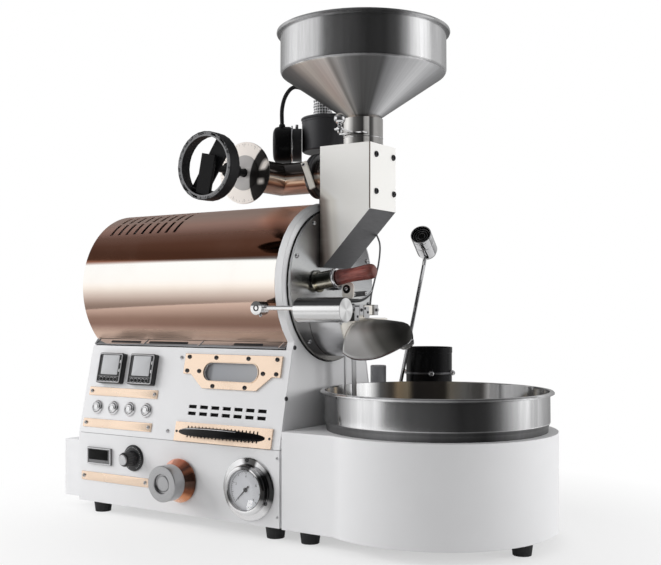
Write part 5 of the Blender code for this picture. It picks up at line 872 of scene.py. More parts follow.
TRAY_REFLECTIONS = {**greys({0.05: 0.30, 0.133: 0.20, 0.17: 0.143, 0.196: 0.54, 0.218: 1.0, 0.238: 0.9, 0.257: 0.95,
                       0.275: 0.60, 0.2915: 0.40, 0.324: 0.30, 0.340: 0.225, 0.356: 0.126, 0.390: 0.11,
                       0.408: 0.21, 0.427: 0.42, 0.447: 0.78, 0.471: 0.98, 0.500: 0.60, 0.548: 0.275}),
              0.64: 0.5, 0.715: 1.0, 0.751: (0.20, 0.19, 0.18), 0.780: (0.9, 0.88, 0.84),
              0.802: (1.0, 0.90, 0.74), 0.812: (0.16, 0.14, 0.12), 0.862: (0.10, 0.09, 0.085),
              0.872: (1.0, 0.82, 0.58), 0.886: (1.0, 0.76, 0.50), 0.896: (0.2, 0.17, 0.14), 0.918: 0.16,
              0.940: 1.0, 0.985: 0.6}
FOOT_SHADED_REFLECTIONS = {**{at: shade(tone, 0.30) for at, tone in list(TRAY_REFLECTIONS.items())[:19:3]}, 1.0: 0.15}
GAUGE_REFLECTIONS = greys({0.0: 0.45, 0.08: 0.30, 0.13: 0.9, 0.24: 0.95, 0.36: 0.9, 0.43: 0.30, 0.46: 0.03,
                     0.60: 0.03, 0.64: 0.7, 0.68: 0.9, 0.70: 0.06, 0.76: 0.10, 0.80: 0.9, 0.90: 0.8,
                     1.0: 0.45})
COPPER_REFLECTIONS = {0.0: (0.9, 0.5, 0.35), 0.18: (1.0, 0.72, 0.56), 0.28: (0.95, 0.52, 0.34),
                0.36: (0.70, 0.30, 0.15), 0.415: (0.22, 0.07, 0.03), 0.48: (0.05, 0.02, 0.012),
                0.56: (0.07, 0.025, 0.015), 0.60: (0.34, 0.11, 0.05), 0.63: (0.10, 0.03, 0.018),
                0.665: (0.30, 0.09, 0.045), 0.70: (0.72, 0.24, 0.14), 0.78: (0.90, 0.42, 0.30),
                1.0: (0.9, 0.5, 0.35)}
# Paints: material, colour or the panel's colour and a factor, roughness, scale and strength of
# the grain, and other values
PAINTS = {
    "cream": ("cream_bracket", (0.93, 0.89, 0.82), 0.32, 700, 0.03),
    # A pale grey laid on the black wheel's front face: painted light
    "rim": ("wheel_rim_grey", (0.20, 0.20, 0.205), 0.38, 900, 0.08),
    "matte_black": ("matte_black_paint", ("black", 1.0), 0.42, 900, 0.10),
    "housing": ("fan_housing_paint", ("black", 1.9), 0.36, 1100, 0.10),
    "gloss_black": ("gloss_black_enamel", ("black", 0.25), 0.24, 160, 0.02, {"Specular_IOR_Level": 0.12}),
    "black_plastic": ("black_plastic", ("black", 0.75), 0.32, 1500, 0.05),
    "rubber": ("black_rubber", ("black", 0.6), 0.62, 700, 0.25),
    "red": ("red_switch_cap", ("red", 1.0), 0.3, 900, 0.03),
    # Dark brown for the painted shadow line at the feed box's corner
    "fold": ("fold_line_brown", (0.11, 0.075, 0.06), 0.5, 900, 0.02),
    "wheel": ("wheel_black", (0.010, 0.010, 0.011), 0.45, 900, 0.08, {"Specular_IOR_Level": 0.2}),
    "mark": ("white_print", (0.82, 0.82, 0.82), 0.5, 900, 0.02),
    # Black print, and painted shade in the seam strips' slots
    "ink_and_shadow": ("black_print", (0.02, 0.02, 0.022), 0.5, 900, 0.02),
    "screen": ("grey_display", (0.44, 0.445, 0.46), 0.22, 300, 0.01,
               {"variation": 0.94, "Coat_Weight": 0.5, "Coat_Roughness": 0.1}),
    "dark_glass": ("dark_display", (0.003, 0.003, 0.003), 0.30, 300, 0.01, {"Specular_IOR_Level": 0.1}),
    "bezel": ("bezel_grey", (0.16, 0.16, 0.165), 0.3, 1500, 0.04),
    "can": ("can_grey_paint", (0.30, 0.305, 0.32), 0.4, 600, 0.05),
    # Near black for painted shade: sheets, lines and discs put where there is only shadow
    "shadow": ("vent_baffle_black", (0.004, 0.004, 0.004), 0.9, 600, 0.05),
}
# Steels: material, colour likewise, roughness, stretch and strength of the grain, and the
# roughness where worn, as a factor
STEELS = {
    "satin": ("satin_steel", ("steel", 1.0), 0.28, (900, 40, 900), 0.05, 1.3),
    "polished": ("polished_steel", ("steel", 1.12), 0.10, (500, 500, 500), 0.015, 1.6),
    "chrome": ("bright_chrome", ("chrome", 1.0), 0.05, (300, 300, 300), 0.01, 1.6),
    "dark_steel": ("dark_steel", ("dark_steel", 1.0), 0.34, (260, 260, 260), 0.25, 1.3),
    "drum": ("drum_steel", ("dark_steel", 1.4), 0.42, (200, 200, 200), 0.3, 1.3),
    "button": ("screw_dark_steel", (0.075, 0.075, 0.08), 0.22, (400, 400, 400), 0.03, 1.3),
    "key_edge": ("key_edge_steel", (0.55, 0.55, 0.56), 0.3, (400, 400, 400), 0.03, 1.3),
}


def make_finishes():
    """Every finish of the roaster, by its name."""
    for key, (name, colour, roughness, *rest) in (PAINTS | STEELS).items():
        colour = wanted(*colour) if isinstance(colour[0], str) else colour
        if key in STEELS:
            stretch, strength, wear = rest
            FINISH[key] = steel(name, colour, roughness, stretch, strength, roughness * wear)
        else:
            FINISH[key] = paint(name, colour, roughness, *rest[:2], **(rest[2] if rest[2:] else {}))
    FINISH["plate"] = steel("rose_gold_plate", wanted("plate"), 0.24, (40, 2500, 2500), 0.06, 0.36, 1.0,
                            160.0)
    FINISH.update(
        white=white_powder("white_powder_coat"), end_plate=white_powder("white_end_plate", True),
        rose=rose_cover(), rose_pipe=rose_pipe(), chute=chute_steel(), port=port_steel(), end=end_steel(),
        scale=scale_plate("damper_scale_cream", (1.0, 0.93, 0.87)),
        scale_middle=scale_plate("damper_scale_grey", (0.50, 0.48, 0.47)),
        wood=wood(), glass=clear_glass(), sight=sight_pane(), dial=dial_paper(), face=face_steel(),
        hood=hood_steel(), weight=weight_steel(), knob=knob_steel(),
        braid=sleeve("steel_braid", (0.95, 0.95, 0.96), (0.10, 0.10, 0.11), 800.0, 0.4),
        lead=sleeve("lead_braid", (0.30, 0.30, 0.31), (0.03, 0.03, 0.032), 3600.0, 0.0),
        hopper=spun_steel("hopper_rolled_steel", (52.5, 0, 600), 0.17, HOPPER_REFLECTIONS, 0.0085, CONE_REFLECTIONS,
                          0.42, 16.0),
        tray=spun_steel("tray_polished_steel", (153, 17, 170), 0.09, TRAY_REFLECTIONS, -0.0185, FOOT_SHADED_REFLECTIONS, 0.30,
                        14.0),
        gauge=round_tones("gauge_chrome", (GAUGE[0], -126, GAUGE[1]), GAUGE_REFLECTIONS, 0.85, 0.08),
        copper=round_tones("copper_dish", (GAS_KNOB[0], 0, GAS_KNOB[1]), COPPER_REFLECTIONS, 0.7, 0.10))


def joined_and_smoothed():
    """The modifier for model nodes: loose triangles merge, and faces under a limit of angle
    shade as one."""
    tree = bpy.data.node_groups.new("joined_and_smoothed", "GeometryNodeTree")
    for way in ("INPUT", "OUTPUT"):
        tree.interface.new_socket("Geometry", in_out=way, socket_type="NodeSocketGeometry")
    net = Net(tree)
    source, sink = tree.nodes.new("NodeGroupInput"), tree.nodes.new("NodeGroupOutput")
    merged = net.add("GeometryNodeMergeByDistance", {"Geometry": source.outputs[0], "Distance": 1e-5})
    angle = net.add("GeometryNodeInputMeshEdgeAngle").outputs["Unsigned Angle"]
    even = net.add("FunctionNodeCompare", data_type="FLOAT", operation="LESS_THAN")
    net.feed(even.inputs["A"], angle)
    net.feed(even.inputs["B"], math.radians(32))
    faces = net.add("GeometryNodeSetShadeSmooth", {"Geometry": merged.outputs[0], "Shade Smooth": True},
                    domain="FACE")
    edges = net.add("GeometryNodeSetShadeSmooth", {"Geometry": faces.outputs[0],
                                                   "Shade Smooth": even.outputs[0]}, domain="EDGE")
    tree.links.new(edges.outputs[0], sink.inputs[0])
    return tree


def dress(node, finish, edge=0.0):
    """Gives a model node its finish, smooth shading and, where asked, edges softened by
    millimetres."""
    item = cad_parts[node]
    if item.material_slots:
        for holder in item.material_slots:
            holder.material = FINISH[finish]
    else:
        item.data.materials.append(FINISH[finish])
    tree = bpy.data.node_groups.get("joined_and_smoothed") or joined_and_smoothed()
    item.modifiers.new("joined", "NODES").node_group = tree
    if edge:
        soft = item.modifiers.new("soft_edges", "BEVEL")
        soft.width = edge / 1000
        soft.segments = 2
        soft.limit_method = "ANGLE"
        soft.angle_limit = math.radians(50)
        soft.use_clamp_overlap = True
        soft.harden_normals = True


# Pieces
DONE = {"FINISHED"}


class ROASTER_OT_prepare(bpy.types.Operator):
    """Build the shared effects and every finish."""
    bl_idname = "roaster.prepare"
    bl_label = "Effects and finishes"

    def execute(self, context):
        make_effects()
        make_finishes()
        return DONE


class ROASTER_OT_shell(bpy.types.Operator):
    """White sheet metal: cabinet, end plates, panel, drive cover and cooling base."""
    bl_idname = "roaster.shell"
    bl_label = "Shell"

    def execute(self, context):
        for node, edge in (("base_cabinet", 0.8), ("left_end_plate", 0.6), ("front_panel", 0),
                           ("drive_cover", 0.8), ("cooling_base", 1.2)):
            dress(node, "white", edge)
        dress("right_end_plate", "end_plate", 1.2)
        lay("cabinet_seam_screws", screws([front(-3.2, z) for z in (30, 105)], 1.8, 1), "satin")
        side = [facing((0, way * y, z), X) for way in (-1, 1) for y, z in ((85, 245), (104, 180), (112, 130))]
        lay("end_plate_screws", screws(side, 3), "dark_steel")
        end = [facing((-412.3, y, z), -X) for z in (28, 88) for y in (-88, 88)]
        lay("drive_cover_screws", screws(end, 2.6), "satin")
        rear = [plane((x, 119, z), -X, Z) for z in (30, 100) for x in (-340, -180, -20)]
        lay("rear_screws", screws(rear, 2.6), "satin")
        return DONE


class ROASTER_OT_casing(bpy.types.Operator):
    """The rose-gold cover with its slots, and the steel seam strips at its feet. The cover's
    point at x and angle t is (x, -radius cos t, axis + radius sin t)."""
    bl_idname = "roaster.casing"
    bl_label = "Drum cover"

    def execute(self, context):
        radius = context.scene.roaster_sizes.casing_radius * 1000
        foot, wall, slot = 252, 1.2, 2.6
        low = math.asin((foot - DRUM_AXIS[2]) / radius)
        rows = np.array([(math.radians(90 - centre) - length / 2 / radius,
                          math.radians(90 - centre) + length / 2 / radius)
                         for centre, length in ((39.5, 27), (25, 22), (12.5, 18))])
        starts = -336.5 + 15.5 * np.arange(9)
        x_lines = np.concatenate((np.linspace(-362.8, -12.4, 25), starts - slot, starts + slot))
        t_lines = np.concatenate((np.linspace(low, math.pi - low, 97), rows.ravel()))

        def in_slot(x, t):
            in_row = ((rows[:, 0] < t[..., None]) & (t[..., None] < rows[:, 1])).any(-1)
            return in_row & (np.abs(x[..., None] - starts) < slot).any(-1)

        def skin(x, t, depth):
            y, z = (depth - radius) * np.cos(t), (radius - depth) * np.sin(t)
            return np.stack((x, y, DRUM_AXIS[2] + z), -1)

        points, faces = sheet_with_holes(x_lines, t_lines, in_slot, skin, (0, wall))
        lay_mesh("drum_cover", points, faces, "rose", "roaster", ("drum_casing",))
        strips, clips, slots = [], [], []
        for side in (-1, 1):
            start = np.array((0, side * 89.7, 243.4))
            end = np.array((0, side * (math.sqrt(radius ** 2 - 75 ** 2) - 0.4), 251.8))
            up = unit(end - start)
            out = np.cross(up, X) * side
            basis, middle = np.array((X, up, out)), (start + end) / 2
            strip = soft_rectangle(349.6, np.linalg.norm(end - start), 0.4, 2)
            strips.append(slab(strip, 1.2, 0.3, (middle - X * 187.6, basis), -1.2))
            for x, width in ((-300.5, 60), (-218, 74), (-75, 50)):
                where = (middle + X * x, basis)
                slots.append(slab(soft_rectangle(width, 4, 1.9, 4), 0.3, 0.1, where, -0.1))
            slant = unit(up + X * 0.5) * 5.2
            clips += [bar(middle + X * x - slant, middle + X * x + slant, 3, 1.6, out, 0.6)
                      for x in (-358.5, -262, -158, -20)]
        lay("seam_strip", strips, "polished")
        # Painted shade: black patches for the seam strips' slots
        lay("seam_slots", slots, "ink_and_shadow")
        lay("seam_clips", clips, "chrome")
        return DONE


class ROASTER_OT_plates(bpy.types.Operator):
    """Blank rose-gold label plates, the window plate with its screws, and a black sheet behind the vents as
    painted shade.
    """
    bl_idname = "roaster.plates"
    bl_label = "Panel plates"

    def execute(self, context):
        labels = ((panel, -287, 61, 135, (-349, -225)), (panel, -289.5, 14.5, 135, (-351.3, -227.8)),
                  (front, -291, 52.8, 132, (-352, -230.5)))
        plates = [slab(soft_rectangle(width, 12.5, 1.2, 4), 1, 0.3, side(x, v))
                  for side, x, v, width, _ in labels]
        lay("label_plates", plates, "plate")
        places = [side(x, v, 1) for side, _, v, _, ends in labels for x in ends]
        lay("label_screws", screws(places, 2.7, 1.5), "satin")
        dress("window_plate", "plate", 0.4)
        dress("sight_glass", "sight")
        x0 = -94.5
        spots = ((75, 116), (27.5, 116), (76, 96.7), (54.5, 96.7), (27.5, 77))
        places = [panel(x0 + way * x, v, PLATE) for x, v in spots for way in (1, -1)]
        lay("window_screws", screws(places, 3, 2), "dark_steel")
        # Painted shade: a black sheet behind the vents' slots
        shadow_sheet = soft_rectangle(146, 20, 2)
        lay("vent_baffle", slab(shadow_sheet, 1, 0.3, panel(-94, 43.35, -3.4)), "shadow")
        lay("panel_screws", screws([panel(-185.6, 114.9), panel(-191.7, 12.2)], 2.6), "satin")
        hole = soft_rectangle(95, 27, 13.4, 12)
        lay("sight_rim", frame_ring(hole, 1.2, 0.8, 0.3, panel(x0, 96.7, PLATE)), "plate")
        return DONE


class ROASTER_OT_drawer(bpy.types.Operator):
    """The chaff drawer: its slotted gold face, steel tray, and black bow pull."""
    bl_idname = "roaster.drawer"
    bl_label = "Chaff drawer"

    def execute(self, context):
        sheet = panel(0, 0)
        starts = -94.75 + 6.2 * (np.arange(20) - 9.5)
        middle, half, slot = 13.6, 7.75, 1.1
        x_lines = np.concatenate(((-177, -12.5), starts - slot, starts + slot))

        def in_slot(x, v):
            return (np.abs(x[..., None] - starts) < slot).any(-1) & (np.abs(v - middle) < half)

        def skin(x, v, off):
            return put(sheet, np.stack((x, v, 0 * x + off), -1))

        points, faces = sheet_with_holes(x_lines, (0, middle - half, middle + half, 26.2), in_slot, skin,
                                         (PLATE, SKIN))
        lay_mesh("drawer_front", points, faces, "plate", "drawer", ("chaff_drawer",))
        self.lay_tray(put(sheet, (0, 3, 0.3)), put(sheet, (0, 22.5, -1.5)))
        self.lay_pull(sheet)
        places = [panel(x, 13.1, PLATE) for x in (-173.5, -16)]
        lay("drawer_screws", screws(places, 1.8, 0.8), "dark_steel", "drawer")
        return DONE

    def lay_tray(self, low, high):
        """The tray's floor, rear and side walls behind the face's lowest and highest line."""
        left, right, thick = -165, -25, 1.5
        rear, floor = low[1] + 175, low[2] + thick / 2
        across, tall, middle = (low[1] + rear) / 2, high[2] - low[2], (low[2] + high[2]) / 2
        back = rear - thick / 2
        walls = [bar((left, across, floor), (right, across, floor), rear - low[1], thick, edge=0.2),
                 bar((left, back, middle), (right, back, middle), thick, tall, edge=0.2)]
        walls += [bar((x, high[1] + 1, middle), (x, rear, middle), thick, tall, edge=0.2)
                  for x in (left + thick / 2, right - thick / 2)]
        lay("drawer_tray_walls", walls, "satin", "drawer")

    def lay_pull(self, sheet):
        """The bow pull: an oval section along an arc, slimmer towards its feet, and a painted highlight:
        a thin line of polished steel along its upper edge."""
        left, right, reach, thick, foot = -172, -21, 18, 3, 1.55
        span = (right - left) / 2
        radius = (span ** 2 + reach ** 2) / (2 * reach)
        half = math.asin(span / radius)
        t = np.linspace(-half, half, 41)
        line = np.stack(((left + right) / 2 + (radius - thick / 2) * np.sin(t), 0 * t + 13,
                         foot + reach - radius + (radius - thick / 2) * np.cos(t)), 1)
        share = 1 - (np.abs(t) / half) ** 3
        wide = 6.2 * np.sqrt(np.clip(share, 0.10, 1))
        deep = (thick / 2 + 0.3) * np.sqrt(np.clip(share, 0.5, 1))
        normal = np.stack((np.sin(t), 0 * t, np.cos(t)), 1)
        u = circle(24)[:, None]
        oval = line + normal * (deep * np.cos(u))[..., None] + Y * (wide * np.sin(u))[..., None]
        grid, closed, _ = capped(oval, line[0], line[-1])
        lay("drawer_pull_bar", (put(sheet, grid), closed, False), "gloss_black", "drawer")
        # Painted highlight: a thin bright line along the pull's upper edge
        upper = line + normal * (deep * 0.72)[:, None] + Y * (wide * 0.70)[:, None]
        lay("drawer_pull_edge", swept(put(sheet, upper[2:30]), 0.6, 10), "polished", "drawer")


class ROASTER_OT_controllers(bpy.types.Operator):
    """Two controllers and a timer: bezels, displays and round keys."""
    bl_idname = "roaster.controllers"
    bl_label = "Controllers"

    def execute(self, context):
        dress("timer", "bezel", 0.6)
        displays, rims, keys, marks, lines = [], [], [], [], []
        top = 8
        key_ring = ((2.8, 0), (3.3, 0), (3.3, 0.5), (2.8, 0.5))
        for x, side in ((-313.7, "left"), (-252.2, "right")):
            lay(side + "_controller_body", slab(soft_rectangle(48.4, 44.4, 3), top, 1, panel(x, 95)),
                "black_plastic", "roaster", (side + "_controller",))
            rims.append(frame_ring(soft_rectangle(46.2, 42.4, 3), 1.6, 0.9, 0.4, panel(x, 95, top)))
            displays.append(slab(soft_rectangle(33, 28.5, 1.2), 0.6, 0.2, panel(x + 0.5, 99.5, top)))
            at_keys = [panel(x - 14.2 + 7.1 * i, 78.6, top) for i in range(5)]
            keys += [slab(soft_circle(2.6, 20), 1.4, 0.5, at) for at in at_keys]
            rims += [ring(key_ring, at, 24) for at in at_keys]
            marks += [slab(soft_rectangle(1.2, 4.6, 0.4), 0.5, 0.2, panel(x + 19.6, v, top))
                      for v in (104.5, 92)]
            lines.append(slab(soft_rectangle(41, 1, 0.4), 0.5, 0.2, panel(x, 82.9, top)))
        lay("controller_rims", rims, "key_edge")
        lay("controller_displays", displays, "screen")
        lay("controller_keys", keys, "rubber")
        lay("controller_marks", marks, "mark")
        lay("controller_lines", lines, "bezel")
        off = 3
        lay("timer_display", slab(soft_rectangle(38, 14.5, 0.8), 0.7, 0.3, front(-320.5, 85.2, off)),
            "dark_glass")
        edge = [frame_ring(soft_rectangle(47, 23, 1), 1.4, 0.8, 0.3, front(-319.5, 83.3, off)),
                slab(soft_rectangle(6.5, 2, 0.9), 0.8, 0.3, front(-307, 74.8, off))]
        lay("timer_rim", edge, "polished")
        lay("timer_key", slab(soft_rectangle(5.2, 1.2, 0.5), 1, 0.3, front(-307, 74.8, off + 0.4)), "rubber")
        return DONE


class ROASTER_OT_buttons(bpy.types.Operator):
    """Four domed push buttons in their bright bezels."""
    bl_idname = "roaster.buttons"
    bl_label = "Buttons"

    def execute(self, context):
        bezel = ((7.4, 0), (10.2, 0), (10.2, 1.2), (8.8, 2.6), (7.6, 2.6))
        cap = ((0, 4), (3.6, 4), (4, 3.4), (5.2, 3.4), (5.8, 4.2), (7.1, 3), (7.1, -1.8),
               (8.5, -1.8), (8.5, -3.2), (4, -3.2), (4, -13.8), (0, -13.8))
        places = [-333.5 + 32.2 * i for i in range(4)]
        for i, x in enumerate(places, 1):
            lay(f"push_button_{i}", lathe(cap, 0.5, 3, panel(x, 38), 56), "chrome", f"key_{i}",
                (f"button_{i}",))
        lay("button_bezels", [hoop(bezel, 0.7, 4, panel(x, 38, 0.1), 56) for x in places], "chrome")
        return DONE


def numerals(name, entries, size, where, lift):
    """Small figures on a plane: each is drawn as a text, made a mesh, and moved to its place."""
    points, faces, start = [], [], 0
    for text, x, y in entries:
        data = bpy.data.curves.new(name, "FONT")
        data.body, data.size, data.align_x, data.align_y = text, size, "CENTER", "CENTER"
        data.resolution_u = 3
        item = bpy.data.objects.new(name, data)
        bpy.context.scene.collection.objects.link(item)
        bpy.context.view_layer.update()
        mesh = item.evaluated_get(bpy.context.evaluated_depsgraph_get()).to_mesh()
        local = np.array([v.co for v in mesh.vertices], float).reshape(-1, 3) + np.array((x, y, lift))
        faces += [[v + start for v in p.vertices] for p in mesh.polygons]
        start += len(local)
        points.append(put(where, local))
        bpy.data.objects.remove(item, do_unlink=True)
        bpy.data.curves.remove(data)
    lay_mesh(name, np.vstack(points), faces, "ink_and_shadow", clean=False)


def ticks(where, count, start, end, inner, outer, width, height=0.2):
    """Short radial marks on a plane, spread evenly from one angle to another, in degrees."""
    origin, basis = where
    mark = soft_rectangle(width, outer - inner, width * 0.2, 1)
    made = []
    for a in np.radians(np.linspace(start, end, count)):
        across, along = np.array((-math.sin(a), math.cos(a), 0)), np.array((math.cos(a), math.sin(a), 0))
        spot = origin + along @ basis * (inner + outer) / 2
        turned_basis = np.array((across, along, np.cross(across, along))) @ basis
        made.append(slab(mark, height, height * 0.3, (spot, turned_basis), 0, 1))
    return made


class ROASTER_OT_controls(bpy.types.Operator):
    """The speed dial with its printed skirt, and the gas knob on its copper dish."""
    bl_idname = "roaster.controls"
    bl_label = "Dial and knob"

    def execute(self, context):
        x, z = -253, 85.5
        at = front(x, z, SKIN)
        skirt = ((0, 3.6), (12.2, 3.6), (17.6, 2), (18.6, 1.2), (18.6, 0), (4, 0), (4, -11.4), (0, -11.4))
        grip = ((0, 21.2), (8.6, 21.2), (10, 19.6), (10.6, 6), (11.2, 3.4), (0, 3.4))
        lay("speed_dial_grip", [lathe(skirt, 0.6, 4, at, 96), lathe(grip, 1, 4, at, 120, 20, 0.7)],
            "black_plastic", "dial", ("speed_dial",), angle=50)
        cap = ((0, 22.8), (6.8, 22.8), (7.4, 22.2), (7.6, 20.8), (0, 20.8))
        lay("speed_dial_cap", lathe(cap, 0.4, 3, at), "satin", "dial")
        face = front(x, z, SKIN + 3)
        marks = ticks(face, 31, -60, 240, 14.8, 16.4, 0.3) + ticks(face, 11, -60, 240, 13.6, 16.4, 0.5)
        marks.append(slab(soft_rectangle(0.9, 5.2, 0.3), 0.3, 0.1, front(x, z + 4.7, SKIN + 22.8)))
        lay("speed_dial_marks", marks, "mark", "dial")
        at = front(*GAS_KNOB, SKIN)
        knob = ((0, 33.6), (12.5, 33.6), (13, 34), (13.2, 37.8), (23.6, 37.8), (24.3, 37),
                (24.3, 18.2), (21.3, 18.2), (20.8, 17), (0, 17))
        boss = ((0, 35.2), (9.8, 35.2), (10.6, 34.4), (10.8, 33.5), (0, 33.5))
        dish = ((0, 16.9), (20.5, 16.9), (21.2, 15), (29.2, 5.2), (29.8, 4), (29.8, 2), (4, 2),
                (4, -11), (0, -11))
        lay("gas_knob_body", lathe(knob, 0.7, 4, at, 112), "knob", "gas", ("gas_knob",))
        lay("gas_knob_boss", lathe(boss, 0.5, 3, at, 80), "knob", "gas")
        lay("gas_knob_dish", lathe(dish, 0.8, 4, at, 112), "copper", "gas")
        return DONE


class ROASTER_OT_gauge(bpy.types.Operator):
    """The pressure gauge: flange, bezel, dial with generic figures, glass and needle."""
    bl_idname = "roaster.gauge"
    bl_label = "Gauge"

    def execute(self, context):
        at = front(*GAUGE, SKIN)
        case = ((0, 5.8), (26.2, 5.8), (26.2, 10.8), (27.4, 11.9), (30.2, 11.9), (32.4, 9.6), (32.6, 2.8),
                (40, 2.4), (40.9, 1.6), (40.9, 0), (25.5, 0), (25.5, -19.9), (0, -19.9))
        lay("gauge_body", lathe(case, 1, 5, at, 128), "gauge", "roaster", ("gauge_case",))
        paper = ((0, 6.1), (25.8, 6.1), (26, 5.9), (0, 5.9))
        lay("gauge_dial", lathe(paper, 0.1, 2, at, 96), "dial")
        face = front(*GAUGE, SKIN + 6.12)
        marks = ticks(face, 41, -45, 225, 21.2, 22.8, 0.25) + ticks(face, 9, -45, 225, 19.6, 22.8, 0.55)
        lay("gauge_marks", marks + ticks(face, 91, -45, 225, 22.8, 23.1, 2), "ink_and_shadow")
        figures = []
        for i in range(0, 9, 2):
            a = math.radians(225 - 270 * i / 8)
            figures.append((str(i), 16.5 * math.cos(a), 16.5 * math.sin(a)))
        numerals("gauge_figures", figures, 4.5, face, 0.1)
        glass = ((0, 10.6), (25.8, 10.2), (26, 9.6), (0, 9.6))
        lay("gauge_glass", lathe(glass, 0.2, 2, at, 96), "glass")
        level = SKIN + 7
        blade = np.array(((-6.6, 1.1), (-3.5, 0.8), (0, 0.7), (19, 0.2), (19.5, 0)))
        a = math.radians(225)
        outline = np.vstack((blade, blade[-2::-1] * (1, -1))) @ np.array(((math.cos(a), math.sin(a)),
                                                                          (-math.sin(a), math.cos(a))))
        needle = slab((outline, outline * 0), 0.6, 0, front(*GAUGE, level), 0, 0)
        hub = ((0, 1.6), (2.2, 1.6), (2.9, 0.9), (2.9, 0), (0, 0))
        lay("gauge_pointer", [needle, lathe(hub, 0.4, 3, front(*GAUGE, level - 0.3), 40)], "ink_and_shadow", "needle",
            ("gauge_needle",))
        places = [front(*spot, 2.6) for spot in ((-49.7, 99.9), (-19.5, 46.1), (-79, 44.5))]
        lay("gauge_screws", screws(places, 2.8, 1.8), "dark_steel")
        return DONE


# Screws of the feed box: their pixels in the photograph
CHUTE_SCREW_PIXELS = ((376, 154), (393, 158), (376, 191), (393.5, 194.5))


def on_feed_box(across, down):
    """The point of the feed box's right side, x = 83, that shows at a pixel. With the share
    k = (across - 330.5) / 1000, y follows from the fitted camera's place and turn, and the
    height is the camera's less (down - 310) / 1000 of the depth."""
    x, sine, cosine, far, eye = 83, 0.5475, 0.8368, 1370, 294
    k = (across - 330.5) / 1000
    y = (k * (far - sine * x) - cosine * x) / (sine - cosine * k)
    return x, y, eye - (down - 310) / 1000 * (far - sine * x + cosine * y)


class ROASTER_OT_chute(bpy.types.Operator):
    """The feed box with its screws and a painted shadow line at its corner, the hopper and the gate."""
    bl_idname = "roaster.chute"
    bl_label = "Feed box and hopper"

    def execute(self, context):
        dress("chute_box", "chute", 0.5)
        places = [facing(on_feed_box(*spot), X) for spot in CHUTE_SCREW_PIXELS]
        lay("chute_screws", screws(places, 4.1, 2.8), "button")
        # Painted shadow: a dark bar along the feed box's corner
        lay("chute_fold", bar((83.2, -34.2, 426.2), (83.2, -34.2, 512.6), 1.4, 1.4, X), "fold")
        axis = plane((52.5, 0, 0))
        lip = ((110, 665.8), (113, 666), (115.5, 665), (116, 663), (115.2, 661.2), (112.5, 660.6))
        outer = ((110.8, 660.2), (111, 611.5), (109, 608), (23.6, 550.5), (22.5, 548.5), (22.5, 534))
        inner = ((21.3, 534), (21.3, 549.8), (22.4, 551.8), (107.8, 609.4), (109.6, 612), (109.6, 664))
        section = np.vstack((lip, rounded(outer, 2.4, 5), inner))
        lay("hopper_bowl", ring(section, axis, 144), "hopper", "roaster", ("hopper",))
        foot = hoop(((26.6, 512.8), (28.4, 512.8), (28, 514.2), (26.6, 514.6)), 0.4, 2, axis, 72)
        line = ring(((26.5, 522.8), (26.7, 522.8), (26.7, 523.4), (26.5, 523.4)), axis, 72)
        lay("socket_rings", [foot, line], "polished")
        # Painted reflection: a thin rose-gold ring for the glint at the cone's foot
        lay("cone_foot_ring", bead(23.3, 1.1, plane((52.5, 0, 548.3)), 72, 10), "plate")
        self.lay_gate(plane((52.5, 0, 527)), plane((52.5, -58.5, 527)))
        return DONE

    def lay_gate(self, level, pull):
        """The slide: a half-round blade, its strap, and the knob at the strap's end."""
        radius, thick = 18.5, 1.8
        strap = np.array(((-6, -31), (-6, -62.5), (-3.5, -65.5), (3.5, -65.5), (6, -62.5), (6, -31)))
        arc = round_about(radius, np.linspace(0, math.pi, 25))
        blade = np.vstack((arc, ((-radius, -30.5), (radius, -30.5))))
        sheets = [slab((outline, 0 * outline), thick, 0, level, -thick / 2, 1) for outline in (strap, blade)]
        ball = round_about(7.5, np.linspace(-math.pi / 2 + 0.4, math.pi / 2, 17)) + (0, 14)
        stem = ((0, -4.5), (2.2, -4.5), (3, -3.8), (3, -1.2), (4.4, -1.1), (4.4, 2.6), (3.1, 3.4), (2.4, 5.2))
        knob = turned(np.vstack((stem, ball)), pull, 48)
        lay("gate_slide", [*sheets, knob], "chrome", "gate", ("hopper_gate",))


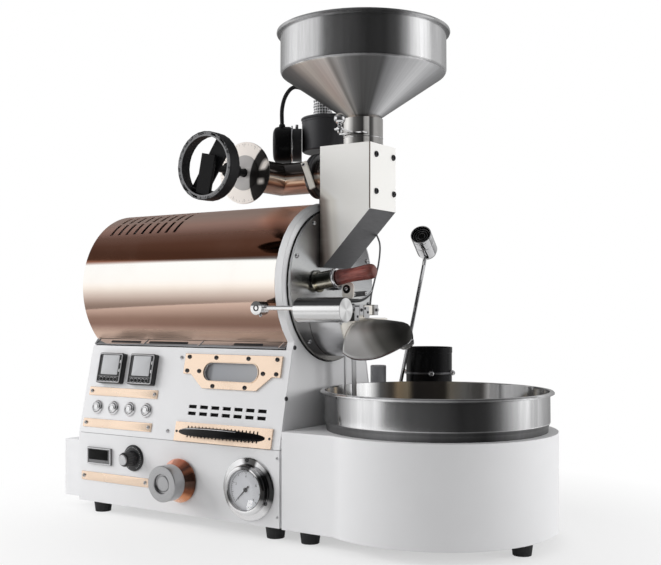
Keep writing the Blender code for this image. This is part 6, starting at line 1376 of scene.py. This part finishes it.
class ROASTER_OT_face(bpy.types.Operator):
    """The drum's face plate, the trier, the outlet, the door with its lever, and the hood."""
    bl_idname = "roaster.face"
    bl_label = "Drum face"

    def execute(self, context):
        for node, finish, edge in (("face_plate", "face", 0.6), ("trier_port", "port", 0.4),
                                   ("trier_scoop", "satin", 0), ("outlet", "satin", 0.4),
                                   ("discharge_door", "cream", 0.4), ("discharge_lever", "weight", 0)):
            dress(node, finish, edge)
        angles = np.radians((157, 195, 232, 308, 345, 23, 120, 60))
        places = [facing(DRUM_AXIS + (FACE, *spot), X) for spot in round_about(95, angles)]
        lay("face_screws", screws(places, 3.2, 2), "polished")
        # Painted shadow: a dark ring in the gap round the face plate
        lay("face_gap_line", bead(103.1, 0.6, facing(DRUM_AXIS + X * 0.7, X), 144, 8), "shadow")
        self.lay_trier()
        self.lay_lever_trim()
        places = [plane((54, y, 301)) for y in (-28, 10)]
        places += [facing((67, y, 294), X) for y in (-28, 10)]
        places += [plane((28, y, 287.2)) for y in (-28, 10)]
        lay("hinge_screws", screws(places, 2.2, 1.4), "dark_steel")
        self.lay_hinge_fittings()
        nut = ((0, 3.2), (3, 3.2), (4.2, 2.4), (4.2, 0), (0, 0))
        lay("hinge_nut", lathe(nut, 0.6, 3, facing((60, 20.5, 294), Y), 6), "chrome", "door")
        lay_hood()
        return DONE

    def lay_trier(self):
        """The sampler's wooden grip and its bright ring, tilted up a little."""
        tilt = math.radians(8)
        grip = facing((FACE + SKIN + 15 * math.sin(tilt), -43, 332), (math.cos(tilt), 0, math.sin(tilt)))
        handle = ((0, 33.1), (8.6, 33.1), (10.2, 34.1), (10.4, 36.5), (9.6, 41.8), (9, 49.4), (9.1, 60.8),
                  (9.7, 72.2), (10.1, 79.8), (9.8, 84.5), (8.6, 87.8), (6, 89.6), (0, 90.2))
        lay("trier_grip", lathe(handle, 4, 4, grip), "wood", "trier", ("trier_handle",))
        collar = ((8.3, 27.8), (12.2, 27.8), (13.2, 28.6), (13.2, 31.8), (12.2, 32.8), (8.3, 32.8))
        lay("trier_ring", hoop(collar, 0.5, 3, grip), "chrome", "trier", ("trier_collar",))

    def lay_lever_trim(self):
        """The counterweight's turned ends, the knob's ring and the set screws."""
        cap = ((0, 0.6), (14.2, 0.6), (15, 0), (0, 0))
        _, y, z = LEVER_AXIS
        ends = [lathe(cap, 0.4, 3, facing((x, y, z), way)) for x, way in ((104, X), (36, -X))]
        lay("weight_ends", ends, "end", "door")
        washer = ((2.6, 0), (4.2, 0), (4.2, 0.6), (2.6, 0.6))
        knob = hoop(washer, 0.2, 2, facing((-26, -133.5, 296.5), -Y), 48)
        lay("lever_knob_ring", knob, "dark_steel", "door")
        pins = screws([facing((-22.5, -128.5, 287.8), (0.2, 0.1, -1))], 2, 2.4)
        pins += screws([facing((96, y, 278.8), -Z)], 2.4, 3)
        lay("lever_set_screws", pins, "satin", "door")

    def lay_hinge_fittings(self):
        """The small brackets, screws and strips about the door's hinge and under the outlet."""
        ear = [slab(soft_rectangle(18, 22, 6), 1.6, 0.4, plane((48, -30, 319.5), X, Z)),
               bar((47, -30, 312), (47, -30, 299), 8, 1.6, Y)]
        lay("trier_ear", ear, "cream")
        # Painted shadow: a dark disc for the ear's hole
        lay("trier_ear_hole", slab(soft_circle(5.6, 40), 0.9, 0.3, plane((46.2, -31.6, 321.5), X, Z)),
            "shadow")
        lay("trier_ear_screw", screws([plane((46.2, -32.4, 322.2), X, Z)], 2.6, 1.2), "chrome")
        lay("hinge_cross_bar", bar((45, -17, 314.5), (45, 19, 316.5), 3, 7), "black_plastic")
        ends = [facing((46.6, y, z), X) for y, z in ((-14, 314.7), (15, 316.3))]
        lay("hinge_cross_screws", screws(ends, 2.8, 1.4), "chrome")
        arm = curve(((51.5, -40, 306.2), (53, -25, 306.2), (54, -8, 307.2), (54.5, 7, 311.8),
                     (55, 18, 319)), 8)
        thick = np.linspace(3.1, 1.4, len(arm))
        lay("hinge_spring_arm", swept(arm, thick, 14), "black_plastic")
        # Painted highlight: a thin bright line along the arm's upper edge
        lift = thick[:, None] * np.array((0.35, 0, 0.95))
        lay("hinge_spring_edge", swept((arm + lift)[12:], 0.7, 10), "polished")
        block = bar((58, -45, 289.5), (58, -32.5, 289.5), 6, 20)
        lay("hinge_arm_block", block, "black_plastic", "door")
        lay("hinge_pin", swept(((62.5, -46, 297.5), (62.5, -33, 297.5)), 1.4, 14), "polished", "door")
        arms = [bar((66.5, -39, 280), (66.5, -39, 298), 10, 1.6, X),
                bar((66.5, -15.5, 284.5), (66.5, -15.5, 298.5), 13, 1.6, X)]
        lay("hinge_arm_plates", arms, "satin", "door")
        heads = [facing((67.3, y, z), X) for y, z in ((-38.5, 285.5), (-19.5, 296), (-12.5, 291))]
        lay("hinge_arm_screws", screws(heads, 1.7, 0.8), "black_plastic", "door")
        lay("lead_foot_plate", bar((40, 13, 286.5), (40, 13, 299.5), 16, 1.6, X), "satin")
        lay("lead_foot_screw", screws([facing((40.9, 17, 293), X)], 2.6, 1.2), "black_plastic")
        strips = [bar((30, -10, 233), (30, -10, 140), 3.6, 1.6, X),
                  bar((30, 12, 234), (30, 15, 140), 10, 1.6, X)]
        lay("outlet_stay_strips", strips, "satin")


def smooth_rows(keys, values, at):
    """Values at new places along a smooth line through given ones: cubic Hermite with the
    slopes of the neighbours."""
    slope = np.gradient(values, keys)
    i = np.clip(np.searchsorted(keys, at, side="right") - 1, 0, len(keys) - 2)
    h = keys[i + 1] - keys[i]
    t = (at - keys[i]) / h
    return ((1 + 2 * t) * (1 - t) ** 2 * values[i] + t * (1 - t) ** 2 * h * slope[i]
            + t ** 2 * (3 - 2 * t) * values[i + 1] + t ** 2 * (t - 1) * h * slope[i + 1])


def lay_hood():
    """The bean hood: at share a along and angle t over its arch the point is half-width cos t
    across and rim + (ridge - rim) sin t high, with width, ridge and rim smooth along a."""
    table = np.array(((0, 1, 0, 0.85), (0.12, 0.96, 0.01, 0.95), (0.26, 0.88, 0.02, 1),
                      (0.41, 0.76, 0.03, 1), (0.56, 0.62, 0.05, 0.96), (0.70, 0.48, 0.07, 0.87),
                      (0.83, 0.34, 0.10, 0.76), (0.92, 0.22, 0.16, 0.67), (0.975, 0.12, 0.26, 0.60),
                      (1, 0.05, 0.38, 0.52)))
    a = 1 - (1 - np.linspace(0, 1, 49)) ** 1.6
    width, ridge, rim = (smooth_rows(table[:, 0], table[:, k], a)[:, None] for k in (1, 2, 3))
    a, t = a[:, None], np.linspace(0, math.pi, 41)[None, :]
    start, length, level, half, tall, skew = 56, 71, 283, 57, 53, 20
    top = level - tall * ridge
    low = level - tall * rim + skew * (1 - a) * t / math.pi
    along, across = start + length * a + 0 * t, -half * width * np.cos(t)
    grid = np.stack((along, across, low + (top - low) * np.sin(t)), -1)
    piece = lay("bean_hood_shell", (grid, False, False), "hood", "door", ("bean_hood",))
    wall = piece.modifiers.new("wall", "SOLIDIFY")
    wall.thickness = 0.0010
    wall.offset = -1 if piece.data.polygons[len(piece.data.polygons) // 2].normal.z > 0 else 1
    edge = np.concatenate((grid[:, 0], grid[::-1, -1]))
    lay("hood_edge", swept(edge, 0.85, 10), "polished", "door")


class ROASTER_OT_damper(bpy.types.Operator):
    """The mirror pipe, its dial disc with graduations, the flange and the hand wheel."""
    bl_idname = "roaster.damper"
    bl_label = "Damper"

    def execute(self, context):
        x, _, z = DAMPER_AXIS
        self.lay_pipe(np.array(DAMPER_AXIS, float), z)
        line = facing((0, 0, z), X)
        flange = ((22.6, -23.2), (30, -23.2), (30.9, -22.2), (30.9, -18.8), (29.6, -18.2), (29.6, -17.6),
                  (30.9, -17), (30.9, -13), (30, -12), (22.6, -12))
        lay("pipe_flange", hoop(flange, 0.6, 3, line, 72), "dark_steel")
        spots = round_about(26.5, np.radians((20, 80, 140, 200, 260, 320)))
        bolts = [facing((-23.2, y, z + up), -X) for y, up in spots]
        lay("flange_screws", screws(bolts, 1.8, 1.2), "polished")
        tab = bar((-22.5, -31.5, 494.5), (-8, -31.5, 458), 8.5, 4, -Y, 1)
        lay("pipe_clamp_tab", tab, "cream")
        band = ((22.7, -30), (23.3, -30), (23.3, -24), (22.7, -24))
        lay("pipe_clamp_band", hoop(band, 0.3, 2, line, 72), "rose_pipe")
        lay("pipe_clamp_bolt", screws([facing((-21.2, -33.6, 490.5), -Y)], 2.6, 2), "chrome")
        disc = facing((x, -85, z), -Y)
        rim = ((6, 1.4), (40.9, 1.4), (41.4, 0.9), (41.4, -1.4), (6, -1.4))
        lay("damper_disc", hoop(rim, 0.4, 3, disc, 112), "scale")
        centre = ((6, 1.4), (23.5, 1.4), (23.5, 2), (6, 2))
        lay("damper_disc_centre", hoop(centre, 0.2, 2, disc, 80), "scale_middle")
        face = facing((x, -86.4, z), -Y)
        marks = ticks(face, 46, 0, 360 * 45 / 46, 37.2, 39.2, 0.4) + ticks(face, 12, 0, 330, 35, 39.2, 0.6)
        lay("damper_disc_marks", marks, "dark_steel")
        dress("damper_wheel", "wheel", 0.7)
        dress("wheel_handle", "gloss_black", 0.9)
        turn, pin, level = math.radians(78), -31.5, -159.5 - 3.2
        eye = facing((x + pin * math.cos(turn), level, z + pin * math.sin(turn)), -Y)
        lay("grip_eye", bead(4, 1.1, eye, 40, 10), "chrome", "grip")
        # Painted light: a pale grey ring on the black wheel's front face
        lip = ((37.6, 0), (43.2, 0), (43.2, 0.6), (37.6, 0.6))
        lay("wheel_front_lip", hoop(lip, 0.2, 2, facing((x, -168.4, z), -Y), 112), "rim", "wheel")
        return DONE

    def lay_pipe(self, corner, z):
        """The mitred pipe: at each point of its path the circle's rays are slid along the path
        onto the plane that halves the bend there."""
        path = np.array((corner - Y * 84.8, corner, (FACE, 0, z)))
        u = circle(72)[:, None]
        ways = unit(np.diff(path, axis=0))
        rows = []
        for point, before, after in zip(path, ways[[0, 0, 1]], ways[[0, 1, 1]]):
            normal = unit(before + after)
            ray = np.cross(Z, before) * np.cos(u) + Z * np.sin(u)
            ray = ray - before * ((ray @ normal) / (before @ normal))[:, None]
            rows.append([point + radius * ray for radius in (22.5, 21.2)])
        grid = np.stack([row[0] for row in rows] + [row[1] for row in reversed(rows)], 1)
        lay("draw_pipe", (grid, True, True), "rose_pipe", "roaster", ("exhaust_pipe",), angle=30)


def lay_cord(name, route, steps, radius, sides, finish, node, uv=False):
    """A cord along a smooth line through the route."""
    line = curve(route, steps)
    cord = lay(name, swept(line, radius, sides), finish, "roaster", (node,), uv=uv)
    path = (line + ORIGIN) / 1000
    length = np.linalg.norm(np.diff(path, axis=0), axis=1).sum()


class ROASTER_OT_cable(bpy.types.Operator):
    """The fan's housing, motor, braided stub and its looped cable."""
    bl_idname = "roaster.cable"
    bl_label = "Fan and cable"

    def execute(self, context):
        axis = plane((-45, 70, 0))
        shell = ((15, 571.8), (42, 571.8), (43.4, 570.6), (43.4, 568.8), (41.9, 567.6), (41.9, 530),
                 (41.9, 524), (40, 522.2), (17.1, 522.2), (17.1, 433.5), (15.1, 433.5), (15.1, 524.2),
                 (39.8, 524.2), (39.8, 569.8), (15, 569.8))
        joint = ring(((41.9, 566), (42.4, 565.7), (42.4, 565), (41.9, 564.7)), axis, 96)
        lay("fan_shell", [hoop(shell, 1, 4, axis, 112), joint], "housing", "roaster", ("fan_housing",))
        low, high = 571.9, 599.8
        s = np.linspace(low, high, 25)
        belly = 13.6 + 0.4 * np.cos((s - low) / (high - low) * 3 * TURN)
        section = np.vstack((np.stack((belly, s), 1), ((6.2, high), (6.2, low))))
        lay("stub_sleeve", ring(section, plane((-59, 70, 0)), 64), "braid", uv=True)
        turn = math.radians(215)
        out = np.array((math.cos(turn), math.sin(turn), 0))
        start = np.array((-45, 70, 533)) + out * 42.3
        motor = facing(start, out)
        can = ((0, 41.8), (15, 41.8), (20.5, 41), (25.2, 38), (26.4, 33), (26.4, 15.2), (0, 15.2))
        neck = ((0, 13), (23.8, 13), (23.8, 0), (0, 0))
        disc = ((0, 15.1), (27.6, 15.1), (28, 14.6), (28, 13.4), (27.6, 12.9), (0, 12.9))
        lay("fan_motor_can", lathe(can, 3, 5, motor, 96), "gloss_black", "roaster", ("fan_motor",))
        lay("fan_motor_neck", lathe(neck, 0.8, 3, motor, 96), "matte_black")
        lay("fan_motor_plate", lathe(disc, 0.3, 2, motor, 96), "polished")
        lay("fan_motor_bolts", screws([facing(start + out * 15.5 - Z * 26.2, out)], 2.2, 3), "chrome")
        post = [start + out * 7.2 + Z * z for z in (22.8, 26.8, 29.6)]
        lay("fan_motor_post", swept(post, 2.2, 14), "chrome")
        foot = start + out * 28.5 + Z * 26.8
        last = np.array((-59, 70, 600.3))
        span = (last - foot) * (1, 1, 0)
        rise = ((0, 0.45), (0.10, 0.80), (0.30, 1), (0.62, 0.92))
        route = [foot, *(foot + span * share + Z * 58 * height for share, height in rise), last]
        lay_cord("fan_motor_cable", route, 8, 2.9, 20, "rubber", "fan_cable")
        gland = ((0, 5), (3.4, 5), (4.4, 3.6), (4.8, 0.4), (0, 0.4))
        lay("cable_gland", lathe(gland, 0.8, 3, plane(foot - Z * 1.2), 32), "rubber")
        return DONE


class ROASTER_OT_lead(bpy.types.Operator):
    """The braided temperature lead from the feed box to the outlet."""
    bl_idname = "roaster.lead"
    bl_label = "Temperature lead"

    def execute(self, context):
        route = ((52, 35.5, 398), (57, 35.5, 386), (57.5, 35.8, 374), (55, 35.5, 355), (50, 34.5, 335),
                 (45.5, 33, 315), (43, 32, 292.1))
        lay_cord("braided_lead", route, 10, 1.2, 14, "lead", "temperature_lead", uv=True)
        ferrule = ((0, 5.5), (1.6, 5.5), (2, 5), (2.2, 0), (0, 0))
        lay("lead_end", lathe(ferrule, 0.5, 3, plane((43, 32, 291.8)), 24), "chrome")
        return DONE


class ROASTER_OT_cooling(bpy.types.Operator):
    """The cooling tray with its rim, the screen, stirrer, duct with its band, and the post."""
    bl_idname = "roaster.cooling"
    bl_label = "Cooling tray"

    def execute(self, context):
        lip = ((144.6, 190.6), (147, 191), (149.6, 190.6), (150.8, 189.2), (150.6, 187.6), (149, 186.8),
               (146.2, 186.6))
        outer = ((145.2, 186.2), (145.5, 151.2), (143.6, 147.8), (142.4, 140.4), (142, 139.6), (142, 126.2))
        inner = ((132.8, 126.2), (132.8, 127.2), (140.8, 127.2), (140.8, 141.2), (144.2, 150.6), (144.3, 189))
        section = np.vstack((lip, rounded(outer, 1.6, 4), inner))
        lay("tray_bowl", ring(section, plane((153, 17, 0)), 176), "tray", "roaster", ("cooling_tray",))
        dress("tray_screen", "satin")
        dress("stirrer", "polished", 0.4)
        dress("stir_motor", "matte_black")
        duct = plane((55, 185, 0))
        wall = ((32.5, 238.8), (34.1, 239), (34.5, 238.2), (34.5, 231), (34, 230.2), (34, 140.3),
                (32.5, 140.3))
        lay("duct_wall", hoop(wall, 0.5, 3, duct, 96), "gloss_black", "roaster", ("cooling_duct",))
        band = ((34.1, 199.5), (35, 199.5), (35.2, 201), (35, 202.5), (34.1, 202.5))
        lay("duct_band_line", hoop(band, 0.4, 3, duct, 96), "dark_steel")
        ways = [np.array((*way, 0)) for way in round_about(1, np.radians((-175, -57, 8)))]
        bolts = [facing((55, 185, 201) + way * 35, way) for way in ways]
        lay("duct_bolts", screws(bolts, 3.8, 5), "chrome")
        nut = ((0, 1), (4.6, 1), (4.6, -0.8), (0, -0.8))
        lay("duct_bolt_nuts", [lathe(nut, 0.4, 2, where, 6) for where in bolts], "polished")
        can = ((0, 212.2), (10.4, 212.2), (11.6, 211.4), (11.7, 210), (11.7, 140.2), (0, 140.2))
        lay("rear_can", lathe(can, 0.6, 3, plane((-4, 136, 0))), "can")
        return DONE


class ROASTER_OT_lamp(bpy.types.Operator):
    """The work lamp: rod, ringed head with its lens, and the red switch."""
    bl_idname = "roaster.lamp"
    bl_label = "Work lamp"

    def execute(self, context):
        dress("lamp_rod", "polished")
        dress("lamp_switch", "red", 0.5)
        way = unit((0.19, -0.84, 0.50))
        tail = np.array((82, 108, 401)) - way * 48
        at = facing(tail, way)
        head = ((0, 41.5), (13.7, 41.5), (13.7, 47.9), (14.9, 47.9), (14.9, 44), (14.5, 43.4), (14.9, 42.8),
                (14.9, 30), (14.5, 29.4), (14.9, 28.8), (14.9, 7), (12, 0.6), (4.9, 0), (4.9, 6), (0, 6))
        lay("lamp_head_shell", lathe(head, 0.6, 3, at, 80), "polished", "lamp_light", ("lamp_head",))
        lens = ((0, 42.8), (12.6, 42.4), (13.5, 41.8), (0, 41.2))
        lay("lamp_lens", lathe(lens, 0.3, 3, at), "dark_glass", "lamp_light")
        rings = [bead(radius, 0.6, facing(tail + way * 42.8, way), 56, 8) for radius in (11.8, 8.5, 5)]
        spots = [put(at, (*spot, 43)) for spot in round_about(6.8, np.radians((90, 210, 330)))]
        rings += [bead(1.2, 0.4, facing(spot, way), 24, 6) for spot in spots]
        lay("lamp_reflector_rings", rings, "dark_steel", "lamp_light")
        return DONE


class ROASTER_OT_hidden(bpy.types.Operator):
    """Parts inside the shell, and the feet."""
    bl_idname = "roaster.hidden"
    bl_label = "Inner parts and feet"

    def execute(self, context):
        for node, finish in (("roasting_drum", "drum"), ("drive_belt", "rubber"),
                             ("drum_motor", "matte_black"), ("motor_pulley", "satin"),
                             ("burner", "dark_steel"), ("gas_valve", "satin"),
                             ("cabinet_front_left_foot", "rubber"), ("cabinet_front_right_foot", "rubber"),
                             ("cabinet_rear_left_foot", "rubber"), ("cooling_front_foot", "rubber"),
                             ("cooling_right_foot", "rubber"), ("cooling_rear_foot", "rubber")):
            dress(node, finish)
        return DONE


# Stage, in metres
class ROASTER_OT_stage(bpy.types.Operator):
    """Camera at the photograph's angle, floor, even world and two soft lamps."""
    bl_idname = "roaster.stage"
    bl_label = "Stage"

    def execute(self, context):
        scene = context.scene
        data = bpy.data.cameras.new("camera")
        camera = bpy.data.objects.new("camera", data)
        scene.collection.objects.link(camera)
        camera.location = (0.8025, -1.1725, 0.294)
        camera.rotation_euler = (math.pi / 2, 0, math.radians(33.2))
        data.sensor_width, data.lens = 36, 54.46
        data.shift_y = 0.0416
        data.clip_start, data.clip_end = 0.01, 50
        scene.camera = camera
        scene.view_settings.view_transform = "Standard"
        sizes = scene.roaster_sizes
        build_world(sizes.even_light)
        build_floor()
        lamp("left_soft_lamp", (-1.75, -0.95, 0.85), (0, 0, 0.2), 1.2, sizes.key_power)
        lamp("right_soft_lamp", (1.65, 0.90, 0.42), (0.1, 0, 0.15), 0.8, sizes.fill_power)
        return DONE


# The studio that glossy rays see: brightness round the horizon by degrees, and by lift, which
# is half the ray's rise plus a half
WALL = {-180: 0.55, -150: 0.36, -118: 0.36, -99: 0.75, -84: 1.10, -34: 1.15, -23: 0.15, -16: 0.06, 45: 0.055,
        66: 0.10, 80: 0.20, 92: 0.62, 104: 1.20, 131: 1.20, 135: 0.60, 144: 0.60, 150: 0.90, 164: 0.70,
        180: 0.55}
HEIGHT = {0.0: 0.35, 0.34: 0.42, 0.44: 0.70, 0.50: 0.90, 0.53: 0.98, 0.735: 0.98, 0.75: 0.20, 0.80: 0.17,
          0.86: 0.32, 0.92: 0.36, 1.0: 0.36}


def build_world(even):
    """White to the camera, even to diffuse rays, and to glossy rays a studio: a bright panel at
    the left and one at the right, dark walls between them and a dim ceiling."""
    world = bpy.data.worlds.new("studio")
    bpy.context.scene.world = world
    world.use_nodes = True
    world.node_tree.nodes.clear()
    net = Net(world.node_tree)
    way = net.add("ShaderNodeTexCoord").outputs["Generated"]
    x, y, z = net.split(way)
    azimuth = net.math("ARCTAN2", x, net.math("MULTIPLY", y, -1.0))
    azimuth = net.math("ADD", net.math("DIVIDE", azimuth, TURN), 0.5)
    wall = net.ramp(azimuth, {degrees / 360 + 0.5: value for degrees, value in WALL.items()}, "LINEAR")
    lift = net.math("ADD", net.math("MULTIPLY", z, 0.5), 0.5)
    height = net.ramp(lift, HEIGHT, "LINEAR")
    ceiling = net.ramp(lift, {0.74: 0.0, 0.90: 1.0}, "LINEAR")
    mixed = net.blend(ceiling, net.blend(1.0, wall, height, "MULTIPLY"), (0.30, 0.30, 0.31))
    path = net.add("ShaderNodeLightPath").outputs
    seen = net.blend(path["Is Glossy Ray"], (even, even, even), mixed)
    white = net.math("MAXIMUM", path["Is Camera Ray"], path["Is Transmission Ray"])
    colour = net.blend(white, seen, (1.0, 1.0, 1.0))
    back = net.add("ShaderNodeBackground", {"Color": colour, "Strength": 1.0})
    out = net.add("ShaderNodeOutputWorld")
    net.tree.links.new(back.outputs[0], out.inputs[0])


def build_floor():
    """A pale round floor whose outer part fades to the white behind it."""
    look = Look("pale_floor", Roughness=0.9)
    look.shader.inputs["Specular IOR Level"].default_value = 0.0
    look.shader.inputs["Base Color"].default_value = (0.86, 0.86, 0.86, 1)
    x, y, _ = look.split(look.place())
    reach = look.math("SQRT", look.math("ADD", look.math("POWER", x, 2.0), look.math("POWER", y, 2.0)))
    fade = look.ramp(reach, {0.0: 0.50, 0.30: 0.55, 0.64: 1.0}, "LINEAR")
    path = look.add("ShaderNodeLightPath").outputs
    seen = look.math("MAXIMUM", path["Is Camera Ray"], path["Is Transmission Ray"])
    gloss = look.math("MULTIPLY", path["Is Glossy Ray"], 0.30)
    share = look.math("MULTIPLY", look.math("MAXIMUM", seen, gloss), fade)
    glow = look.add("ShaderNodeEmission", {"Color": (1, 1, 1, 1), "Strength": 1.0})
    mix = look.add("ShaderNodeMixShader", {0: share})
    links = look.tree.links
    links.new(look.shader.outputs[0], mix.inputs[1])
    links.new(glow.outputs[0], mix.inputs[2])
    links.new(mix.outputs[0], look.tree.nodes["Material Output"].inputs["Surface"])
    u, r = circle(96)[:, None], np.linspace(0, 1.05, 12)[None, :]
    grid = np.stack((r * np.cos(u), r * np.sin(u), 0 * r * u - 0.0002), -1)
    m, n = grid.shape[:2]
    i, j = np.meshgrid(np.arange(m), np.arange(n - 1), indexing="ij")
    after = (i + 1) % m
    faces = np.stack((i * n + j, i * n + j + 1, after * n + j + 1, after * n + j), -1).reshape(-1, 4)
    mesh = bpy.data.meshes.new("floor")
    mesh.from_pydata(grid.reshape(-1, 3), [], faces)
    mesh.materials.append(look.material)
    floor = bpy.data.objects.new("floor", mesh)
    bpy.context.scene.collection.objects.link(floor)


def lamp(name, place, target, size, power):
    """A soft square lamp aimed at a point; it lights but shows in no reflection."""
    data = bpy.data.lights.new(name, "AREA")
    data.shape, data.size, data.energy = "SQUARE", size, power
    item = bpy.data.objects.new(name, data)
    bpy.context.scene.collection.objects.link(item)
    out = unit(np.subtract(target, place))
    side = unit(np.cross(out, Z))
    up = np.cross(side, out)
    item.matrix_world = Matrix([[side[k], up[k], -out[k], place[k]] for k in range(3)] + [[0, 0, 0, 1]])
    item.visible_glossy = False


# Settings, panel and registration
class RoasterSizes(bpy.types.PropertyGroup):
    """The cover's radius and the levels of light."""
    casing_radius: FloatProperty(name="Cover radius", description="Radius of the rolled drum cover",
                                 default=0.112, min=0.10, max=0.13, unit="LENGTH", precision=4)
    even_light: FloatProperty(name="Even light", description="Level of light from all round", default=0.56,
                              min=0.0, max=2.0, subtype="FACTOR")
    key_power: FloatProperty(name="Left lamp", description="Power of the left soft lamp in watts",
                             default=32.0, min=0.0, max=200.0)
    fill_power: FloatProperty(name="Right lamp", description="Power of the right soft lamp in watts",
                              default=16.0, min=0.0, max=200.0)


def colour_property(label, about, value):
    """A colour setting."""
    return FloatVectorProperty(name=label, description=about, default=value, size=3, min=0.0, max=1.0,
                               subtype="COLOR")


class RoasterColours(bpy.types.PropertyGroup):
    """The colours that the finishes start from."""
    white: colour_property("White", "Powder coat of the shell", (0.78, 0.78, 0.79))
    rose: colour_property("Rose gold", "Mirror finish of cover and pipe", (0.78, 0.50, 0.40))
    plate: colour_property("Rose-gold plates", "Satin plates on the panel", (0.96, 0.76, 0.60))
    steel: colour_property("Steel", "Satin steel", (0.62, 0.62, 0.63))
    dark_steel: colour_property("Dark steel", "Cast and unpolished steel", (0.13, 0.13, 0.135))
    chrome: colour_property("Chrome", "Bright plated parts", (0.78, 0.78, 0.79))
    black: colour_property("Black", "Paint and plastic", (0.022, 0.022, 0.024))
    red: colour_property("Red", "Lamp switch", (0.62, 0.03, 0.04))
    wood: colour_property("Wood", "Sampling handle", (0.30, 0.075, 0.05))


# In the order of building
OPERATORS = [
    ROASTER_OT_prepare, ROASTER_OT_stage, ROASTER_OT_cable, ROASTER_OT_lead, ROASTER_OT_shell,
    ROASTER_OT_casing, ROASTER_OT_plates, ROASTER_OT_drawer, ROASTER_OT_controllers, ROASTER_OT_buttons,
    ROASTER_OT_controls, ROASTER_OT_gauge, ROASTER_OT_chute, ROASTER_OT_face, ROASTER_OT_damper,
    ROASTER_OT_cooling, ROASTER_OT_lamp, ROASTER_OT_hidden,
]


class ROASTER_PT_panel(bpy.types.Panel):
    """Sizes, colours and building steps of the roaster."""
    bl_label = "Roaster"
    bl_idname = "ROASTER_PT_panel"
    bl_space_type = "VIEW_3D"
    bl_region_type = "UI"
    bl_category = "Roaster"

    def draw(self, context):
        for group in (context.scene.roaster_sizes, context.scene.roaster_colours):
            box = self.layout.box()
            for name in group.__annotations__:
                box.prop(group, name)
        for item in OPERATORS:
            self.layout.operator(item.bl_idname)


CLASSES = [RoasterSizes, RoasterColours, *OPERATORS, ROASTER_PT_panel]


def register():
    for item in CLASSES:
        bpy.utils.register_class(item)
    bpy.types.Scene.roaster_sizes = PointerProperty(type=RoasterSizes)
    bpy.types.Scene.roaster_colours = PointerProperty(type=RoasterColours)


def unregister():
    del bpy.types.Scene.roaster_colours
    del bpy.types.Scene.roaster_sizes
    for item in reversed(CLASSES):
        bpy.utils.unregister_class(item)


def main():
    """Registers the add-on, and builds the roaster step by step."""
    register()
    for item in OPERATORS:
        getattr(bpy.ops.roaster, item.bl_idname.split(".")[1])()


if __name__ == "__main__":
    main()
